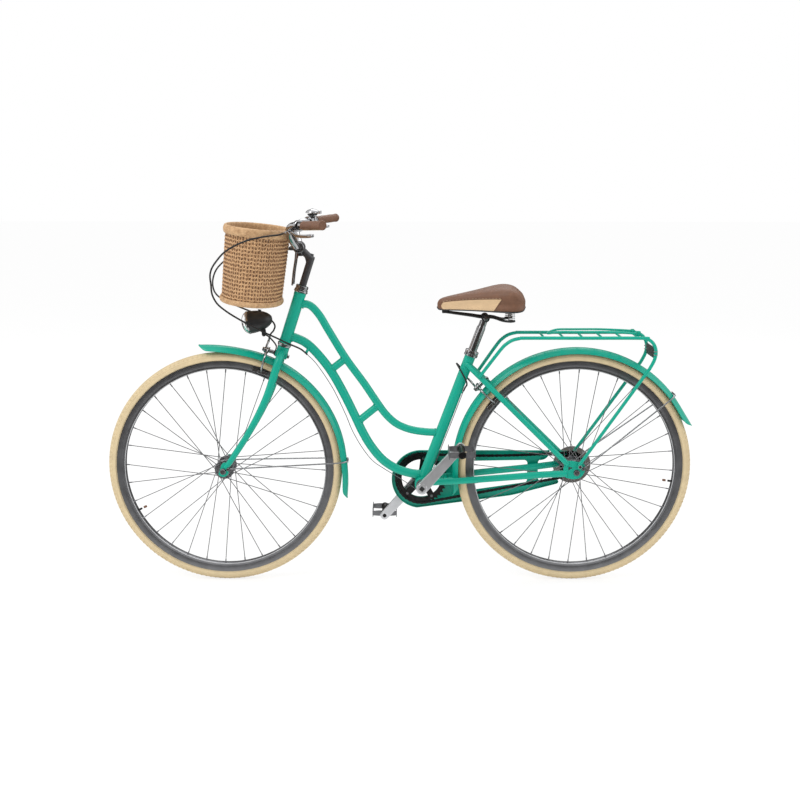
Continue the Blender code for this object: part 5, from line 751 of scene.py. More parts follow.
def rod(start, end, radius, segments=24, edge=None):
    """A straight round bar with softened ends."""
    start = Vector(start)
    reach = Vector(end) - start
    length = reach.length
    soft = min(radius * 0.15, length * 0.1) if edge is None else edge
    profile = [(0, 0), (radius - soft, 0), (radius, soft), (radius, length - soft), (radius - soft, length),
               (0, length)]
    return turned(profile, start, reach, segments)


def bar(centre, half, radius, segments=24, edge=None):
    """A rod that reaches equally far both ways from its centre."""
    return rod(centre - half, centre + half, radius, segments, edge)


def sleeve(inner, outer, half, soft, soft_along=None):
    """The profile of a short tube, both ways from its middle, with turned outer corners."""
    along = soft_along or soft
    return [(inner, -half), (outer - soft, -half), (outer, along - half), (outer, half - along),
            (outer - soft, half), (inner, half)]


def ball(centre, radius, axis=Z_AXIS, segments=24, squash=1.0):
    """A round ball or a flattened one."""
    turns = [-pi / 2 + pi * i / 12 for i in range(13)]
    profile = [(radius * cos(t) if abs(t) < pi / 2 - 0.01 else 0, radius * squash * sin(t)) for t in turns]
    return turned(profile, centre, axis, segments)


def ring(centre, axis, radius, thickness, segments=48, sides=10):
    """A round wire ring."""
    profile = [(radius + thickness * cos(2 * pi * k / sides), thickness * sin(2 * pi * k / sides))
               for k in range(sides)]
    return turned(profile, centre, axis, segments)


def plate(outline, origin, u, v, thickness):
    """Extrude an outline of (u, v) pairs both ways from its plane."""
    origin, u, v = Vector(origin), Vector(u), Vector(v)
    normal = u.cross(v).normalized()
    return loft([[origin + u * a + v * b + normal * offset for a, b in outline]
                 for offset in (-thickness / 2, thickness / 2)])


def block(centre, size, u, v):
    """A box with its sides along u, v and their normal."""
    a, b = size[0] / 2, size[1] / 2
    return plate(((-a, -b), (a, -b), (a, b), (-a, b)), centre, u, v, size[2])


def hex_bolt(place, axis, radius, height):
    """A six-sided head with turned-down corners and a domed face."""
    profile = [(0, 0), (radius * 0.9, 0), (radius, height * 0.12), (radius, height * 0.82),
               (radius * 0.86, height), (radius * 0.4, height * 1.02), (0, height * 1.02)]
    return turned(profile, place, axis, 6)


def arc(centre, radius, start, end, steps):
    """Pairs along an arc, with angles in degrees."""
    return [(centre[0] + radius * cos(radians(start + (end - start) * i / steps)),
             centre[1] + radius * sin(radians(start + (end - start) * i / steps))) for i in range(steps + 1)]


def rounded(outline, radius, steps=4):
    """The outline with each corner rounded by a curve."""
    corners = [Vector(point) for point in outline]
    result = []
    for i, corner in enumerate(corners):
        before, after = corners[i - 1] - corner, corners[(i + 1) % len(corners)] - corner
        reach = min(radius, before.length * 0.45, after.length * 0.45)
        a, b = corner + before.normalized() * reach, corner + after.normalized() * reach
        for k in range(steps + 1):
            t = k / steps
            point = a * (1 - t) ** 2 + corner * 2 * t * (1 - t) + b * t ** 2
            result.append((point.x, point.y))
    return result


def show(name, shapes, paint, node, soften=0.0, sharp=35, ride=True):
    """One object of several closed shapes, which stands for a node and rides on its body."""
    points, faces = [], []
    for shape_points, shape_faces in shapes:
        base = len(points)
        points += shape_points
        faces += [tuple(base + index for index in face) for face in shape_faces]
    mesh = bpy.data.meshes.new(name)
    mesh.from_pydata([tuple(p) for p in points], [], faces)
    mesh.validate()
    mesh.shade_smooth()
    mesh.set_sharp_from_angle(angle=radians(sharp))
    mesh.materials.append(PAINTS[paint])
    piece = bpy.data.objects.new(name, mesh)
    bpy.context.scene.collection.objects.link(piece)
    if soften:
        bevel = piece.modifiers.new("soft_edges", "BEVEL")
        bevel.width = soften
        bevel.segments = 2
        bevel.limit_method = "ANGLE"
        bevel.angle_limit = radians(sharp)
        bevel.harden_normals = True
    if ride:
        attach(piece, BODY_OF[node])
    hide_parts(node)
    return piece


# Places that the pieces share

front_axle = Vector((-WHEELBASE / 2, 0, TYRE_RADIUS))
rear_axle = Vector((WHEELBASE / 2, 0, TYRE_RADIUS))
steer_up = Vector((cos(HEAD_ANGLE), 0, sin(HEAD_ANGLE)))
steer_ahead = Vector((-sin(HEAD_ANGLE), 0, cos(HEAD_ANGLE)))
steer_foot = front_axle - steer_ahead * FORK_RAKE
head_top = FORK_LENGTH + HEAD_LENGTH
bottom_bracket = rear_axle + Vector((-CHAIN_STAY_REACH, 0, -BOTTOM_BRACKET_DROP))
seat_up = Vector((cos(SEAT_ANGLE), 0, sin(SEAT_ANGLE)))
seat_square = Vector((sin(SEAT_ANGLE), 0, -cos(SEAT_ANGLE)))
chain_stay_start = bottom_bracket + Vector((0.008, 0, 0.004))
chain_stay_foot = rear_axle + Vector((-0.028, 0, -0.003))
rear_up = Vector((cos(SEAT_BRIDGE_ANGLE), 0, sin(SEAT_BRIDGE_ANGLE)))
rear_ahead = Vector((-sin(SEAT_BRIDGE_ANGLE), 0, cos(SEAT_BRIDGE_ANGLE)))


def steer(along, ahead=0.0, side=0.0):
    """A point by its distance up the steering axis, ahead of it and to the right."""
    return steer_foot + steer_up * along + steer_ahead * ahead + Y_AXIS * side


def seat(along, side=0.0):
    """A point up the seat tube's axis."""
    return bottom_bracket + seat_up * along + Y_AXIS * side


def around(centre, radius, angle, side=0.0):
    """A point at a radius and an angle from +X in a wheel's plane."""
    return centre + Vector((radius * cos(angle), side, radius * sin(angle)))


def heading(angle):
    """The direction at an angle from +X in a wheel's plane."""
    return around(Vector(), 1, angle)


def behind_axle(pairs):
    """Pairs of X and Z from pairs that are measured back and up from the rear axle."""
    return [(rear_axle.x + dx, rear_axle.z + dz) for dx, dz in pairs]


def span(start, end, shape):
    """A tube's path: its ends and the shares of the run between them."""
    run = end - start
    between = [start + Vector((run.x * along, 0, run.z * up)) for along, up in shape]
    return [start, *between, end]


def at_share(path, share):
    """The point at a share of a path's length."""
    lengths = [(b - a).length for a, b in zip(path, path[1:])]
    left = share * sum(lengths)
    for a, b, length in zip(path, path[1:], lengths):
        if left <= length:
            return a.lerp(b, left / length)
        left -= length
    return path[-1]


def mirror(point):
    """The same point on the other side of the middle plane."""
    return Vector((point[0], -point[1], point[2]))


# Frame

def frame_tubes():
    """Main tubes, struts, stays and bridges, with weld beads where they meet."""
    upper = smooth(span(steer(FORK_LENGTH + UPPER_TUBE_SEATS[0]), seat(UPPER_TUBE_SEATS[1]),
                        UPPER_TUBE_SHAPE), 6)
    lower = smooth(span(steer(FORK_LENGTH + LOWER_TUBE_SEATS[0]), seat(LOWER_TUBE_SEATS[1]),
                        LOWER_TUBE_SHAPE), 6)
    lip_length = 0.010
    wide, slope, hole = HEAD_TUBE_RADIUS + 0.0008, lip_length + 0.003, STEERER_RADIUS + 0.001
    head = [(hole, 0), (wide, 0), (wide, lip_length), (HEAD_TUBE_RADIUS, slope),
            (HEAD_TUBE_RADIUS, HEAD_LENGTH - slope), (wide, HEAD_LENGTH - lip_length),
            (wide, HEAD_LENGTH), (hole, HEAD_LENGTH)]
    shapes = [turned(head, steer(FORK_LENGTH), steer_up),
              sweep(upper, UPPER_TUBE_RADIUS, 28, Y_AXIS), sweep(lower, LOWER_TUBE_RADIUS, 28, Y_AXIS),
              rod(seat(0), seat(SEAT_TUBE_LENGTH), SEAT_TUBE_RADIUS, 40, 0.0006)]
    shell_half = Y_AXIS * BB_SHELL_LENGTH / 2
    shapes.append(bar(bottom_bracket, shell_half, BB_SHELL_RADIUS, 48, 0.001))
    for low_share, high_share in STRUTS:
        low, high = at_share(lower, low_share), at_share(upper, high_share)
        shapes.append(rod(low, high, STRUT_RADIUS, 28))
        for place, towards in ((low, high), (high, low)):
            way = (towards - place).normalized()
            shapes.append(weld(place + way * STRUT_WELD_REACH, way, STRUT_RADIUS))
    for path, joint, depth, radius in ((upper, 0, HEAD_TUBE_RADIUS, UPPER_TUBE_RADIUS),
                                       (lower, 0, HEAD_TUBE_RADIUS, LOWER_TUBE_RADIUS),
                                       (upper, -1, SEAT_TUBE_RADIUS, UPPER_TUBE_RADIUS),
                                       (lower, -1, SEAT_TUBE_RADIUS, LOWER_TUBE_RADIUS)):
        near = path[6] if joint == 0 else path[-7]
        way = (near - path[joint]).normalized()
        shapes.append(weld(path[joint] + way * (depth + 0.0012), way, radius))
    for side, tag in SIDES:
        top = seat(SEAT_STAY_TOP, side * SEAT_STAY_TOP_Y)
        bridge = around(rear_axle, BRIDGE_DISTANCE, SEAT_BRIDGE_ANGLE, side * SEAT_STAY_BRIDGE_Y)
        foot_y = REAR_DROPOUT_Y + DROPOUT_THICKNESS / 2
        foot = rear_axle + Vector((-0.026, side * foot_y, 0.024))
        middle = bridge.lerp(foot, 0.35) + Y_AXIS * side * 0.004
        shapes.append(sweep(smooth([top, bridge, middle, foot], 8), SEAT_STAY_RADIUS, 24, Y_AXIS))
        shapes.append(ball(top, SEAT_STAY_RADIUS * 1.02, Y_AXIS))
        start = chain_stay_start + Y_AXIS * side * 0.024
        end = chain_stay_foot + Y_AXIS * side * foot_y
        run = end - start
        between = [Vector((start.x + run.x * share, side * out, start.z + run.z * share))
                   for share, out in CHAIN_STAY_SHAPE]
        path = smooth([start, *between, end], 4)
        shapes.append(sweep(path, [CHAIN_STAY_SIZE] * len(path), 28, Y_AXIS))
        edge = behind_axle(rounded(DROPOUT_OUTLINE, 0.008, 5))
        window = behind_axle(rounded(DROPOUT_WINDOW, 0.002, 3))
        sheet_with_holes("dropout_" + tag, edge, [window], side * foot_y, DROPOUT_THICKNESS, "frame")
    for distance, angle, out in ((BRIDGE_DISTANCE, SEAT_BRIDGE_ANGLE, SEAT_STAY_BRIDGE_Y),
                                 (CHAIN_BRIDGE_DISTANCE, CHAIN_BRIDGE_ANGLE, CHAIN_STAY_BRIDGE_Y)):
        place = around(rear_axle, distance, angle)
        shapes.append(bar(place, Y_AXIS * out, BRIDGE_RADIUS, 24))
    for foot, reach in CABLE_STOPS:
        foot, reach = Vector(foot), Vector(reach)
        shapes.append(rod(foot, reach - (reach - foot).normalized() * (CABLE_RADIUS + GAP), 0.004, 16))
    show("frame_tubes", shapes, "green_paint", "frame", soften=0.0005)
    caps = []
    for side, tag in SIDES:
        place = bottom_bracket + Y_AXIS * side * BB_SHELL_LENGTH / 2
        caps.append(turned([(0.0095, 0), (0.0165, 0), (0.0165, 0.0018), (0.0150, 0.0024), (0.0095, 0.0024)],
                           place, Y_AXIS * side))
    show("bottom_bracket_cups", caps, "alloy", "bottom_bracket_cartridge")


def weld(place, way, radius):
    """A rounded weld bead round a tube's end."""
    return ring(place, way, radius + 0.0002, 0.0016, 40, 8)


def headset():
    """Cups with rolled edges and the grooved locknut."""
    hole = STEERER_RADIUS + 0.0004
    profile = [(hole, 0), (CUP_RADIUS - 0.0012, 0), (CUP_RADIUS, 0.0012), (CUP_RADIUS, 0.0040),
               (CUP_RADIUS - 0.0012, 0.0052), (CUP_RADIUS - 0.0010, 0.0062), (CUP_RADIUS - 0.0018, 0.0095),
               (CUP_RADIUS - 0.0032, CUP_HEIGHT - GAP), (hole, CUP_HEIGHT - GAP)]
    show("upper_cup", [turned(profile, steer(head_top + GAP), steer_up)], "chrome", "headset_upper_cup")
    show("lower_cup", [turned(profile, steer(FORK_LENGTH - GAP), -steer_up)], "chrome", "headset_lower_cup")
    outer = CUP_RADIUS - 0.002
    profile = [(hole, 0), (outer - 0.001, 0), (outer, 0.0008), (outer, 0.0026), (outer - 0.0012, 0.0032),
               (outer, 0.0038), (outer, LOCKNUT_HEIGHT - 0.0012), (outer - 0.0016, LOCKNUT_HEIGHT),
               (hole, LOCKNUT_HEIGHT)]
    show("locknut", [turned(profile, steer(head_top + CUP_HEIGHT + 2 * GAP), steer_up, 16)], "chrome",
         "headset_locknut", soften=0.0003)


def fork():
    """Crown, curved blades and the front dropouts."""
    crown_low = FORK_LENGTH - CUP_HEIGHT - GAP - CROWN_HEIGHT
    top = head_top + CUP_HEIGHT + 2 * GAP + LOCKNUT_HEIGHT - crown_low
    soft = 0.004
    profile = [(0, 0), (CROWN_RADIUS - soft, 0), (CROWN_RADIUS - 0.001, soft * 0.3), (CROWN_RADIUS, soft),
               (CROWN_RADIUS, CROWN_HEIGHT - 0.001), (CROWN_RADIUS - 0.001, CROWN_HEIGHT),
               (STEERER_RADIUS, CROWN_HEIGHT), (STEERER_RADIUS, top), (STEERER_RADIUS - 0.0018, top),
               (STEERER_RADIUS - 0.0018, top - 0.03), (0, top - 0.03)]
    shapes = [turned(profile, steer(crown_low), steer_up),
              rod(steer(BRAKE_PIVOT_ALONG, -0.018), steer(BRAKE_PIVOT_ALONG, 0.018), 0.0105, 32, 0.0012)]
    crown = BRAKE_PIVOT_ALONG + 0.012
    foot_side = FRONT_DROPOUT_Y + DROPOUT_THICKNESS / 2
    for side in (-1, 1):
        path = [steer(crown, 0, side * 0.006), steer(crown - 0.004, 0, side * 0.020),
                steer(crown - 0.016, 0, side * 0.034), steer(crown - 0.036, 0, side * (BLADE_SPREAD - 0.001)),
                steer(crown - 0.062, 0, side * BLADE_SPREAD), steer(BLADE_BEND_START, 0, side * BLADE_SPREAD)]
        radii = [BLADE_RADIUS] * len(path)
        for i in range(1, 9):
            share = i / 8 * 0.955
            out = BLADE_SPREAD + (foot_side - BLADE_SPREAD) * share
            path.append(steer(BLADE_BEND_START * (1 - share), FORK_RAKE * share ** 1.6, side * out))
            radii.append(BLADE_RADIUS + (BLADE_TIP_RADIUS - BLADE_RADIUS) * share)
        steps = 5
        fine = smooth(path, steps)
        later = radii[1:] + radii[-1:]
        sizes = [radii[i // steps] + (later[i // steps] - radii[i // steps]) * (i % steps) / steps
                 for i in range(len(fine))]
        shapes.append(sweep(fine, sizes, 28))
        plate_centre = front_axle + Y_AXIS * side * foot_side
        outline = arc((0, 0), 0.0165, -150, 60, 14) + [(0.011, 0.024), (0.004, 0.028), (-0.004, 0.022)]
        shapes.append(plate(rounded(outline, 0.004), plate_centre, X_AXIS, Z_AXIS, DROPOUT_THICKNESS))
    show("fork_blades", shapes, "green_paint", "fork", soften=0.0005)


# Wheels

def wheel(tag, centre):
    """Tyre with its tread, rim, hub, spokes with nipples, and valve."""
    middle = TYRE_RADIUS - TYRE_SECTION
    base = TYRE_SECTION - 0.0006
    bead_y, bead_radius = RIM_HALF_WIDTH - 0.0021, RIM_RADIUS - 0.0034
    low = -0.18
    profile = [(middle + base * sin(t), base * cos(t))
               for t in (low + (pi - 2 * low) * i / 28 for i in range(29))]
    wall = 0.004
    profile += [(bead_radius, -bead_y), (bead_radius, -bead_y + 0.003), (middle + wall, -base + wall),
                (middle + base - wall, 0), (middle + wall, base - wall), (bead_radius, bead_y - 0.003),
                (bead_radius, bead_y)]
    tyre = [turned(profile, centre, Y_AXIS, WHEEL_STEPS)]
    tyre += [ring(centre + Y_AXIS * side * base * 0.93, Y_AXIS, middle + base * 0.36, 0.0007, WHEEL_STEPS, 6)
             for side in (-1, 1)]
    tyre += [ring(centre + Y_AXIS * out, Y_AXIS, middle + (TYRE_SECTION ** 2 - out ** 2) ** 0.5 - 0.0007,
                  0.0006, WHEEL_STEPS, 6) for out in TREAD_RIBS]
    for i in range(TREAD_BARS):
        angle = 2 * pi * i / TREAD_BARS
        for side in (-1, 1):
            turn = angle + side * pi / TREAD_BARS / 2
            path = [around(centre, middle + TYRE_SECTION * cos(radians(lean)), turn + side * slant,
                           side * TYRE_SECTION * sin(radians(lean))) for lean, slant in TREAD_BAR_SHAPE]
            tyre.append(sweep(path, [(0.0022, 0.0007)] * 3, 6, across=heading(turn + pi / 2)))
    show(tag + "_tyre_dressed", tyre, "cream_rubber", tag + "_tyre")

    half, edge, inside = RIM_HALF_WIDTH, RIM_RADIUS - 0.0004, RIM_HALF_WIDTH - 0.0018
    crest, floor_radius, wall_foot = RIM_RADIUS + 0.0002, RIM_RADIUS - 0.010, RIM_RADIUS - 0.012
    foot, wide, shoulder = RIM_FOOT_RADIUS, 0.80 * half, RIM_LIP_RADIUS + 0.003
    profile = [(edge, half), (crest, half - 0.0008), (edge, inside), (floor_radius, inside),
               (floor_radius, -inside), (edge, -inside), (crest, -half + 0.0008), (edge, -half),
               (wall_foot, -half), (shoulder, -0.86 * half), (RIM_LIP_RADIUS, -wide), (RIM_LIP_RADIUS, wide),
               (shoulder, 0.86 * half), (wall_foot, half)]
    show(tag + "_rim_dressed", [turned(profile, centre, Y_AXIS, WHEEL_STEPS)], "rim_alloy", tag + "_rim")
    profile = [(RIM_LIP_RADIUS + 0.0006, wide + 0.0003), (foot + 0.0008, wide), (foot, wide * 0.8),
               (foot, -wide * 0.8), (foot + 0.0008, -wide), (RIM_LIP_RADIUS + 0.0006, -wide - 0.0003)]
    show(tag + "_rim_foot", [turned(profile, centre, Y_AXIS, WHEEL_STEPS)], "rim_alloy", tag + "_rim")
    # A lighter ring along each lip of the rim, painted as its highlight
    lip_highlights = [ring(centre + Y_AXIS * side * wide, Y_AXIS, foot + 0.0014, 0.0011, WHEEL_STEPS, 8)
            for side in (-1, 1)]
    show(tag + "_rim_lips", lip_highlights, "lip_painted_highlight", tag + "_rim")
    hub_and_spokes(tag, centre)
    angle = VALVE_ANGLES[tag]
    way = heading(angle)
    start, end = around(centre, RIM_RADIUS, angle), around(centre, VALVE_END, angle)
    stem_end = start.lerp(end, 0.72)
    valve = [rod(start, stem_end, VALVE_RADIUS, 20)]
    valve += [ring(start.lerp(end, 0.50 + 0.025 * i), way, VALVE_RADIUS, 0.00035, 20, 6) for i in range(8)]
    show(tag + "_valve", valve, "black_rubber", tag + "_inner_tube")
    cap = turned([(0, 0), (0.0032, 0), (0.0036, 0.001), (0.0036, 0.008), (0.0030, 0.0094), (0, 0.0100)],
                 end + way * 0.0092, -way, 12)
    show(tag + "_valve_cap", [cap], "brown_leather", tag + "_inner_tube", soften=0.0002)


def hub_and_spokes(tag, centre):
    """A turned hub shell with flanges, black discs painted as the shade in their spoke holes, and 32 crossed
    spokes.
    """
    end, flange_y, f = HUB_END[tag], FLANGE_Y[tag], FLANGE_HALF
    hole = AXLE_RADIUS + BORE_ROOM
    half = [(HUB_END_RADIUS - 0.001, end), (HUB_END_RADIUS, end - 0.001),
            (HUB_END_RADIUS + 0.0006, flange_y + f + 0.0012), (HUB_END_RADIUS + 0.004, flange_y + f),
            (FLANGE_RADIUS - 0.001, flange_y + f), (FLANGE_RADIUS, flange_y + f - 0.001),
            (FLANGE_RADIUS, flange_y - f + 0.001), (FLANGE_RADIUS - 0.001, flange_y - f),
            (HUB_RADIUS + 0.005, flange_y - f), (HUB_RADIUS + 0.0012, flange_y - f - 0.0022),
            (HUB_RADIUS, flange_y - f - 0.006), (HUB_RADIUS - 0.0012, 0.004)]
    profile = [(hole, end)] + half + [(radius, -y) for radius, y in reversed(half)] + [(hole, -end)]
    shell = [turned(profile, centre, Y_AXIS, 64)]
    spokes, nipples, holes = [], [], []
    for i in range(SPOKE_COUNT):
        side = 1 if i % 2 else -1
        lead = 1 if (i // 2) % 2 else -1
        angle = SPOKE_START + 2 * pi * i / SPOKE_COUNT
        lace = SPOKE_LACE_OFFSET * lead
        hub_angle = angle + lead * SPOKE_CROSS_ANGLE
        start = around(centre, SPOKE_HOLE_RADIUS, hub_angle, side * (flange_y + 0.0007) + lace * LACE_AT_HUB)
        finish = around(centre, RIM_FOOT_RADIUS + 0.002, angle, side * SPOKE_RIM_OFFSET + lace)
        way = (finish - start).normalized()
        spokes.append(sweep([start, start.lerp(finish, 0.5), finish], SPOKE_RADIUS, 8))
        place = around(centre, SPOKE_HOLE_RADIUS, hub_angle, side * flange_y)
        inward = Y_AXIS * (1 if side * flange_y + lace * LACE_AT_HUB < side * flange_y else -1)
        spokes.append(ball(start, 0.0017, Y_AXIS, 12, 0.7))
        spokes.append(rod(start, place + inward * 0.0012, 0.001, 8))
        # Black discs on both faces of the flange: painted shade for the spoke hole, which is not cut
        holes += [turned(SPOKE_HOLE_SHADE_PROFILE, place + Y_AXIS * out * (f + 0.00002), Y_AXIS * out, 12)
                  for out in (-1, 1)]
        nipples.append(turned(NIPPLE_PROFILE, finish - way * NIPPLE_LENGTH, way, 8))
    node = tag + "_hub_and_spokes"
    show(tag + "_hub_shell", shell, "rim_alloy", node)
    show(tag + "_spokes", spokes, "spoke_steel", node)
    show(tag + "_nipples", nipples, "bolt_steel", node)
    show(tag + "_spoke_hole_shades", holes, "black_rubber", node)


def axle(tag, centre, dropout_y):
    """Axle with cones inside the dropouts, and washers and domed nuts outside them."""
    nut = dropout_y + DROPOUT_THICKNESS + GAP
    end = nut + AXLE_NUT_WIDTH
    cone = HUB_END[tag] + GAP
    shapes = [bar(centre, Y_AXIS * (end - 0.001), AXLE_RADIUS, 24)]
    nuts = []
    washer = nut + 0.0015
    for side in (-1, 1):
        out = Y_AXIS * side
        profile = [(AXLE_RADIUS, cone), (CONE_RADIUS - 0.002, cone), (CONE_RADIUS, cone + 0.003),
                   (CONE_RADIUS, dropout_y - GAP), (AXLE_RADIUS, dropout_y - GAP)]
        shapes.append(turned(profile, centre, out, 24))
        profile = [(AXLE_RADIUS, nut), (AXLE_NUT_RADIUS, nut), (AXLE_NUT_RADIUS, washer),
                   (AXLE_RADIUS, washer)]
        nuts.append(turned(profile, centre, out, 32))
        nuts.append(hex_bolt(centre + out * washer, out, AXLE_NUT_RADIUS * 0.98, AXLE_NUT_WIDTH - 0.0025))
    show(tag + "_axle_and_cones", shapes, "dark_steel", tag + "_axle", soften=0.0002)
    show(tag + "_axle_nuts", nuts, "bolt_steel", tag + "_axle", soften=0.0003)


def protector_disc():
    """The clear disc between the rear spokes and the sprocket."""
    hole, soft, thick = HUB_END_RADIUS + BORE_ROOM, PROTECTOR_RADIUS - 0.001, 0.0015
    profile = [(hole, 0), (soft, 0), (PROTECTOR_RADIUS, 0.0007), (soft, thick), (hole, thick)]
    disc = turned(profile, rear_axle + Y_AXIS * PROTECTOR_Y, Y_AXIS, 72)
    show("protector_disc", [disc], "clear_plastic", "spoke_protector")


# Mudguards

def guard(name, node, centre, turn, flares, bosses):
    """A thin curved blade with rolled edges."""
    start, end = turn
    reach, fade, power = flares
    steps, points = 110, 12
    rings, edges = [], [[], []]
    for i in range(steps + 1):
        angle = start + (end - start) * i / steps
        edge = min(abs(angle - start), abs(end - angle))
        inwards = (1 if abs(angle - start) < abs(end - angle) else -1) * (1 if end > start else -1)
        cut_back = inwards * GUARD_TONGUE * max(0, 1 - edge / GUARD_TONGUE_FADE)
        flare = reach * max(0, 1 - edge / fade) ** power
        tip = max(0, 1 - edge / GUARD_TIP_TURN)
        narrow = 1 - GUARD_TIP_NARROWING * tip ** 3
        outer, inner = [], []
        for k in range(-points, points + 1):
            share = k / points
            drop = GUARD_DEPTH * abs(share) ** GUARD_CROWN_POWER * narrow
            y = GUARD_HALF_WIDTH * share * narrow
            turned_back = angle + cut_back * abs(share) ** GUARD_TONGUE_POWER
            outer.append(around(centre, GUARD_RADIUS + flare - drop, turned_back, y))
            inner.append(around(centre, GUARD_RADIUS + flare - drop - GUARD_THICKNESS, turned_back, y * 0.96))
        rings.append(outer + inner[::-1])
        edges[0].append(outer[0])
        edges[1].append(outer[-1])
    shapes = [loft(rings)] + [sweep(edge, 0.0011, 8, Y_AXIS) for edge in edges]
    shapes += [sweep(blade_end[:2 * points + 1], 0.0010, 8) for blade_end in (rings[0], rings[-1])]
    show(name, shapes + bosses, "green_paint", node)


def guard_boss(centre, direction, reach):
    """A boss from a mudguard's crown towards what holds it."""
    direction = direction.normalized()
    return rod(centre + direction * (GUARD_RADIUS - 0.001), centre + direction * reach, 0.004, 20)


def guard_stay(tag, centre, foot, foot_y, angle):
    """A wire stay with its eyes and bolts, over the mudguard from dropout to dropout."""
    over = GUARD_RADIUS + GUARD_STAY_RADIUS + 2 * GAP
    half = [centre + Vector((foot[0], foot_y, foot[1])),
            around(centre, GUARD_RADIUS - 0.030, angle, GUARD_HALF_WIDTH + 0.0070),
            around(centre, GUARD_RADIUS - 0.014, angle, GUARD_HALF_WIDTH + 0.0045),
            around(centre, GUARD_RADIUS - 0.005, angle, GUARD_HALF_WIDTH + 0.0005),
            around(centre, over, angle, 0.016)]
    mirrored = [mirror(p) for p in reversed(half)]
    crown = around(centre, over, angle)
    beside = half[0] + around(Vector(), 0.030, angle)
    path = [half[0], beside] + smooth(half[1:] + [crown] + mirrored[:-1], 6) + [mirror(beside), mirrored[-1]]
    shapes = [sweep(path, GUARD_STAY_RADIUS, 14, across=heading(angle))]
    bolts = []
    for side in (-1, 1):
        place = Vector((half[0].x, side * foot_y, half[0].z))
        out = Y_AXIS * side
        shapes.append(turned([(0.0028, -0.0018), (0.0060, -0.0018), (0.0060, 0.0018), (0.0028, 0.0018)],
                             place, out, 28))
        bolts.append(hex_bolt(place + out * 0.0019, out, 0.0046, 0.0030))
        bolts.append(rod(place - out * 0.0019, place + out * 0.0030, 0.0027, 16))
    clip, way = around(centre, over + 0.0008, angle), heading(angle)
    shapes.append(block(clip, (0.013, 0.026, 0.0014), heading(angle + pi / 2), Y_AXIS))
    bolts += [ball(clip + Y_AXIS * y + way * 0.001, 0.0028, way, 16, 0.5) for y in (-0.009, 0.009)]
    node = tag + "_mudguard_stay"
    show(tag + "_stay_wire", shapes, "alloy", node, soften=0.0002)
    show(tag + "_stay_bolts", bolts, "bolt_steel", node, soften=0.0002)


def mudguards():
    """Both mudguards with their stays."""
    crown = steer(BRAKE_PIVOT_ALONG)
    front_reach = (crown - front_axle).length - 0.0105 - 4 * GAP
    guard("front_guard_blade", "front_mudguard", front_axle, FRONT_GUARD_SPAN, FRONT_FLARE,
          [guard_boss(front_axle, crown - front_axle, front_reach)])
    rear_bosses = [guard_boss(rear_axle, heading(angle), distance - BRIDGE_RADIUS - GAP)
                   for distance, angle in ((BRIDGE_DISTANCE, SEAT_BRIDGE_ANGLE),
                                           (CHAIN_BRIDGE_DISTANCE, CHAIN_BRIDGE_ANGLE))]
    guard("rear_guard_blade", "rear_mudguard", rear_axle, REAR_GUARD_SPAN, REAR_FLARE, rear_bosses)
    guard_stay("front", front_axle, (0.0160, 0.008),
               FRONT_DROPOUT_Y + DROPOUT_THICKNESS + GUARD_STAY_RADIUS + GAP, FRONT_STAY_ANGLE)
    guard_stay("rear", rear_axle, (0.0190, 0.0130),
               REAR_DROPOUT_Y + DROPOUT_THICKNESS + GUARD_STAY_RADIUS + GAP, REAR_STAY_ANGLE)


# Drive

def pitch_radius(teeth):
    """The radius of a chain's pins round a sprocket."""
    return CHAIN_PITCH / (2 * sin(pi / teeth))


def toothed_disc(teeth, centre, hole, phase=0.0, lift=0.0018):
    """A sprocket plate: teeth between the chain's rollers, and a round hole."""
    pitch = pitch_radius(teeth)
    rows = []
    profile = ((0.0, -0.0040), (0.14, -0.0038), (0.27, -0.0012), (0.38, lift), (0.5, lift + 0.0009),
               (0.62, lift), (0.73, -0.0012), (0.86, -0.0038))
    outer = []
    for tooth in range(teeth):
        for share, height in profile:
            outer.append((pitch + height, phase + 2 * pi * (tooth + share) / teeth))
    for toothed, y in ((False, -0.5), (True, -0.5), (True, 0.5), (False, 0.5)):
        rows.append([around(centre, radius if toothed else hole, angle, y * RING_THICKNESS * 0.8)
                     for radius, angle in outer])
    return loft(rows, closed=True)


def chain_points():
    """Pin places along the chain's loop, a pitch apart."""
    big, small = pitch_radius(CHAINRING_TEETH), pitch_radius(SPROCKET_TEETH)
    line = rear_axle - bottom_bracket
    tilt = atan2(line.z, line.x)
    contact = acos((big - small) / line.length)
    loop, steps, sag_steps = [], 160, 40
    for centre, radius, start, end in ((bottom_bracket, big, tilt + contact, tilt - contact + 2 * pi),
                                       (rear_axle, small, tilt - contact, tilt + contact)):
        loop += [around(centre, radius, start + (end - start) * i / steps) for i in range(steps + 1)]
    rear_top, front_top = loop[-1], loop[0]
    for i in range(1, sag_steps):
        share = i / sag_steps
        loop.append(rear_top.lerp(front_top, share) - Z_AXIS * CHAIN_SAG * 4 * share * (1 - share))
    lengths = [(b - a).length for a, b in zip(loop, loop[1:] + loop[:1])]
    count = 2 * round(sum(lengths) / CHAIN_PITCH / 2)
    step = sum(lengths) / count
    pins, left = [], 0.0
    for a, b, length in zip(loop, loop[1:] + loop[:1], lengths):
        while left < length and len(pins) < count:
            pins.append(a.lerp(b, left / length))
            left += step
        left -= length
    return pins


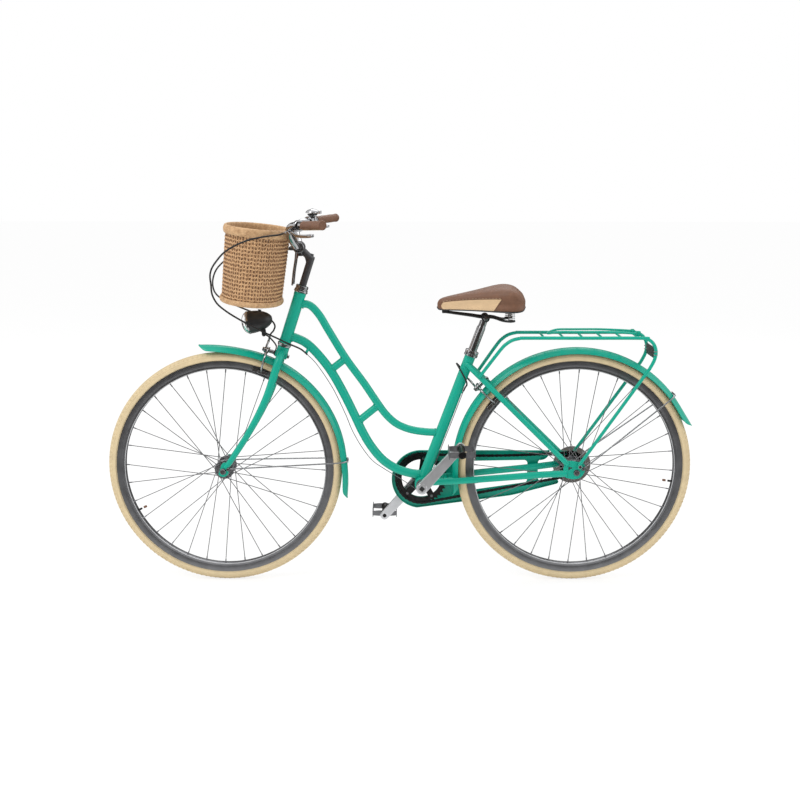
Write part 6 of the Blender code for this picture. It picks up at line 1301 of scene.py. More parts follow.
def chain():
    """Inner and outer link plates in turn, with rollers and pins."""
    pins = chain_points()
    plates, rollers = [], []
    for i, pin in enumerate(pins):
        after = pins[(i + 1) % len(pins)]
        along = (after - pin).normalized()
        across = Y_AXIS.cross(along)
        length = (after - pin).length
        outer = i % 2
        outline = (arc((0, 0), 0.0040, 90, 270, 6) + [(length * 0.5, -0.0028)]
                   + arc((length, 0), 0.0040, -90, 90, 6) + [(length * 0.5, 0.0028)])
        for side in (-1, 1):
            y = CHAIN_LINE + side * (0.0033 if outer else 0.0022)
            plates.append(plate(outline, pin + Y_AXIS * y, along, across, 0.0009))
        middle = pin + Y_AXIS * CHAIN_LINE
        rollers += [bar(middle, Y_AXIS * 0.0018, 0.0038, 10), bar(middle, Y_AXIS * 0.0041, 0.0016, 8)]
    show("chain_plates", plates, "dark_steel", "chain")
    show("chain_rollers", rollers, "dark_steel", "chain")


def rear_sprocket():
    """Toothed sprocket on its freewheel body."""
    centre = rear_axle + Y_AXIS * CHAIN_LINE
    shapes = [toothed_disc(SPROCKET_TEETH, centre, 0.020)]
    inner_end = HUB_END["rear"] + GAP
    shapes.append(turned([(0.0095, inner_end), (0.0200, inner_end), (0.0215, inner_end + 0.0012),
                          (0.0215, 0.0462), (0.0195, 0.0478), (0.0125, 0.0482), (0.0118, 0.0498),
                          (0.0095, 0.0498)], rear_axle, Y_AXIS))
    show("freewheel", shapes, "dark_steel", "rear_sprocket", soften=0.0002)


def crank_arm(side, tag):
    """A forged arm with a waist, a black square on its boss painted as the shade of its recess, and the
    pedal's axle.
    """
    angle, out = CRANK_ANGLE + (pi if side > 0 else 0), Y_AXIS * side
    along, across = heading(angle), heading(angle + pi / 2)
    outline = (arc((0, 0), CRANK_BOSS_RADIUS, 75, 285, 18) + [(0.035, -0.0158), (0.090, -0.0144)]
               + arc((CRANK_LENGTH, 0), CRANK_EYE_RADIUS, -95, 95, 16) + [(0.090, 0.0144), (0.035, 0.0158)])
    centre = bottom_bracket + out * CRANK_Y
    node = "crank_" + tag
    boss = rod(bottom_bracket + out * (CRANK_Y - 0.010), bottom_bracket + out * (CRANK_Y + 0.0078),
               CRANK_BOSS_RADIUS - 0.002, 40)
    show(node + "_arm", [plate(outline, centre, along, across, CRANK_THICKNESS), boss], "crank_alloy", node,
         soften=0.0042)
    # A thin black square on the boss's face, painted as the shade inside the recess
    recess_shade = block(centre + out * 0.0080, (0.0128, 0.0128, 0.0006), along, across)
    show(node + "_recess", [recess_shade], "black_rubber", node)
    pin = bottom_bracket + along * CRANK_LENGTH
    start, end = pin + out * (CRANK_Y - 0.008), pin + out * (PEDAL_START_Y + PEDAL_WIDTH - 0.004)
    flats = hex_bolt(pin + out * (CRANK_Y + CRANK_THICKNESS / 2), out, 0.0088, 0.0060)
    show(node + "_pedal_axle", [rod(start, end, PEDAL_AXLE_RADIUS, 24), flats], "dark_steel", node,
         soften=0.0002)
    return pin


def crankset():
    """Spindle, cranks, and the chainring on its five-armed spider."""
    end = CRANK_Y + CRANK_THICKNESS / 2 - 0.001
    show("spindle", [bar(bottom_bracket, Y_AXIS * end, 0.008, 32)], "dark_steel",
         "crank_spindle")
    pins = [crank_arm(side, tag) for side, tag in SIDES]
    centre = bottom_bracket + Y_AXIS * CHAIN_LINE
    ring_inner = pitch_radius(CHAINRING_TEETH) - 0.0175
    shapes = [toothed_disc(CHAINRING_TEETH, centre, ring_inner, CRANK_ANGLE)]
    boss = CRANK_BOSS_RADIUS - 0.001
    shapes.append(turned([(0.009, -RING_THICKNESS / 2), (boss + 0.004, -RING_THICKNESS / 2),
                          (boss + 0.004, RING_THICKNESS / 2), (boss, 0.004), (boss, 0.0205), (0.009, 0.0205)],
                         centre, Y_AXIS))
    bolts = []
    for i in range(SPIDER_ARMS):
        angle = CRANK_ANGLE + pi + 2 * pi * i / SPIDER_ARMS
        along, across = heading(angle), heading(angle + pi / 2)
        tip = ring_inner + 0.004
        edge = [(0.012, -0.0125), (0.030, -0.0100), (tip - 0.012, -0.0094)]
        outline = edge + arc((tip, 0), 0.0098, -80, 80, 8) + [(a, -b) for a, b in reversed(edge)]
        shapes.append(plate(outline, centre, along, across, RING_THICKNESS * 1.05))
        bolts += [turned(RING_BOLT_PROFILE, centre + along * tip + Y_AXIS * side * 0.0015, Y_AXIS * side, 24)
                  for side in (-1, 1)]
    show("chainring", shapes, "dark_steel", "crank_right", soften=0.0003)
    show("chainring_bolts", bolts, "bolt_steel", "crank_right")
    return pins


def pedal(side, tag, pin):
    """A cage pedal: turned barrel, end plates and toothed treads."""
    start, end = side * PEDAL_START_Y, side * (PEDAL_START_Y + PEDAL_WIDTH)
    out = Y_AXIS * side
    length = PEDAL_WIDTH
    profile = [(0.0068, 0), (0.0105, 0), (0.0110, 0.001), (0.0110, 0.012), (0.0090, 0.017), (0.0086, 0.045),
               (0.0090, length - 0.020), (0.0110, length - 0.015), (0.0110, length - 0.004),
               (0.0095, length), (0, length), (0, length - 0.001), (0.0068, length - 0.001)]
    barrel = turned(profile, pin + Y_AXIS * start, out, 40)
    low_edge = [(-PEDAL_LENGTH / 2, -0.007), (-0.020, -0.0085), (0.020, -0.0085), (PEDAL_LENGTH / 2, -0.007)]
    outline = low_edge + [(a, -b) for a, b in reversed(low_edge)]
    cage = [plate(outline, pin + Y_AXIS * y, X_AXIS, Z_AXIS, PEDAL_PLATE * 0.8)
            for y in (start + side * 0.004, end - side * 0.006)]
    teeth, half, high = 14, (PEDAL_WIDTH - 0.006) / 2, PEDAL_HEIGHT / 2
    upper = []
    for i in range(teeth):
        for share, level in ((0.0, 0.82), (0.3, 0.82), (0.45, 1.0), (0.75, 1.0), (0.95, 0.82)):
            upper.append((-half + 2 * half * (i + share) / teeth, high * level))
    outline = upper + [(half, 0.82 * high)]
    outline += [(a, -b) for a, b in reversed(outline)]
    for x in (-1, 1):
        centre = pin + Vector((x * (PEDAL_LENGTH - PEDAL_PLATE) / 2, (start + end) / 2, 0))
        cage.append(plate(outline, centre, Y_AXIS, Z_AXIS, PEDAL_PLATE * 0.8))
    bolts = [hex_bolt(pin + Vector((x * (PEDAL_LENGTH / 2 - 0.0016), 0, 0)) + Y_AXIS * (start + end) / 2
                      + Y_AXIS * y, X_AXIS * x, 0.0035, 0.0015) for x in (-1, 1) for y in (-0.030, 0.030)]
    show("pedal_body_" + tag, [barrel], "dark_steel", "pedal_" + tag, soften=0.0002)
    show("pedal_cage_" + tag, cage, "pedal_steel", "pedal_" + tag, soften=0.0003)
    show("pedal_bolts_" + tag, bolts, "bolt_steel", "pedal_" + tag)


def guard_outline():
    """The chain guard's outer edge: round the chainring, then out along its two branches."""
    centre = (bottom_bracket.x, bottom_bracket.z - CHAIN_GUARD_DROP)
    start, end = CHAIN_GUARD_ARC
    curve = arc(centre, CHAIN_GUARD_RADIUS, start, end, 62)
    return curve + rounded(behind_axle(CHAIN_GUARD_TAIL), 0.012, 5)[6:]


def sheet_with_holes(name, outline, holes, y, thickness, node):
    """A flat green sheet in the X-Z plane with holes, as a filled curve turned into a mesh."""
    data = bpy.data.curves.new(name, "CURVE")
    data.dimensions = "2D"
    data.fill_mode = "BOTH"
    soft = 0.0002
    data.extrude = thickness / 2 - soft
    data.bevel_depth = soft
    data.bevel_resolution = 1
    for edge in [outline] + holes:
        spline = data.splines.new("POLY")
        spline.points.add(len(edge) - 1)
        spline.use_cyclic_u = True
        for point, (x, z) in zip(spline.points, edge):
            point.co = (x, z, 0, 1)
    holder = bpy.data.objects.new(name, data)
    bpy.context.scene.collection.objects.link(holder)
    holder.rotation_euler = (pi / 2, 0, 0)
    holder.location = (0, y, 0)
    bpy.context.view_layer.update()
    mesh = bpy.data.meshes.new_from_object(holder.evaluated_get(bpy.context.evaluated_depsgraph_get()))
    mesh.transform(holder.matrix_world)
    bpy.data.objects.remove(holder)
    points = [v.co.copy() for v in mesh.vertices]
    faces = [tuple(p.vertices) for p in mesh.polygons]
    show(name, [(points, faces)], "green_paint", node, sharp=30)


def chain_guard():
    """The pressed guard: a flat face with its window and crank opening, and a turned-in edge."""
    outline = guard_outline()
    window = rounded(behind_axle(CHAIN_GUARD_WINDOW), 0.010)
    opening = arc((bottom_bracket.x, bottom_bracket.z), CHAIN_GUARD_OPENING, 0, 354, 59)
    face_y = CHAIN_GUARD_Y + CHAIN_GUARD_THICKNESS / 2
    sheet_with_holes("chain_guard_face", outline, [window, opening], face_y, CHAIN_GUARD_THICKNESS,
                     "chain_guard")
    low = CHAIN_GUARD_Y - CHAIN_GUARD_FLANGE
    runs, run = [], []
    closed = outline + outline[:1]
    (open_x, reach_x), (open_z, reach_z) = CHAIN_GUARD_OPEN_END
    for a, b in zip(closed, closed[1:]):
        off_x = abs((a[0] + b[0]) / 2 - (rear_axle.x + open_x))
        off_z = abs((a[1] + b[1]) / 2 - (rear_axle.z + open_z))
        if off_x < reach_x and off_z < reach_z:
            runs.append(run)
            run = []
            continue
        run = (run or [a]) + [b]
    runs.append(run)
    shapes = []
    for run in [r for r in runs if len(r) > 2]:
        middle = [Vector((x, (low + CHAIN_GUARD_Y + CHAIN_GUARD_THICKNESS) / 2, z)) for x, z in run]
        half = (CHAIN_GUARD_FLANGE + CHAIN_GUARD_THICKNESS) / 2
        rings = []
        for i, point in enumerate(middle):
            tangent = (middle[min(i + 1, len(middle) - 1)] - middle[max(i - 1, 0)]).normalized()
            inward = tangent.cross(Y_AXIS) * CHAIN_GUARD_THICKNESS
            rings.append([point - Y_AXIS * half, point + Y_AXIS * half, point + inward + Y_AXIS * half,
                          point + inward - Y_AXIS * half])
        shapes.append(loft(rings))
    share, stay_y = CHAIN_STAY_SHAPE[4]
    mount = chain_stay_start.lerp(chain_stay_foot, share)
    shapes.append(rod(mount + Y_AXIS * (stay_y + CHAIN_STAY_SIZE[0] + GAP), mount + Y_AXIS * CHAIN_GUARD_Y,
                      0.006, 24))
    show("chain_guard_edge", shapes, "green_paint", "chain_guard")
    place = mount + Y_AXIS * (CHAIN_GUARD_Y + CHAIN_GUARD_THICKNESS)
    show("chain_guard_screw", [hex_bolt(place, Y_AXIS, 0.0050, 0.0022)], "bolt_steel", "chain_guard",
         soften=0.0002)


# Brakes

def caliper(tag, pivot, up, ahead, first_plane, boss_back):
    """A side-pull brake: two curved arms with pad holders, pivot bolt and cable anchor."""
    last = first_plane + 2 * BRAKE_ARM_THICKNESS + BRAKE_ARM_ROOM
    bolt = [rod(pivot - ahead * (boss_back + GAP + 0.006), pivot + ahead * (last + 0.004), 0.0029, 16),
            hex_bolt(pivot - ahead * (boss_back + GAP), -ahead, 0.0060, 0.006),
            hex_bolt(pivot + ahead * (last + GAP), ahead, 0.0060, 0.005)]
    spacer = FRONT_BRAKE_SPACER if tag == "front" else BRIDGE_RADIUS + GAP
    bolt.append(rod(pivot + ahead * spacer, pivot + ahead * (first_plane - GAP), 0.006, 28))
    show(tag + "_caliper_bolt", bolt, "chrome", tag + "_brake_bolt", soften=0.0002)
    for side, name in SIDES:
        plane = first_plane + (BRAKE_ARM_THICKNESS + BRAKE_ARM_ROOM) * (1 if side > 0 else 0)
        brake_arm("%s_brake_arm_%s" % (tag, name), pivot, up, ahead, side, plane, first_plane)


def brake_arm(node, pivot, up, ahead, side, plane, first_plane):
    """One arm: boss, curved limb, upper horn, and a rubber pad in its holder."""
    def at(high, out, depth=0.0):
        return pivot + up * high + Y_AXIS * side * out + ahead * (plane + depth)
    middle = BRAKE_ARM_THICKNESS / 2
    shapes = [rod(at(0, 0, 0.0001), at(0, 0, BRAKE_ARM_THICKNESS - 0.0001), 0.0085, 36, 0.0008)]
    path = smooth([at(high, out, middle) for high, out in BRAKE_LIMB], 6)
    thick = middle - 0.0003
    sizes = [(thick, 0.0062 - 0.0022 * i / (len(path) - 1)) for i in range(len(path))]
    shapes.append(sweep(path, sizes, 16, across=ahead))
    horn_shape = ((0.010, 0.013), (0.021, 0.027)) if side > 0 else ((0.002, -0.014), (0.002, -0.027))
    tip = [at(high, out, middle) for high, out in horn_shape]
    horn = smooth([at(0, 0.002 * side, middle), *tip], 6)
    shapes.append(sweep(horn, [(thick, 0.0038)] * len(horn), 16, across=ahead))
    shapes.append(bar(tip[1], ahead * 0.0034, 0.0044, 24))
    pad_out = RIM_HALF_WIDTH + BRAKE_PAD_CLEARANCE + BRAKE_PAD_SIZE[2] / 2
    depth = first_plane + BRAKE_ARM_THICKNESS - plane
    outward = Y_AXIS * side
    back = at(-BRAKE_REACH, pad_out + 0.0030, depth)
    shapes.append(block(back, (BRAKE_PAD_SIZE[0] * 0.96, BRAKE_PAD_SIZE[1] * 1.02, 0.0028), ahead, up))
    post = at(-BRAKE_REACH, pad_out + 0.0040, depth)
    shapes.append(rod(post, post + outward * 0.0100, 0.0030, 16))
    shapes.append(hex_bolt(post + outward * 0.0055, outward, 0.0052, 0.0045))
    show(node + "_limb", shapes, "chrome", node, soften=0.0003)
    pads = [block(at(-BRAKE_REACH, pad_out - 0.0012, depth), (BRAKE_PAD_SIZE[0], BRAKE_PAD_SIZE[1], 0.0064),
                  ahead, up)]
    show(node + "_pad", pads, "black_rubber", node, soften=0.0008)


# Seat

def seat_post():
    """Collar with its pinch bolt, and the post."""
    top = SEAT_TUBE_LENGTH
    lip, inner = SEAT_POST_RADIUS + 0.0004, SEAT_TUBE_RADIUS + 0.0004
    outer, groove = COLLAR_RADIUS, COLLAR_RADIUS - 0.001
    profile = [(inner, GAP - COLLAR_HEIGHT), (outer - 0.0012, GAP - COLLAR_HEIGHT),
               (outer, 0.0012 - COLLAR_HEIGHT), (outer, -0.010), (groove, -0.009), (groove, -0.006),
               (outer, -0.005), (outer, 0.001), (outer - 0.0015, 0.0025), (lip, 0.0025), (lip, 2 * GAP),
               (inner, 2 * GAP)]
    ear = seat(top - COLLAR_HEIGHT / 2, -COLLAR_RADIUS - 0.002)
    shapes = [turned(profile, seat(top), seat_up),
              *(block(ear + seat_square * out, (0.0046, 0.011, 0.009), seat_square, seat_up)
                for out in (-0.0032, 0.0032)),
              bar(ear, seat_square * 0.0165, 0.0025, 16),
              hex_bolt(ear - seat_square * 0.0140, -seat_square, 0.0052, 0.0045),
              hex_bolt(ear + seat_square * 0.0140, seat_square, 0.0052, 0.0038)]
    show("collar_band", shapes, "chrome", "seat_post_collar", soften=0.0003)
    foot, end, neck = -0.110, SEAT_POST_SHOWN - 0.004, SEAT_POST_RADIUS - 0.0018
    profile = [(0, foot), (SEAT_POST_RADIUS, foot), (SEAT_POST_RADIUS, end - 0.020), (neck, end - 0.015),
               (neck, end), (0, end)]
    show("post_tube", [turned(profile, seat(top), seat_up)], "chrome", "seat_post")


def saddle_under():
    """Clamp, rails, nose bracket, spring seats and coil springs."""
    clamp = seat(SEAT_TUBE_LENGTH + SEAT_POST_SHOWN + CLAMP_RISE)
    wide, nose = Y_AXIS * 0.026, (SADDLE_PIVOT_X - 0.009, 0, SADDLE_FLOOR - 0.0053)
    shapes = [bar(clamp, wide, 0.0118, 36, 0.001), block(nose, (0.018, 0.026, 0.0095), X_AXIS, Y_AXIS)]
    bolts = []
    seat_z = SPRING_FOOT - GAP
    for side, tag in SIDES:
        path = smooth([(SADDLE_PIVOT_X - 0.008, side * 0.008, SADDLE_FLOOR - 0.007),
                       (SADDLE_PIVOT_X + 0.022, side * 0.011, SADDLE_FLOOR - 0.011),
                       (clamp.x - 0.040, side * 0.017, clamp.z + 0.007),
                       (clamp.x - 0.014, side * 0.020, clamp.z + 0.003),
                       (clamp.x + 0.020, side * 0.020, clamp.z + 0.002),
                       (clamp.x + 0.050, side * 0.028, seat_z - 0.003),
                       (SPRING_X, side * SPRING_SPREAD, seat_z - 0.0036)], 6)
        shapes.append(sweep(path, RAIL_RADIUS, 16))
        foot = Vector((SPRING_X, side * SPRING_SPREAD, 0))
        shapes.append(turned([(0, seat_z - 0.005), (0.0100, seat_z - 0.005), (0.0118, seat_z - 0.0035),
                              (0.0118, seat_z), (0, seat_z)], foot, Z_AXIS, 32))
        bolts.append(hex_bolt(clamp + Y_AXIS * side * 0.026, Y_AXIS * side, 0.0075, 0.0050))
        bolts.append(rod(clamp + Y_AXIS * side * 0.030, clamp + Y_AXIS * side * 0.0345, 0.0035, 16))
        low = SPRING_FOOT + SPRING_WIRE_RADIUS
        high = SADDLE_FLOOR - GAP - SPRING_WIRE_RADIUS
        count = SPRING_TURNS * 24
        coil = [Vector((SPRING_X + SPRING_RADIUS * cos(2 * pi * i / 24),
                        side * (SPRING_SPREAD + SPRING_RADIUS * sin(2 * pi * i / 24)),
                        low + (high - low) * i / count)) for i in range(count + 1)]
        spring = show("saddle_coil_" + tag, [sweep(coil, SPRING_WIRE_RADIUS, 10, Z_AXIS)], "chrome",
                      "saddle_spring_" + tag, ride=False)
        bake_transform(spring)
    show("saddle_rails", shapes, "black_plastic", "saddle_frame", soften=0.0005)
    show("saddle_clamp_bolts", bolts, "chrome", "saddle_frame", soften=0.0002)


def saddle_section(x, half, low, high, detail=4, grow=0.0):
    """One ring of the cushion at a station."""
    height = high - low
    dip = 0.004 * min(1, half / 0.08)
    points = [Vector((half * a + grow * (a > 0.8), low + height * b)) for a, b in SADDLE_SECTION]
    points.append(Vector((0, high - dip)))
    curve = points[:3] + [Vector((p.x, p.y)) for p in smooth([(*p, 0) for p in points[2:]], detail)][1:]
    ring_points = [Vector((x, p.x, p.y)) for p in curve]
    return ring_points + [mirror(p) for p in reversed(ring_points[1:-1])]


def saddle_stations(steps):
    """The stations with smooth ones between them."""
    first = smooth([station[:3] for station in SADDLE_STATIONS], steps)
    second = smooth([(station[0], station[3], 0) for station in SADDLE_STATIONS], steps)
    return [(a.x, a.y, a.z, b.y) for a, b in zip(first, second)]


def station_at(x):
    """The saddle's half width, underside and crown at a distance along it."""
    stations = saddle_stations(4)
    for a, b in zip(stations, stations[1:]):
        if a[0] <= x <= b[0]:
            share = (x - a[0]) / (b[0] - a[0])
            return (x, *(low + (high - low) * share for low, high in zip(a[1:], b[1:])))
    return stations[-1]


def saddle():
    """The padded top in brown hide, its pale side panels, seams and base edge."""
    stations = saddle_stations(4)
    cushion = show("saddle_hide", [loft([saddle_section(*station) for station in stations])], "brown_leather",
                   "saddle_cushion", sharp=60)
    for side, tag in SIDES:
        rows, columns = [], 36
        front, rear_low, rear_high = PANEL_SPAN
        for column in range(columns + 1):
            row = []
            for level in range(9):
                rear = rear_low + (rear_high - rear_low) * level / 8
                start = front + 0.005 * (abs(level - 4) / 4) ** 2
                x, half, low, high = station_at(start + (rear - start) * column / columns)
                ring_points = saddle_section(x, half, low, high, 8)
                half_ring = ring_points[:len(ring_points) // 2 + 1]
                share_top = PANEL_TOP - PANEL_TOP_FALL * (x - SADDLE_NOSE) / SADDLE_SLOPE_RUN
                z = low + 0.0012 + (high - low) * share_top * level / 8
                row.append(point_at_height(half_ring[2:], z, side))
            rows.append(row)
        panel_sheet(rows, side, tag)
        seam, front_seam, rear_seam = [[shift(p, side, 0.0006) for p in edge]
                                       for edge in ([row[-1] for row in rows], rows[0], rows[-1])]
        show("saddle_seam_" + tag, [sweep(seam, 0.0009, 8, Y_AXIS), sweep(front_seam, 0.0008, 8),
                                    sweep(rear_seam, 0.0008, 8)], "brown_leather", "saddle_cushion")
        stitches, lift = [], Vector((0, 0, 0.0022))
        for a, b in zip(seam[::2], seam[1::2]):
            middle = shift(a.lerp(b, 0.5) + lift, side, 0.0002)
            stitches.append(sweep([a + lift, middle, b + lift], 0.0003, 6))
        show("saddle_stitches_" + tag, stitches, "thread", "saddle_cushion")
    rim = [Vector((x, -half * 0.93, low + 0.0008)) for x, half, low, _ in stations]
    edge = rim + [mirror(p) for p in reversed(rim)]
    show("saddle_base_edge", [sweep(edge, [(0.0020, 0.0016)] * len(edge), 10, Z_AXIS, closed=True)],
         "black_plastic", "saddle_cushion")


def point_at_height(half_ring, z, side):
    """The point of a half section at a height, on the given side."""
    for a, b in zip(half_ring, half_ring[1:]):
        if (a.z - z) * (b.z - z) <= 0 and a.z != b.z:
            p = a.lerp(b, (z - a.z) / (b.z - a.z))
            return Vector((p.x, side * p.y, p.z))
    return Vector((half_ring[0].x, side * half_ring[0].y, z))


def shift(point, side, out):
    """A point moved out sideways."""
    return point + Y_AXIS * side * out


def panel_sheet(rows, side, tag):
    """A thin pale panel laid on the cushion's side."""
    outer = [[shift(p, side, 0.0007) for p in row] for row in rows]
    inner = [[shift(p, side, -0.0008) for p in row] for row in rows]
    rings = [a + b[::-1] for a, b in zip(outer, inner)]
    show("saddle_panel_" + tag, [loft(rings)], "cream_leather", "saddle_cushion", sharp=50)


# Handlebar, stem, grips, levers and bell

bar_centre = steer(head_top + STEM_RISE + STEM_ARM_LIFT, STEM_REACH)


def bar_point(offset, side):
    """A point of the handlebar from its offset to the clamp."""
    return bar_centre + Vector((offset[0], side * offset[1], offset[2]))


def straight(side, distance):
    """A point on the straight end of the bar, by its distance out from the grip's start."""
    start, end = bar_point(GRIP_START, side), bar_point(GRIP_END, side)
    return start + (end - start).normalized() * distance


def bar_axes(side):
    """Outward, forward and upward directions at the bar's straight end."""
    outward = (straight(side, 1) - straight(side, 0)).normalized()
    forward = Vector((-abs(outward.y), side * outward.x, 0)).normalized()
    upward = side * outward.cross(forward)
    return outward, forward, upward


grip_length = (bar_point(GRIP_END, 1) - bar_point(GRIP_START, 1)).length


def stem():
    """A cast stem with a mitred elbow, a web inside it, and the clamp with its bolt."""
    foot = steer(head_top + CUP_HEIGHT + LOCKNUT_HEIGHT - 0.040)
    elbow = steer(head_top + STEM_RISE - ELBOW_DROP)
    arm = (bar_centre - elbow).normalized()
    down = (foot - elbow).normalized()
    half_turn = acos(max(-1, min(1, down.dot(arm)))) / 2
    stretch = 1 / sin(half_turn)
    path = [foot, elbow.lerp(foot, 0.12), elbow, elbow.lerp(bar_centre, 0.3), bar_centre]
    sizes = [(STEM_RADIUS, STEM_RADIUS)] * 2
    sizes += [(STEM_RADIUS, STEM_RADIUS * stretch)] + [(STEM_RADIUS * 0.98, STEM_RADIUS)] * 2
    shapes = [sweep(path, sizes, 36, Y_AXIS)]
    web, reach, pull = [elbow + down * 0.006 + arm * 0.006], STEM_WEB_REACH, 0.0085
    for t in (i / 8 for i in range(9)):
        web.append(elbow + (down * reach) * (1 - t) ** 2 + (down + arm) * pull * 2 * t * (1 - t)
                   + (arm * reach) * t ** 2)
    outline = [((p - elbow).x, (p - elbow).z) for p in web]
    shapes.append(plate(outline, elbow, X_AXIS, Z_AXIS, 0.011))
    clamp = sleeve(BAR_RADIUS + 0.0002, BAR_CLAMP_RADIUS, BAR_CLAMP_HALF_WIDTH, 0.0015)
    shapes.append(turned(clamp, bar_centre, Y_AXIS))
    ear = bar_centre + Vector((0.0040, 0, -0.0190))
    shapes.append(block(ear, (0.012, 0.012, 0.026), X_AXIS, Z_AXIS))
    show("stem_casting", shapes, "cast_alloy", "stem", soften=0.0008)
    top = steer(head_top + STEM_RISE - ELBOW_DROP + 0.010)
    bolts = [hex_bolt(ear - Y_AXIS * 0.013, -Y_AXIS, 0.0058, 0.0048),
             hex_bolt(ear + Y_AXIS * 0.013, Y_AXIS, 0.0058, 0.0040), hex_bolt(top, steer_up, 0.0055, 0.0045)]
    show("stem_bolts", bolts, "bolt_steel", "stem", soften=0.0003)


def handlebar():
    """The swept-back chromed bar."""
    halves = []
    for side in (-1, 1):
        knots = [bar_point(p, side) for p in BAR_SHAPE]
        curve = smooth(knots + [straight(side, -BAR_STRAIGHT), straight(side, 0)], 7)
        halves.append(curve[:-1] + [straight(side, grip_length)])
    left, right = halves
    show("bar_tube", [sweep(left[::-1] + right[1:], BAR_RADIUS, 32, across=Z_AXIS)], "chrome", "handlebar")


def grip(side, tag):
    """A hide sleeve with a sewn seam underneath and a round end cap."""
    outward, forward, upward = bar_axes(side)
    length = grip_length
    hole = BAR_RADIUS + 0.0002
    radius, soft, bump, bumps = GRIP_RADIUS, 0.0014, 0.0005, 22
    profile = [(hole, length + GAP), (hole, 0), (radius - 0.0012, 0), (radius, soft)]
    profile += [(radius - bump + bump * cos(i * 1.7) * cos(i * 0.9), soft + (length - 0.006) * i / bumps)
                for i in range(1, bumps + 1)]
    end = length + GRIP_WALL_END
    profile += [(radius, length - 0.0025), (radius + 0.0002, length), (radius - 0.0014, end - 0.0006),
                (0.0104, end), (0.0100, end - 0.0008), (0, end - 0.0008), (0, length + GAP)]
    start = straight(side, GAP)
    shapes = [turned(profile, start, outward, 56)]
    show("grip_hide_" + tag, shapes, "brown_leather", "grip_" + tag, sharp=50)
    seam_way = (forward * 0.35 - upward).normalized()
    place = start + seam_way * (GRIP_RADIUS + 0.0001)
    stitches, count = [], 26
    tangent = outward.cross(seam_way)
    for i in range(count):
        middle = place + outward * (0.004 + (length - 0.008) * (i + 0.5) / count)
        lean = tangent * 0.0022 + outward * 0.0009
        stitches.append(sweep([middle - lean - seam_way * 0.0004, middle + seam_way * 0.0001,
                               middle + lean - seam_way * 0.0004], 0.00035, 6))
    show("grip_stitches_" + tag, stitches, "thread", "grip_" + tag)


def brake_perch(side, tag):
    """Clamp band with its screw, lever fork, pin and cable adjuster."""
    outward, forward, upward = bar_axes(side)
    centre = straight(side, -PERCH_INBOARD)
    pivot = centre + forward * LEVER_PIVOT_AHEAD - upward * LEVER_PIVOT_BELOW
    closing = (upward * LEVER_BELOW - forward * LEVER_AHEAD).normalized()
    axis = outward.cross(closing).normalized()
    shapes = [turned(sleeve(BAR_RADIUS + BORE_ROOM, PERCH_RADIUS, PERCH_HALF_WIDTH, 0.0012), centre, outward)]
    reach = pivot - centre
    along = reach.normalized()
    across = axis.cross(along).normalized()
    body_start = 0.0125
    body_length = reach.length - body_start - 0.0098
    shapes.append(block(centre + along * (body_start + body_length / 2), (body_length, 0.0088, 0.0158),
                        along, across))
    for sign in (-1, 1):
        ear = pivot + axis * sign * 0.0062
        shapes.append(bar(ear, axis * 0.0017, 0.0062, 28))
        shapes.append(block(ear - along * 0.0060, (0.0120, 0.0088, 0.0034), along, across))
    barrel_start = centre + forward * 0.019 - upward * 0.010
    barrel_end = barrel_start - outward * 0.026 + forward * 0.006 - upward * 0.006
    way = (barrel_end - barrel_start).normalized()
    shapes.append(rod(barrel_start, barrel_end, 0.0034, 24))
    nut = ((0, 0), (0.0040, 0), (0.0044, 0.0005), (0.0044, 0.0042), (0.0040, 0.0047), (0, 0.0047))
    shapes += [turned(nut, barrel_start + way * offset, way, 14) for offset in (0.010, 0.0185)]
    shapes.append(bar(pivot, axis * 0.0088, 0.0019, 16))
    show("perch_casting_" + tag, shapes, "chrome", "brake_perch_" + tag, soften=0.0005)
    lever(side, tag, pivot, axis, outward, forward, upward)


def lever(side, tag, pivot, axis, outward, forward, upward):
    """A pressed lever blade with its ball end."""
    away = (forward * LEVER_AHEAD - upward * LEVER_BELOW).normalized()
    end = straight(side, grip_length - 0.002) + forward * LEVER_AHEAD - upward * LEVER_BELOW
    curve = smooth([pivot, pivot + outward * 0.020 + away * 0.003, pivot.lerp(end, 0.40) + away * 0.009,
                    pivot.lerp(end, 0.75) + away * 0.006, end], 8)
    count = len(curve)
    sizes = [(0.0034 + 0.0022 * min(1, i / 8), 0.0030) for i in range(count)]
    shapes = [bar(pivot, axis * 0.0040, 0.0062, 28),
              sweep(curve, sizes, 16, across=axis), ball(end, LEVER_BALL_RADIUS, outward)]
    show("lever_blade_" + tag, shapes, "chrome", "brake_lever_" + tag, soften=0.0003)


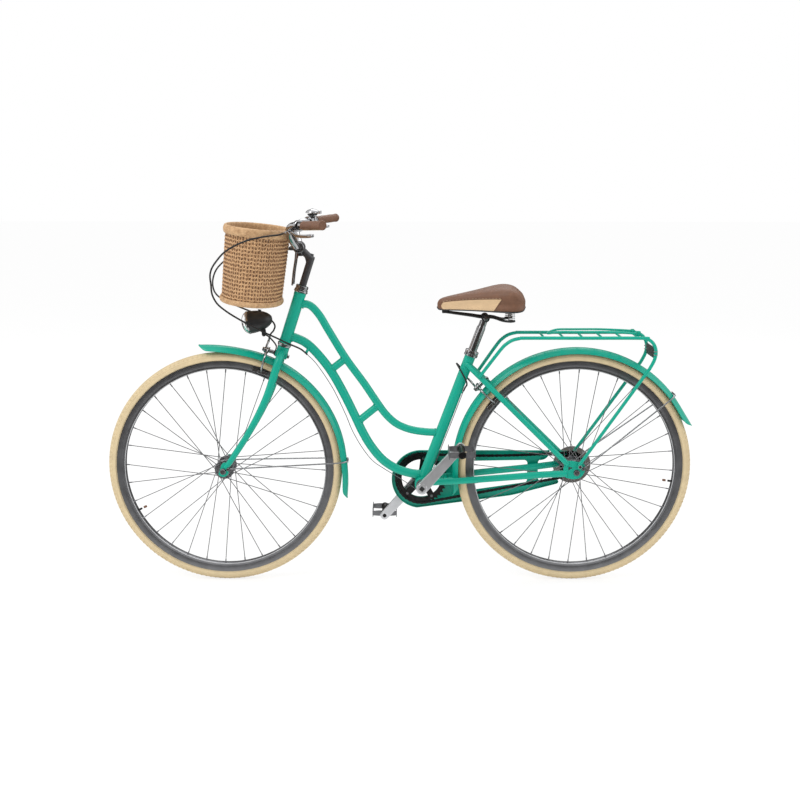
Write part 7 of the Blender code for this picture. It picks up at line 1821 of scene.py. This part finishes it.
def bell():
    """A spring bell: band, black base, chromed dome and thumb striker."""
    outward, forward, upward = bar_axes(1)
    centre = straight(1, -BELL_INBOARD)
    band = [turned(sleeve(BAR_RADIUS + BORE_ROOM, 0.0145, 0.006, 0.0007, 0.001), centre, outward),
            rod(centre + upward * 0.0120, centre + upward * 0.0370, 0.0036, 24)]
    show("bell_band", band, "chrome", "bell", soften=0.0003)
    low, high = BELL_BASE_HEIGHT - 0.004, BELL_BASE_HEIGHT + 0.0018
    base = turned([(0, low), (0.0125, low), (0.0155, BELL_BASE_HEIGHT), (0.0155, high), (0, high)],
                  centre, upward)
    show("bell_base", [base], "black_plastic", "bell", soften=0.0003)
    turns = [radians(a) for a in range(0, 91, 6)]
    outer, inner = [[((BELL_RADIUS - wall) * cos(t) if t < pi / 2 - 0.01 else 0,
                      BELL_RIM_HEIGHT + (BELL_DOME_HEIGHT - wall) * sin(t)) for t in turns]
                    for wall in (0, 0.0012)]
    lip = [(BELL_RADIUS + 0.0004, BELL_RIM_HEIGHT + out) for out in (0.0006, -0.0004)]
    dome = turned(outer[::-1] + lip + inner, centre, upward, 64)
    screw = turned([(0, 0), (0.0040, 0), (0.0036, 0.0010), (0, 0.0014)],
                   centre + upward * (BELL_RIM_HEIGHT + BELL_DOME_HEIGHT - 0.0003), upward, 24)
    show("bell_dome", [dome, screw], "chrome", "bell")
    pivot = centre - forward * 0.0105
    low = BELL_BASE_HEIGHT + 0.002 + GAP
    thick = BELL_RIM_HEIGHT - GAP - low
    level = pivot + upward * (low + thick / 2)
    arm = rounded([(-0.0035, -0.003), (0.018, -0.0026), (0.018, 0.0026), (-0.0035, 0.003)], 0.002)
    shapes = [plate(arm, level, -forward, outward, thick),
              block(level - forward * 0.0185 + upward * 0.003, (0.0025, 0.010, 0.009), forward, outward),
              bar(level, upward * 0.0018, 0.0022, 16)]
    show("striker_lever", shapes, "chrome", "bell_striker", soften=0.0004)


# Basket

basket_down = Vector((-sin(BASKET_TILT), 0, -cos(BASKET_TILT)))
basket_back = Vector((cos(BASKET_TILT), 0, -sin(BASKET_TILT)))
basket_top = bar_centre + Vector((-BASKET_REACH, 0, BASKET_RIM_RISE))


def in_basket(back, side, down):
    """A point by its distance back, right and down from the middle of the rim."""
    return basket_top + basket_back * back + Y_AXIS * side + basket_down * down


def basket_ring(down, grow, count=BASKET_STAKES * 4):
    """Points round the basket at a depth, evenly spaced, grown outwards by an amount."""
    scale = 1 - (1 - BASKET_FLOOR_SCALE) * down / BASKET_HEIGHT
    fine, fine_count = [], 720
    power = 2 / BASKET_SQUARENESS
    for k in range(fine_count):
        t = 2 * pi * k / fine_count
        c, s = cos(t), sin(t)
        fine.append((BASKET_HALF_DEPTH * scale * abs(c) ** power * (1 if c > 0 else -1),
                     BASKET_HALF_WIDTH * scale * abs(s) ** power * (1 if s > 0 else -1)))
    lengths = [((b[0] - a[0]) ** 2 + (b[1] - a[1]) ** 2) ** 0.5 for a, b in zip(fine, fine[1:] + fine[:1])]
    step = sum(lengths) / count
    result, left = [], 0.0
    for a, b, length in zip(fine, fine[1:] + fine[:1], lengths):
        while left < length and len(result) < count:
            share = left / length
            normal = Vector((b[1] - a[1], a[0] - b[0])).normalized()
            result.append((a[0] + (b[0] - a[0]) * share, a[1] + (b[1] - a[1]) * share, normal))
            left += step
        left -= length
    return [(in_basket(x + n.x * grow, y + n.y * grow, down), basket_back * n.x + Y_AXIS * n.y)
            for x, y, n in result]


def ellipse_share(share):
    """How far the basket's floor reaches one way at a share of its reach the other way."""
    return (1 - abs(share) ** BASKET_SQUARENESS) ** (1 / BASKET_SQUARENESS)


def wave(value):
    """A fixed scatter between minus one and one for a number."""
    return (sin(value * 12.9898) * 43758.5453) % 2 - 1


def basket_weave():
    """Upright stakes and rows of cane that pass in front of one and behind the next."""
    stakes, strands = [], []
    wall = -BASKET_WALL / 2
    top, foot = BASKET_BAND_HEIGHT - 0.004, BASKET_HEIGHT - BASKET_FOOT_HEIGHT + 0.004
    upper, lower = basket_ring(top, wall), basket_ring(foot, wall)
    for k in range(BASKET_STAKES):
        a, b = upper[4 * k][0], lower[4 * k][0]
        stakes.append(sweep([a, a.lerp(b, 0.5), b], [(0.0017, 0.0014)] * 3, 8))
    for row in range(BASKET_ROWS):
        share = (row + 0.5) / BASKET_ROWS
        down = BASKET_BAND_HEIGHT + 0.001 + (foot - BASKET_BAND_HEIGHT - 0.004) * share
        places = basket_ring(down, wall)
        path = []
        for k, (place, out) in enumerate(places):
            phase = pi * k / 4
            weave = cos(phase) * (1 if row % 2 else -1)
            chevron = WEAVE_CHEVRON * cos(phase) + WEAVE_SCATTER * wave(row * 7.3 + (k // 8) * 3.1)
            path.append(place + out * weave * WEAVE_DEPTH + basket_down * chevron)
        strands.append(ribbon(path, [out for _, out in places], *STRAND_SIZE))
    return stakes, strands


def ribbon(path, outs, thick, tall, sides=8):
    """A closed flat-oval strand whose flat side faces out."""
    rings = []
    count = len(path)
    for i, point in enumerate(path):
        tangent = (path[(i + 1) % count] - path[i - 1]).normalized()
        u = (outs[i] - tangent * outs[i].dot(tangent)).normalized()
        v = tangent.cross(u)
        rings.append([point + u * thick * cos(2 * pi * k / sides) + v * tall * sin(2 * pi * k / sides)
                      for k in range(sides)])
    return loft(rings, closed=True)


def rolled_band(down, half_height, half_thick, strands, turns):
    """A band of canes wound slowly round a flat core."""
    shapes, ring_points = [], 200
    places = basket_ring(down, 0.0, ring_points)
    core = [place for place, _ in places]
    flat_core = ribbon(core, [out for _, out in places], half_thick * 0.70, half_height * 0.85, 12)
    for s in range(strands):
        path = []
        for k, (place, out) in enumerate(places):
            t = 2 * pi * (s / strands + turns * k / len(places))
            path.append(place + out * (half_thick - CANE_THICKNESS * 0.6) * cos(t)
                        + basket_down * (half_height - CANE_THICKNESS) * sin(t))
        shapes.append(ribbon(path, [out for _, out in places], CANE_THICKNESS * 0.8, CANE_THICKNESS * 0.8))
    return flat_core, shapes


def basket():
    """Woven walls, floor, wrapped rim and twisted foot."""
    stakes, strands = basket_weave()
    show("basket_weave", strands, "wicker", "basket", sharp=80)
    rim_core, rim = rolled_band(BASKET_BAND_HEIGHT / 2, *RIM_BAND)
    foot_core, rolled_foot = rolled_band(BASKET_HEIGHT - BASKET_FOOT_HEIGHT / 2, *FOOT_BAND)
    show("basket_bands", rim + rolled_foot, "cane_band", "basket", sharp=80)
    # The stakes and the bands' cores take the darker cane, painted as the shade between the strands
    show("basket_stakes", stakes + [rim_core, foot_core], "cane_painted_shade", "basket", sharp=80)
    slats, long_slats, cross_slats = [], 40, 12
    depth = BASKET_HEIGHT - 0.006
    floor_width = BASKET_HALF_WIDTH * BASKET_FLOOR_SCALE
    floor_depth = BASKET_HALF_DEPTH * BASKET_FLOOR_SCALE
    for i in range(long_slats):
        y = floor_width * 0.97 * (2 * (i + 0.5) / long_slats - 1)
        reach = floor_depth * ellipse_share(y / floor_width) * 0.985
        rise = 0.0010 * (1 if i % 2 else -1)
        path = [in_basket(reach * (2 * k / cross_slats - 1), y, depth + rise * cos(pi * k))
                for k in range(cross_slats + 1)]
        slats.append(sweep(smooth(path, 3), [(0.0036, 0.0012)] * 37, 8, Y_AXIS))
    for k in range(cross_slats):
        back = floor_depth * 0.9 * (2 * (k + 0.5) / cross_slats - 1)
        reach = floor_width * ellipse_share(back / floor_depth) * 0.98
        slats.append(sweep([in_basket(back, -reach, depth), in_basket(back, reach, depth)], 0.0016, 8))
    show("basket_floor_weave", slats, "wicker", "basket", sharp=80)


def basket_bracket():
    """Two hooks round the handlebar, the plate they hold, and their free tails."""
    wall = BASKET_HALF_DEPTH * (1 - (1 - BASKET_FLOOR_SCALE) * 0.05 / BASKET_HEIGHT) + 0.004
    plate_back, hook_back = 0.1030, 0.1093
    shapes = [block(in_basket((wall + plate_back) / 2, 0, 0.052), (plate_back - wall, 0.009, 0.052),
                    basket_back, basket_down)]
    tails, straps = [], []
    for side in (-1, 1):
        centre = bar_centre + Y_AXIS * side * BRACKET_SPREAD
        hook = sleeve(BAR_RADIUS + BORE_ROOM, BAR_RADIUS + 0.0045, 0.0034, 0.0008)
        shapes.append(turned(hook, centre, Y_AXIS))
        shapes.append(block(in_basket(plate_back, side * BRACKET_SPREAD, 0.052),
                            (2 * (hook_back - plate_back), 0.008, 0.005), basket_back, basket_down))
        path = [centre + Vector(offset) for offset in BRACKET_TAIL]
        tails += [sweep(smooth(path, 6), 0.0028, 16, Y_AXIS), ball(path[-1], 0.0030, Z_AXIS, 16)]
        start = bar_centre + Vector((-0.0035, side * (BRACKET_SPREAD - 0.004), -0.013))
        path = smooth([start, start + Vector((-0.001, side * 0.002, -0.010)),
                       start + Vector((-0.0035, side * 0.003, -0.020))], 5)
        straps.append(sweep(path, [(0.0030, 0.0011)] * len(path), 12, Y_AXIS))
    show("bracket_hooks", shapes, "chrome", "basket_bracket", soften=0.0004)
    show("bracket_tails", tails, "chrome", "basket_bracket")
    show("bracket_straps", straps, "brown_leather", "basket_bracket", sharp=50)


# Headlight

def headlight():
    """Bullet housing with a chromed bezel, reflector, bulb and ribbed lens, on its bracket."""
    knuckle = steer(LAMP_KNUCKLE_ALONG, LAMP_KNUCKLE_AHEAD)
    face = knuckle + Vector((-LAMP_FORWARD, 0, LAMP_RISE))
    forward = Vector((-cos(LAMP_DIP), 0, -sin(LAMP_DIP)))
    r, back = LAMP_RADIUS, LAMP_LENGTH
    shell = [(a * r, b * back, 0) for a, b in LAMP_SHAPE] + [(r, -0.002, 0)]
    outer = [(max(0, p.x), p.y) for p in smooth(shell, 5)]
    outer[0] = (0, -back)
    hollow = [(r - 0.0018, -0.002), (0.80 * r, -0.45 * back), (0, -0.80 * back)]
    housing = turned(outer + hollow, face, forward, 64)
    to_lamp = face - forward * 0.039 - knuckle
    ear_axis = to_lamp.normalized()
    ear_across = Y_AXIS.cross(ear_axis)
    ears, ear_length = [], to_lamp.length - 0.79 * r
    for y in (-0.0083, 0.0083):
        ears.append(rod(knuckle + Y_AXIS * (y - 0.0014), knuckle + Y_AXIS * (y + 0.0014), 0.0062, 28))
        ears.append(block(knuckle + ear_axis * ear_length / 2 + Y_AXIS * y, (ear_length, 0.011, 0.0026),
                          ear_axis, ear_across))
    switch = turned([(0, 0), (0.0052, 0), (0.0052, 0.0022), (0.0042, 0.0030), (0, 0.0032)],
                    face - forward * 0.034 + Z_AXIS * (0.90 * r), Vector((0.16, 0, 1)), 24)
    show("lamp_shell", [housing] + ears + [switch], "black_plastic", "headlight_housing",
         soften=0.0004)
    bezel = turned([(r - 0.0030, -0.003), (r + 0.0002, -0.003), (r + 0.0006, -0.0015), (r + 0.0006, 0.0015),
                    (r - 0.0004, 0.0028), (r - 0.0030, 0.0020)], face, forward, 64)
    show("lamp_bezel", [bezel], "chrome", "headlight_housing")
    bowl, bowl_steps = [(0.004, -0.030)], 12
    for share in (i / bowl_steps for i in range(1, bowl_steps + 1)):
        bowl.append(((r - 0.0035) * share ** 0.5, -0.030 + 0.029 * share))
    inner = [(radius + 0.0006, height - 0.0004) for radius, height in reversed(bowl)]
    show("lamp_reflector", [turned(bowl + inner, face, forward, 64)], "reflector", "headlight_housing")
    neck = rod(face - forward * 0.030, face - forward * 0.018, 0.0032, 20)
    show("lamp_bulb", [ball(face - forward * 0.016, 0.0042, forward), neck], "bulb", "headlight_housing")
    depth, edge, hollow = LAMP_LENS_LENGTH, r - 0.0012, LAMP_LENS_LENGTH - 0.0025
    turns = [pi / 2 * i / 14 for i in range(1, 14)]
    front = [(0.0, depth)] + [(edge * sin(t), depth * cos(t)) for t in turns] + [(edge, 0.0006)]
    inside = [((r - 0.0036) * sin(t), hollow * cos(t)) for t in reversed(turns)]
    lens = turned(front + [(r - 0.0034, 0.0006)] + inside + [(0, hollow)], face, forward, 64)
    show("lamp_lens", [lens], "clear_lens", "headlight_lens")

    eye = FRONT_BRAKE_BOSS + GAP
    strip_ahead = eye + 0.0018
    knots = [steer(BRAKE_PIVOT_ALONG + up, strip_ahead + ahead)
             for up, ahead in ((0.005, 0), (0.015, 0), (0.023, 0.004), (0.033, 0.018))]
    path = smooth([*knots, steer(LAMP_KNUCKLE_ALONG - 0.003, LAMP_KNUCKLE_AHEAD - 0.014), knuckle], 6)
    shapes = [flat_strip(path, 0.0058, 0.0013),
              rod(steer(BRAKE_PIVOT_ALONG, eye), steer(BRAKE_PIVOT_ALONG, eye + 0.003), 0.0085, 32),
              bar(knuckle, Y_AXIS * 0.0064, 0.006, 28),
              bar(knuckle, Y_AXIS * 0.0112, 0.0025, 16)]
    show("lamp_bracket_strip", shapes, "black_plastic", "headlight_bracket", soften=0.0003)


def flat_strip(path, half_width, half_height):
    """A flat metal strip along a path in the middle plane."""
    rings = []
    for i, point in enumerate(path):
        tangent = (path[min(i + 1, len(path) - 1)] - path[max(i - 1, 0)]).normalized()
        up = tangent.cross(Y_AXIS)
        rings.append([point + Y_AXIS * a * half_width + up * b * half_height
                      for a, b in ((-1, -1), (1, -1), (1, 1), (-1, 1))])
    return loft(rings)


# Carrier

def carrier():
    """Bent rails, crossbars, lugs, the lamp plate and its clamps."""
    rails = []
    for side in (-1, 1):
        top = seat(SEAT_STAY_TOP, side * SEAT_STAY_TOP_Y)
        bridge = around(rear_axle, BRIDGE_DISTANCE, SEAT_BRIDGE_ANGLE, side * SEAT_STAY_BRIDGE_Y)
        beside = 1.2 * SEAT_STAY_RADIUS + CARRIER_TUBE_RADIUS + GAP
        foot = top.lerp(bridge, CARRIER_FOOT_SHARE) + Y_AXIS * side * beside
        wide, high = side * CARRIER_HALF_WIDTH, CARRIER_HEIGHT
        tail = rear_axle + Vector((0.006, side * (REAR_DROPOUT_Y + DROPOUT_THICKNESS + CARRIER_TUBE_RADIUS
                                                  + GAP), 0.024))
        knots = [foot] + [(x, wide * out, high - drop) for x, out, drop in CARRIER_RAIL]
        path = smooth(knots, 5) + [tail.lerp(Vector(knots[-1]), 0.5), tail]
        rails.append(sweep(path, CARRIER_TUBE_RADIUS, 20))
        eye = tail + Vector((0.002, 0, -0.004))
        rails.append(bar(eye, Y_AXIS * 0.0042, 0.0078, 28))
        lug = Vector((CLIP_HINGE_X, side * (CLIP_HALF_WIDTH + 0.008), CARRIER_HEIGHT + 0.006))
        rails.append(block(lug, (0.010, 0.014, 0.003), X_AXIS, Z_AXIS))
    rails += [bar(Vector((x, 0, CARRIER_HEIGHT)), Y_AXIS * CARRIER_HALF_WIDTH, CARRIER_BAR_RADIUS, 16)
              for x in CARRIER_BARS + [CLIP_HINGE_X]]
    show("carrier_rails", rails, "green_paint", "carrier", soften=0.0004)
    plate_centre = Vector((CARRIER_PLATE_X, 0, CARRIER_PLATE_Z))
    half_y, half_z = CARRIER_HALF_WIDTH, 0.016
    outline = rounded([(-half_y, -half_z), (half_y, -half_z), (half_y, half_z), (-half_y, half_z)], 0.005)
    shapes = [plate(outline, plate_centre, Y_AXIS, Z_AXIS, 0.0019)]
    bolts = []
    for side in (-1, 1):
        for dz in (-0.009, 0.009):
            place = plate_centre + Vector((0.0010, side * 0.050, dz))
            bolts.append(hex_bolt(place, X_AXIS, 0.0036, 0.0024))
        tail = rear_axle + Vector((0.008, side * (REAR_DROPOUT_Y + DROPOUT_THICKNESS + 0.0097), 0.020))
        bolts.append(hex_bolt(tail, Y_AXIS * side, 0.0058, 0.0042))
        for rise in (-0.004, 0.006):
            place = (CARRIER_PLATE_X + 0.0005, side * CARRIER_HALF_WIDTH, CARRIER_PLATE_Z + rise)
            shapes.append(ring(place, Z_AXIS, CARRIER_TUBE_RADIUS + BORE_ROOM, 0.0012, 28))
    show("carrier_lamp_plate", shapes, "alloy", "carrier", soften=0.0003)
    show("carrier_bolts", bolts, "chrome", "carrier", soften=0.0002)


def carrier_clip():
    """The spring clip: a bent rod with a coil at each hinge end."""
    hinge = Vector((CLIP_HINGE_X, 0, CARRIER_HEIGHT + CLIP_LIFT))
    half = [hinge + Vector(p) for p in CLIP_SHAPE]
    path = smooth(half + [mirror(p) for p in reversed(half)], 6)
    shapes = [sweep(path, CLIP_ROD_RADIUS, 14)]
    count, turns, radius = 96, 6, 0.0042
    for side in (-1, 1):
        coil = [hinge + Vector((radius * cos(2 * pi * turns * i / count), side * (0.012 + 0.014 * i / count),
                                radius * sin(2 * pi * turns * i / count))) for i in range(count + 1)]
        shapes.append(sweep(coil, 0.0009, 8, Y_AXIS))
    shapes.append(bar(hinge, Y_AXIS * 0.0335, 0.0024, 16))
    show("clip_rod", shapes, "green_paint", "carrier_clip")


# Cables

def cables():
    """Black housings, and the bare wire up the back of the seat tube."""
    steps = 6
    ferrule = ((0, -0.001), (0.0032, -0.001), (0.0034, 0.0), (0.0034, 0.010), (0.0030, 0.011), (0, 0.011))
    for tag, route in (("front", FRONT_CABLE_ROUTE), ("rear", REAR_CABLE_ROUTE)):
        node = tag + "_brake_cable"
        path = smooth(route, steps)
        ends = [turned(ferrule, path[i], path[j] - path[i], 16) for i, j in ((0, 2), (-1, -3))]
        covered = [path]
        if tag == "rear":
            first, last = BARE_WIRE[0] * steps, BARE_WIRE[1] * steps
            covered = [path[:first + 1], path[last:]]
            show("rear_brake_wire", [sweep(path[first - 2:last + 3], WIRE_RADIUS, 10)], "bolt_steel", node,
                 ride=False)
        housing = show(node + "_housing", [sweep(run, CABLE_RADIUS, 14) for run in covered], "black_rubber",
                       node, ride=tag == "front")
        ferrules = show(node + "_ferrules", ends, "chrome", node, ride=tag == "front")
        if tag == "rear":
            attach(bpy.data.objects["rear_brake_wire"], "frame")
            for piece in (housing, ferrules):
                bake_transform(piece)


def build():
    """Make every piece."""
    frame_tubes()
    headset()
    fork()
    wheels = (("front", front_axle, FRONT_DROPOUT_Y), ("rear", rear_axle, REAR_DROPOUT_Y))
    for tag, centre, dropout_y in wheels:
        wheel(tag, centre)
        axle(tag, centre, dropout_y)
    protector_disc()
    mudguards()
    pins = crankset()
    rear_sprocket()
    chain()
    chain_guard()
    for (side, tag), pin in zip(SIDES, pins):
        pedal(side, tag, pin)
        grip(side, tag)
        brake_perch(side, tag)
    caliper("front", steer(BRAKE_PIVOT_ALONG), steer_up, steer_ahead, FRONT_BRAKE_PLANE, FRONT_BRAKE_BOSS)
    caliper("rear", around(rear_axle, BRIDGE_DISTANCE, SEAT_BRIDGE_ANGLE), rear_up, rear_ahead,
            REAR_BRAKE_PLANE, BRIDGE_RADIUS)
    seat_post()
    saddle_under()
    saddle()
    stem()
    handlebar()
    bell()
    basket()
    basket_bracket()
    headlight()
    carrier()
    carrier_clip()
    cables()


build()
